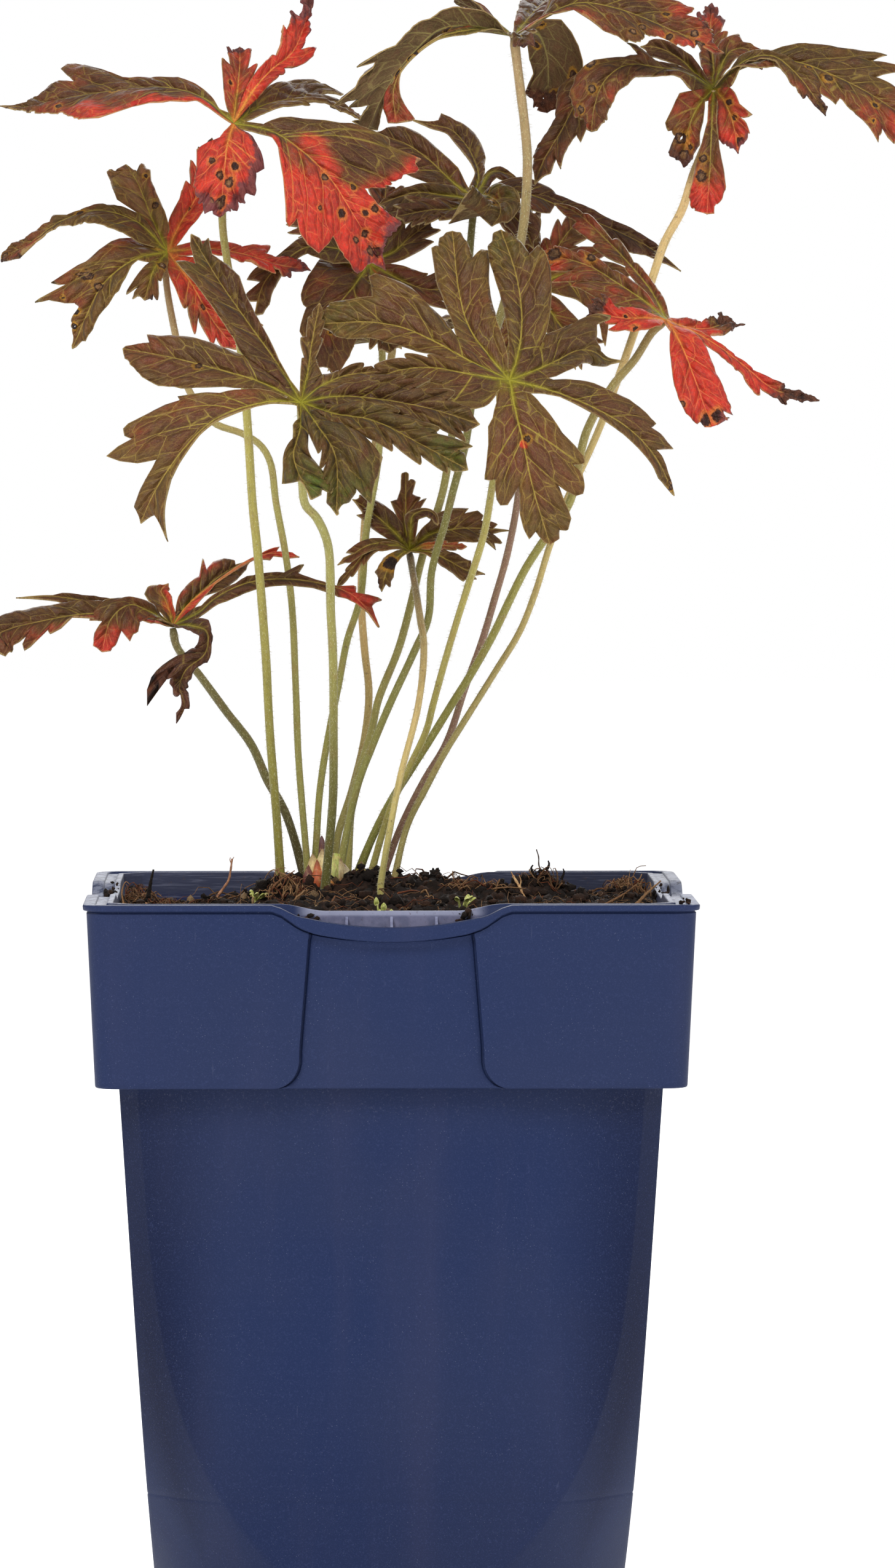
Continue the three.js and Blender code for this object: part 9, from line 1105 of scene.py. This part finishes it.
# ------------------------------------------------------------------ crown of bud scales
def bud_material():
    k = Nodes('bud_scales'); col = k.attr('bcol').outputs['Color']; P = k.obj(); n = k.noise(k.vec(k.m('MULTIPLY', k.xyz(P)[0], 3.0), k.m('MULTIPLY', k.xyz(P)[1], 3.0), k.m('MULTIPLY', k.xyz(P)[2], .35)), 1.0, 3.0, .6); n2 = k.noise(P, .8, 3.0)
    c = k.mix(k.m('MULTIPLY', k.step(n, .42, .7), .55), col, srgb(112, 62, 34)); c = k.mix(k.m('MULTIPLY', k.step(n2, .52, .72), .45), c, srgb(206, 170, 112))
    p = k.principled(c, .5, k.bump(n, .5, .0005)); p.node.inputs['Subsurface Weight'].default_value = .1; p.node.inputs['Subsurface Radius'].default_value = (.002, .001, .0005); return k.done(p)
def scale_shell(base, tip, out, width, thick=.35, bulge=1.6, nu=14, nv=9):
    base = np.array(base, float); tip = np.array(tip, float); out = nrm(np.array(out, float)); ax = tip - base; T = nrm(ax); side = nrm(np.cross(T, out)); V = []
    for face in (1, -1):
        for i in range(nu + 1):
            u = i / nu; w_ = width / 2 * (math.sin(math.pi * min(1, .18 + .82 * u)) ** .8 if u < 1 else 0) * (1 if u < .99 else .02)
            for j in range(nv + 1):
                v = j / nv * 2 - 1; p = base + ax * u + side * w_ * v + out * (bulge * math.sin(math.pi * min(1, u * .9 + .1)) * (1 - .9 * v * v) + face * thick / 2 * (1 - abs(v) ** 4) * (1 - u ** 6)); V.append(p)
    V = np.array(V); m = nv + 1; K = (nu + 1) * m; F = grid_faces(nu + 1, m); F = F + [tuple(x + K for x in f[::-1]) for f in F]
    loop = [i * m for i in range(nu + 1)] + [nu * m + j for j in range(1, m)] + [i * m + m - 1 for i in range(nu - 1, -1, -1)] + [j for j in range(m - 2, 0, -1)]
    for a, b in zip(loop, loop[1:] + loop[:1]): F.append((b, a, a + K, b + K))
    return V, F
S = Soup(('bcol',)); rng = np.random.default_rng(31)
cx, cy = -12.5, 1.0
an = np.linspace(0, 2 * np.pi, 25)[:-1]; V = []; prof = [(.0, 6.6), (.25, 6.2), (.5, 5.4), (.75, 4.0), (.95, 2.0)]
for i, (u, r_) in enumerate(prof):
    for a in an: V.append((cx + (r_ * 1.32) * math.cos(a) * (1 + .06 * rng.uniform(-1, 1)), cy + r_ * math.sin(a) * (1 + .06 * rng.uniform(-1, 1)), 151.5 + 7.0 * u + rng.uniform(-.2, .2)))
V = np.array(V); F = [f for f in grid_faces(len(prof), 24, True)]; V = np.vstack([V, [cx, cy, 158.6], [cx, cy, 151.0]])
for j in range(24): F.append((96 + j, 96 + (j + 1) % 24, 120)); F.append(((j + 1) % 24, j, 121))
S.add(V, F, 0, bcol=srgb(92, 58, 36)[:3])
SC = [((-17.3, -3.6, 152.4), (-17.6, -3.0, 160.2), (-.6, -.8, .2), 3.4, (104, 46, 38)), ((-15.6, -4.2, 152.4), (-15.7, -3.0, 161.4), (-.1, -1, .2), 2.9, (198, 98, 54)), ((-16.0, -2.4, 154.6), (-16.7, -1.8, 162.6), (-.4, -1, .2), 3.6, (226, 202, 138)), ((-14.6, -2.4, 155.0), (-14.5, -1.5, 163.8), (.1, -1, .2), 3.2, (228, 208, 148)),
 ((-13.0, -3.4, 154.4), (-12.4, -2.0, 163.0), (0, -1, .2), 3.4, (206, 206, 120)), ((-10.6, -3.4, 152.6), (-10.9, -2.0, 162.2), (.3, -1, .2), 3.6, (198, 180, 132)), ((-8.6, -3.2, 152.4), (-10.0, -2.0, 160.6), (.5, -1, .2), 4.2, (208, 196, 156)), ((-6.6, -3.0, 152.4), (-5.9, -1.6, 161.0), (.6, -1, .2), 3.6, (188, 172, 76)), ((-5.6, -3.4, 153.4), (-5.9, -2.8, 160.0), (.8, -1, .2), 1.3, (120, 60, 50)),
 ((-12.6, -6.0, 151.6), (-12.9, -5.0, 158.2), (-.2, -1, .3), 4.0, (228, 150, 72)), ((-10.8, -5.8, 151.6), (-10.4, -4.8, 157.6), (.2, -1, .3), 3.8, (232, 190, 128)),
 ((-19.8, 1.5, 152.0), (-20.2, 1.8, 157.4), (-1, .1, .2), 4.0, (140, 84, 50)), ((-16.0, 6.0, 152.0), (-15.6, 5.0, 159.5), (-.3, 1, .2), 4.4, (168, 100, 60)), ((-11.0, 6.6, 152.0), (-11.4, 5.4, 158.8), (.1, 1, .2), 4.8, (206, 176, 112)), ((-6.6, 5.4, 152.0), (-7.2, 4.2, 157.8), (.6, 1, .2), 4.2, (150, 96, 58))]
for b, t_, o_, w_, c_ in SC:
    V, F = scale_shell(b, t_, o_, w_); u = (V[:, 2] - b[2]) / (t_[2] - b[2]); c1 = np.array(srgb(*c_)[:3]); c2 = np.array(srgb(96, 48, 34)[:3]); col = c1[None] * (1 - .75 * sm(u, .7, 1.0)[:, None]) + c2[None] * .75 * sm(u, .7, 1.0)[:, None]; S.add(V, F, 0, bcol=col)
# a withered stalk stub and the pale swollen foot of a stalk
V, F = tube(spline(np.array([(-14.8, -1.4, 156.0), (-14.9, -1.2, 160.5), (-14.6, -.9, 164.0), (-14.7, -.7, 166.4)]), 18), np.array([1.0, 1.0, .98, .95, .9, .85, .8, .76, .74, .72, .70, .70, .72, .74, .70, .60, .42, .15]), 10); S.add(V, F, 0, bcol=srgb(92, 54, 56)[:3])
V, F = tube(spline(np.array([(-11.7, -2.6, 152.6), (-11.9, -2.8, 156.0), (-11.8, -2.2, 159.4), (-11.3, -1.4, 162.4)]), 16), 2.25 * np.sin(np.linspace(.5, 2.75, 16)) ** .7 * np.linspace(1, .72, 16), 12); S.add(V, F, 0, bcol=srgb(172, 180, 92)[:3])
crown = S.build('bud_scales', [bud_material()]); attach(crown, 'root'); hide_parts('crown')

# ------------------------------------------------------------------ twig, root, straw and shoots
def fibre_material(name, c1, c2, rough=.7):
    k = Nodes(name); P = k.obj(); n = k.noise(P, 1.2, 3.0, .6); c = k.mix(k.step(n, .35, .68), srgb(*c1), srgb(*c2)); return k.done(k.principled(c, rough, k.bump(k.noise(P, 3.0, 2.0), .5, .0003)))
M_TWIG = fibre_material('twig_bark', (132, 84, 56), (176, 126, 92)); M_ROOT = fibre_material('root_dark', (40, 28, 24), (74, 54, 44)); M_STRAW = fibre_material('straw_pale', (168, 122, 78), (214, 176, 126)); M_SHOOT = fibre_material('shoot_green', (150, 156, 66), (206, 206, 128), .5); M_FIB = fibre_material('curly_fibre', (142, 92, 58), (190, 146, 104))
def sprigs(name, runs, mat, node):
    S = Soup()
    for pts, r0, r1 in runs:
        C = spline(np.array(pts, float), 28); V, F = tube(C, np.linspace(r0, r1, 28) * (1 + .12 * np.sin(np.arange(28) * 1.7)), 8); S.add(V, F)
    ob = S.build(name, [mat]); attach(ob, 'root'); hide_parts(node); return ob
sprigs('dry_twig', [([(-39.8, -.4, 148.4), (-38.7, 0, 151.5), (-36.9, .8, 154.0), (-35.2, 1.6, 156.5), (-34.8, 2.0, 158.3), (-34.4, 2.4, 161.2)], .40, .20), ([(-34.6, 2.3, 160.2), (-34.9, 2.3, 161.0), (-34.8, 2.3, 161.5)], .14, .07), ([(-34.5, 2.4, 160.8), (-34.0, 2.5, 161.6)], .13, .06)], M_TWIG, 'twig')
sprigs('black_root', [([(34.6, 3.0, 151.5), (34.5, 3.6, 154.4), (34.2, 4.2, 157.8), (33.3, 4.4, 159.4), (33.2, 4.5, 161.4), (32.7, 4.6, 163.1)], .24, .12)], M_ROOT, 'root_fibre')
sprigs('straw_bits', [([(31.3, -12.8, 149.9), (29.9, -11.4, 152.7), (28.8, -10.2, 155.3), (27.2, -9.0, 158.0)], .40, .26), ([(28.6, -10.2, 155.4), (28.9, -10.1, 157.0), (28.5, -10.0, 158.2)], .18, .08), ([(27.3, -9.0, 157.8), (26.8, -9.2, 158.9)], .2, .1)], M_STRAW, 'straw')
def leaflet(S, base, tip, out, w_, mat=0):
    V, F = scale_shell(base, tip, out, w_, .22, .5, 8, 5); S.add(V, F, mat)
for nm, node, P0 in (('sprout_front', 'shoot_front', (15.3, -40.0, 152.0)), ('sprout_left', 'shoot_left', (-29.4, -14.2, 152.4))):
    S = Soup(); x, y, z = P0; rng = np.random.default_rng(90 + len(nm))
    for q in range(5):
        a = rng.uniform(0, 6.28); h_ = rng.uniform(2.0, 3.4) if node == 'shoot_front' else rng.uniform(1.2, 2.0); C = spline(np.array([(x + .8 * math.cos(a), y + .8 * math.sin(a), z - .6), (x + 1.0 * math.cos(a), y + 1.0 * math.sin(a), z + h_ * .5), (x + 1.9 * math.cos(a), y + 1.9 * math.sin(a), z + h_)]), 10)
        V, F = tube(C, np.linspace(.34, .2, 10), 7); S.add(V, F); leaflet(S, C[-1] - np.array([0, 0, .3]), C[-1] + np.array([1.3 * math.cos(a), 1.3 * math.sin(a), .7]), (0, 0, 1), 1.3)
    ob = S.build(nm, [M_SHOOT]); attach(ob, 'root'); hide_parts(node)
# a pale seedling between the stalks and the front lip
S = Soup(); rng = np.random.default_rng(303)
for bx, bz, dx, dz, w_ in ((-2.6, 150.8, -.5, 5.2, 1.1), (-1.9, 150.6, .3, 4.2, 1.3), (-1.2, 150.4, 1.1, 3.0, 1.1), (-2.2, 150.4, -.2, 3.0, 1.2), (-1.6, 150.2, .8, 2.2, 1.0)):
    y0 = -51.5 + rng.uniform(-.5, .5); C = spline(np.array([(bx, y0, bz - .6), (bx + dx * .4, y0 - .2, bz + dz * .5), (bx + dx, y0 - .3, bz + dz * .85)]), 9)
    V, F = tube(C, np.linspace(.30, .18, 9), 6); S.add(V, F); leaflet(S, C[-1] - np.array([0, 0, 1.1]), np.array([bx + dx * 1.2, y0 - .5, bz + dz]), (0, -1, .3), w_)
ob = S.build('sprout_centre', [M_SHOOT]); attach(ob, 'root')
# ------------------------------------------------------------------ floor, light and camera
def stage():
    me = bpy.data.meshes.new('floor'); s = 6.0; me.from_pydata([(-s, -s, 0), (s, -s, 0), (s, s, 0), (-s, s, 0)], [], [(0, 1, 2, 3)])
    k = Nodes('floor_white'); em = k.n('Emission'); em.inputs['Color'].default_value = (1, 1, 1, 1); em.inputs['Strength'].default_value = .55
    df = k.n('BsdfDiffuse'); df.inputs['Color'].default_value = (.86, .86, .86, 1); ad = k.n('AddShader'); k.t.links.new(em.outputs[0], ad.inputs[0]); k.t.links.new(df.outputs[0], ad.inputs[1])
    me.materials.append(k.done(ad.outputs[0])); ob = bpy.data.objects.new('floor', me); bpy.context.scene.collection.objects.link(ob)
stage()
sc = bpy.context.scene
w = bpy.data.worlds.new('studio'); w.use_nodes = True; bg = w.node_tree.nodes['Background']; bg.inputs[0].default_value = (1, 1, 1, 1); bg.inputs[1].default_value = 1.0; sc.world = w
wt = w.node_tree; wn = wt.nodes.new
# softly brighter in front and above than at the sides, and plain white to the camera
tc = wn('ShaderNodeTexCoord'); sp = wn('ShaderNodeSeparateXYZ'); wt.links.new(tc.outputs['Generated'], sp.inputs[0])
def ramp(sock, a, b, lo, hi):
    m = wn('ShaderNodeMapRange'); m.interpolation_type = 'SMOOTHSTEP'; wt.links.new(sock, m.inputs['Value'])
    for k_, v_ in (('From Min', a), ('From Max', b), ('To Min', lo), ('To Max', hi)): m.inputs[k_].default_value = v_
    return m.outputs[0]
def plus(a, b):
    m = wn('ShaderNodeMath'); m.operation = 'ADD'; wt.links.new(a, m.inputs[0]); wt.links.new(b, m.inputs[1]); return m.outputs[0]
soft = plus(plus(ramp(sp.outputs[1], -1.0, .1, .38, 0.0), ramp(sp.outputs[1], .55, 1.0, .0, .30)), ramp(sp.outputs[2], -.1, .9, .20, .52))
lp = wn('ShaderNodeLightPath'); mx = wn('ShaderNodeMix'); mx.data_type = 'FLOAT'; wt.links.new(lp.outputs['Is Camera Ray'], mx.inputs[0]); wt.links.new(soft, mx.inputs[2]); mx.inputs[3].default_value = 1.0
wt.links.new(mx.outputs[0], bg.inputs[1])
def lamp(name, pos, target, size, power, color=(1, 1, 1)):
    l = bpy.data.lights.new(name, 'AREA'); l.shape = 'RECTANGLE'; l.size = size[0]; l.size_y = size[1]; l.energy = power; l.color = color
    o = bpy.data.objects.new(name, l); sc.collection.objects.link(o); o.location = pos
    from mathutils import Vector
    o.rotation_euler = (Vector(target) - Vector(pos)).to_track_quat('-Z', 'Y').to_euler(); return o
lamp('key', (-.55, -1.0, 1.35), (0, 0, .2), (.6, .6), 15)
lamp('right', (1.15, -.5, .7), (0, 0, .2), (.4, .9), 4)
lamp('back', (.1, 1.2, .75), (0, 0, .24), (1.2, .8), 12)
sc.view_settings.view_transform = 'Standard'; sc.view_settings.look = 'None'; sc.view_settings.exposure = 0; sc.view_settings.gamma = 1
cam = bpy.data.cameras.new('photo'); cam.lens = 190.1; cam.sensor_width = 36; cam.sensor_fit = 'AUTO'; cam.clip_start = .05; cam.clip_end = 30
co = bpy.data.objects.new('photo', cam); sc.collection.objects.link(co); sc.camera = co
co.location = (-.0197, -1.819, .261); co.rotation_euler = (math.radians(90 - 2.62), 0, math.radians(-1.03))
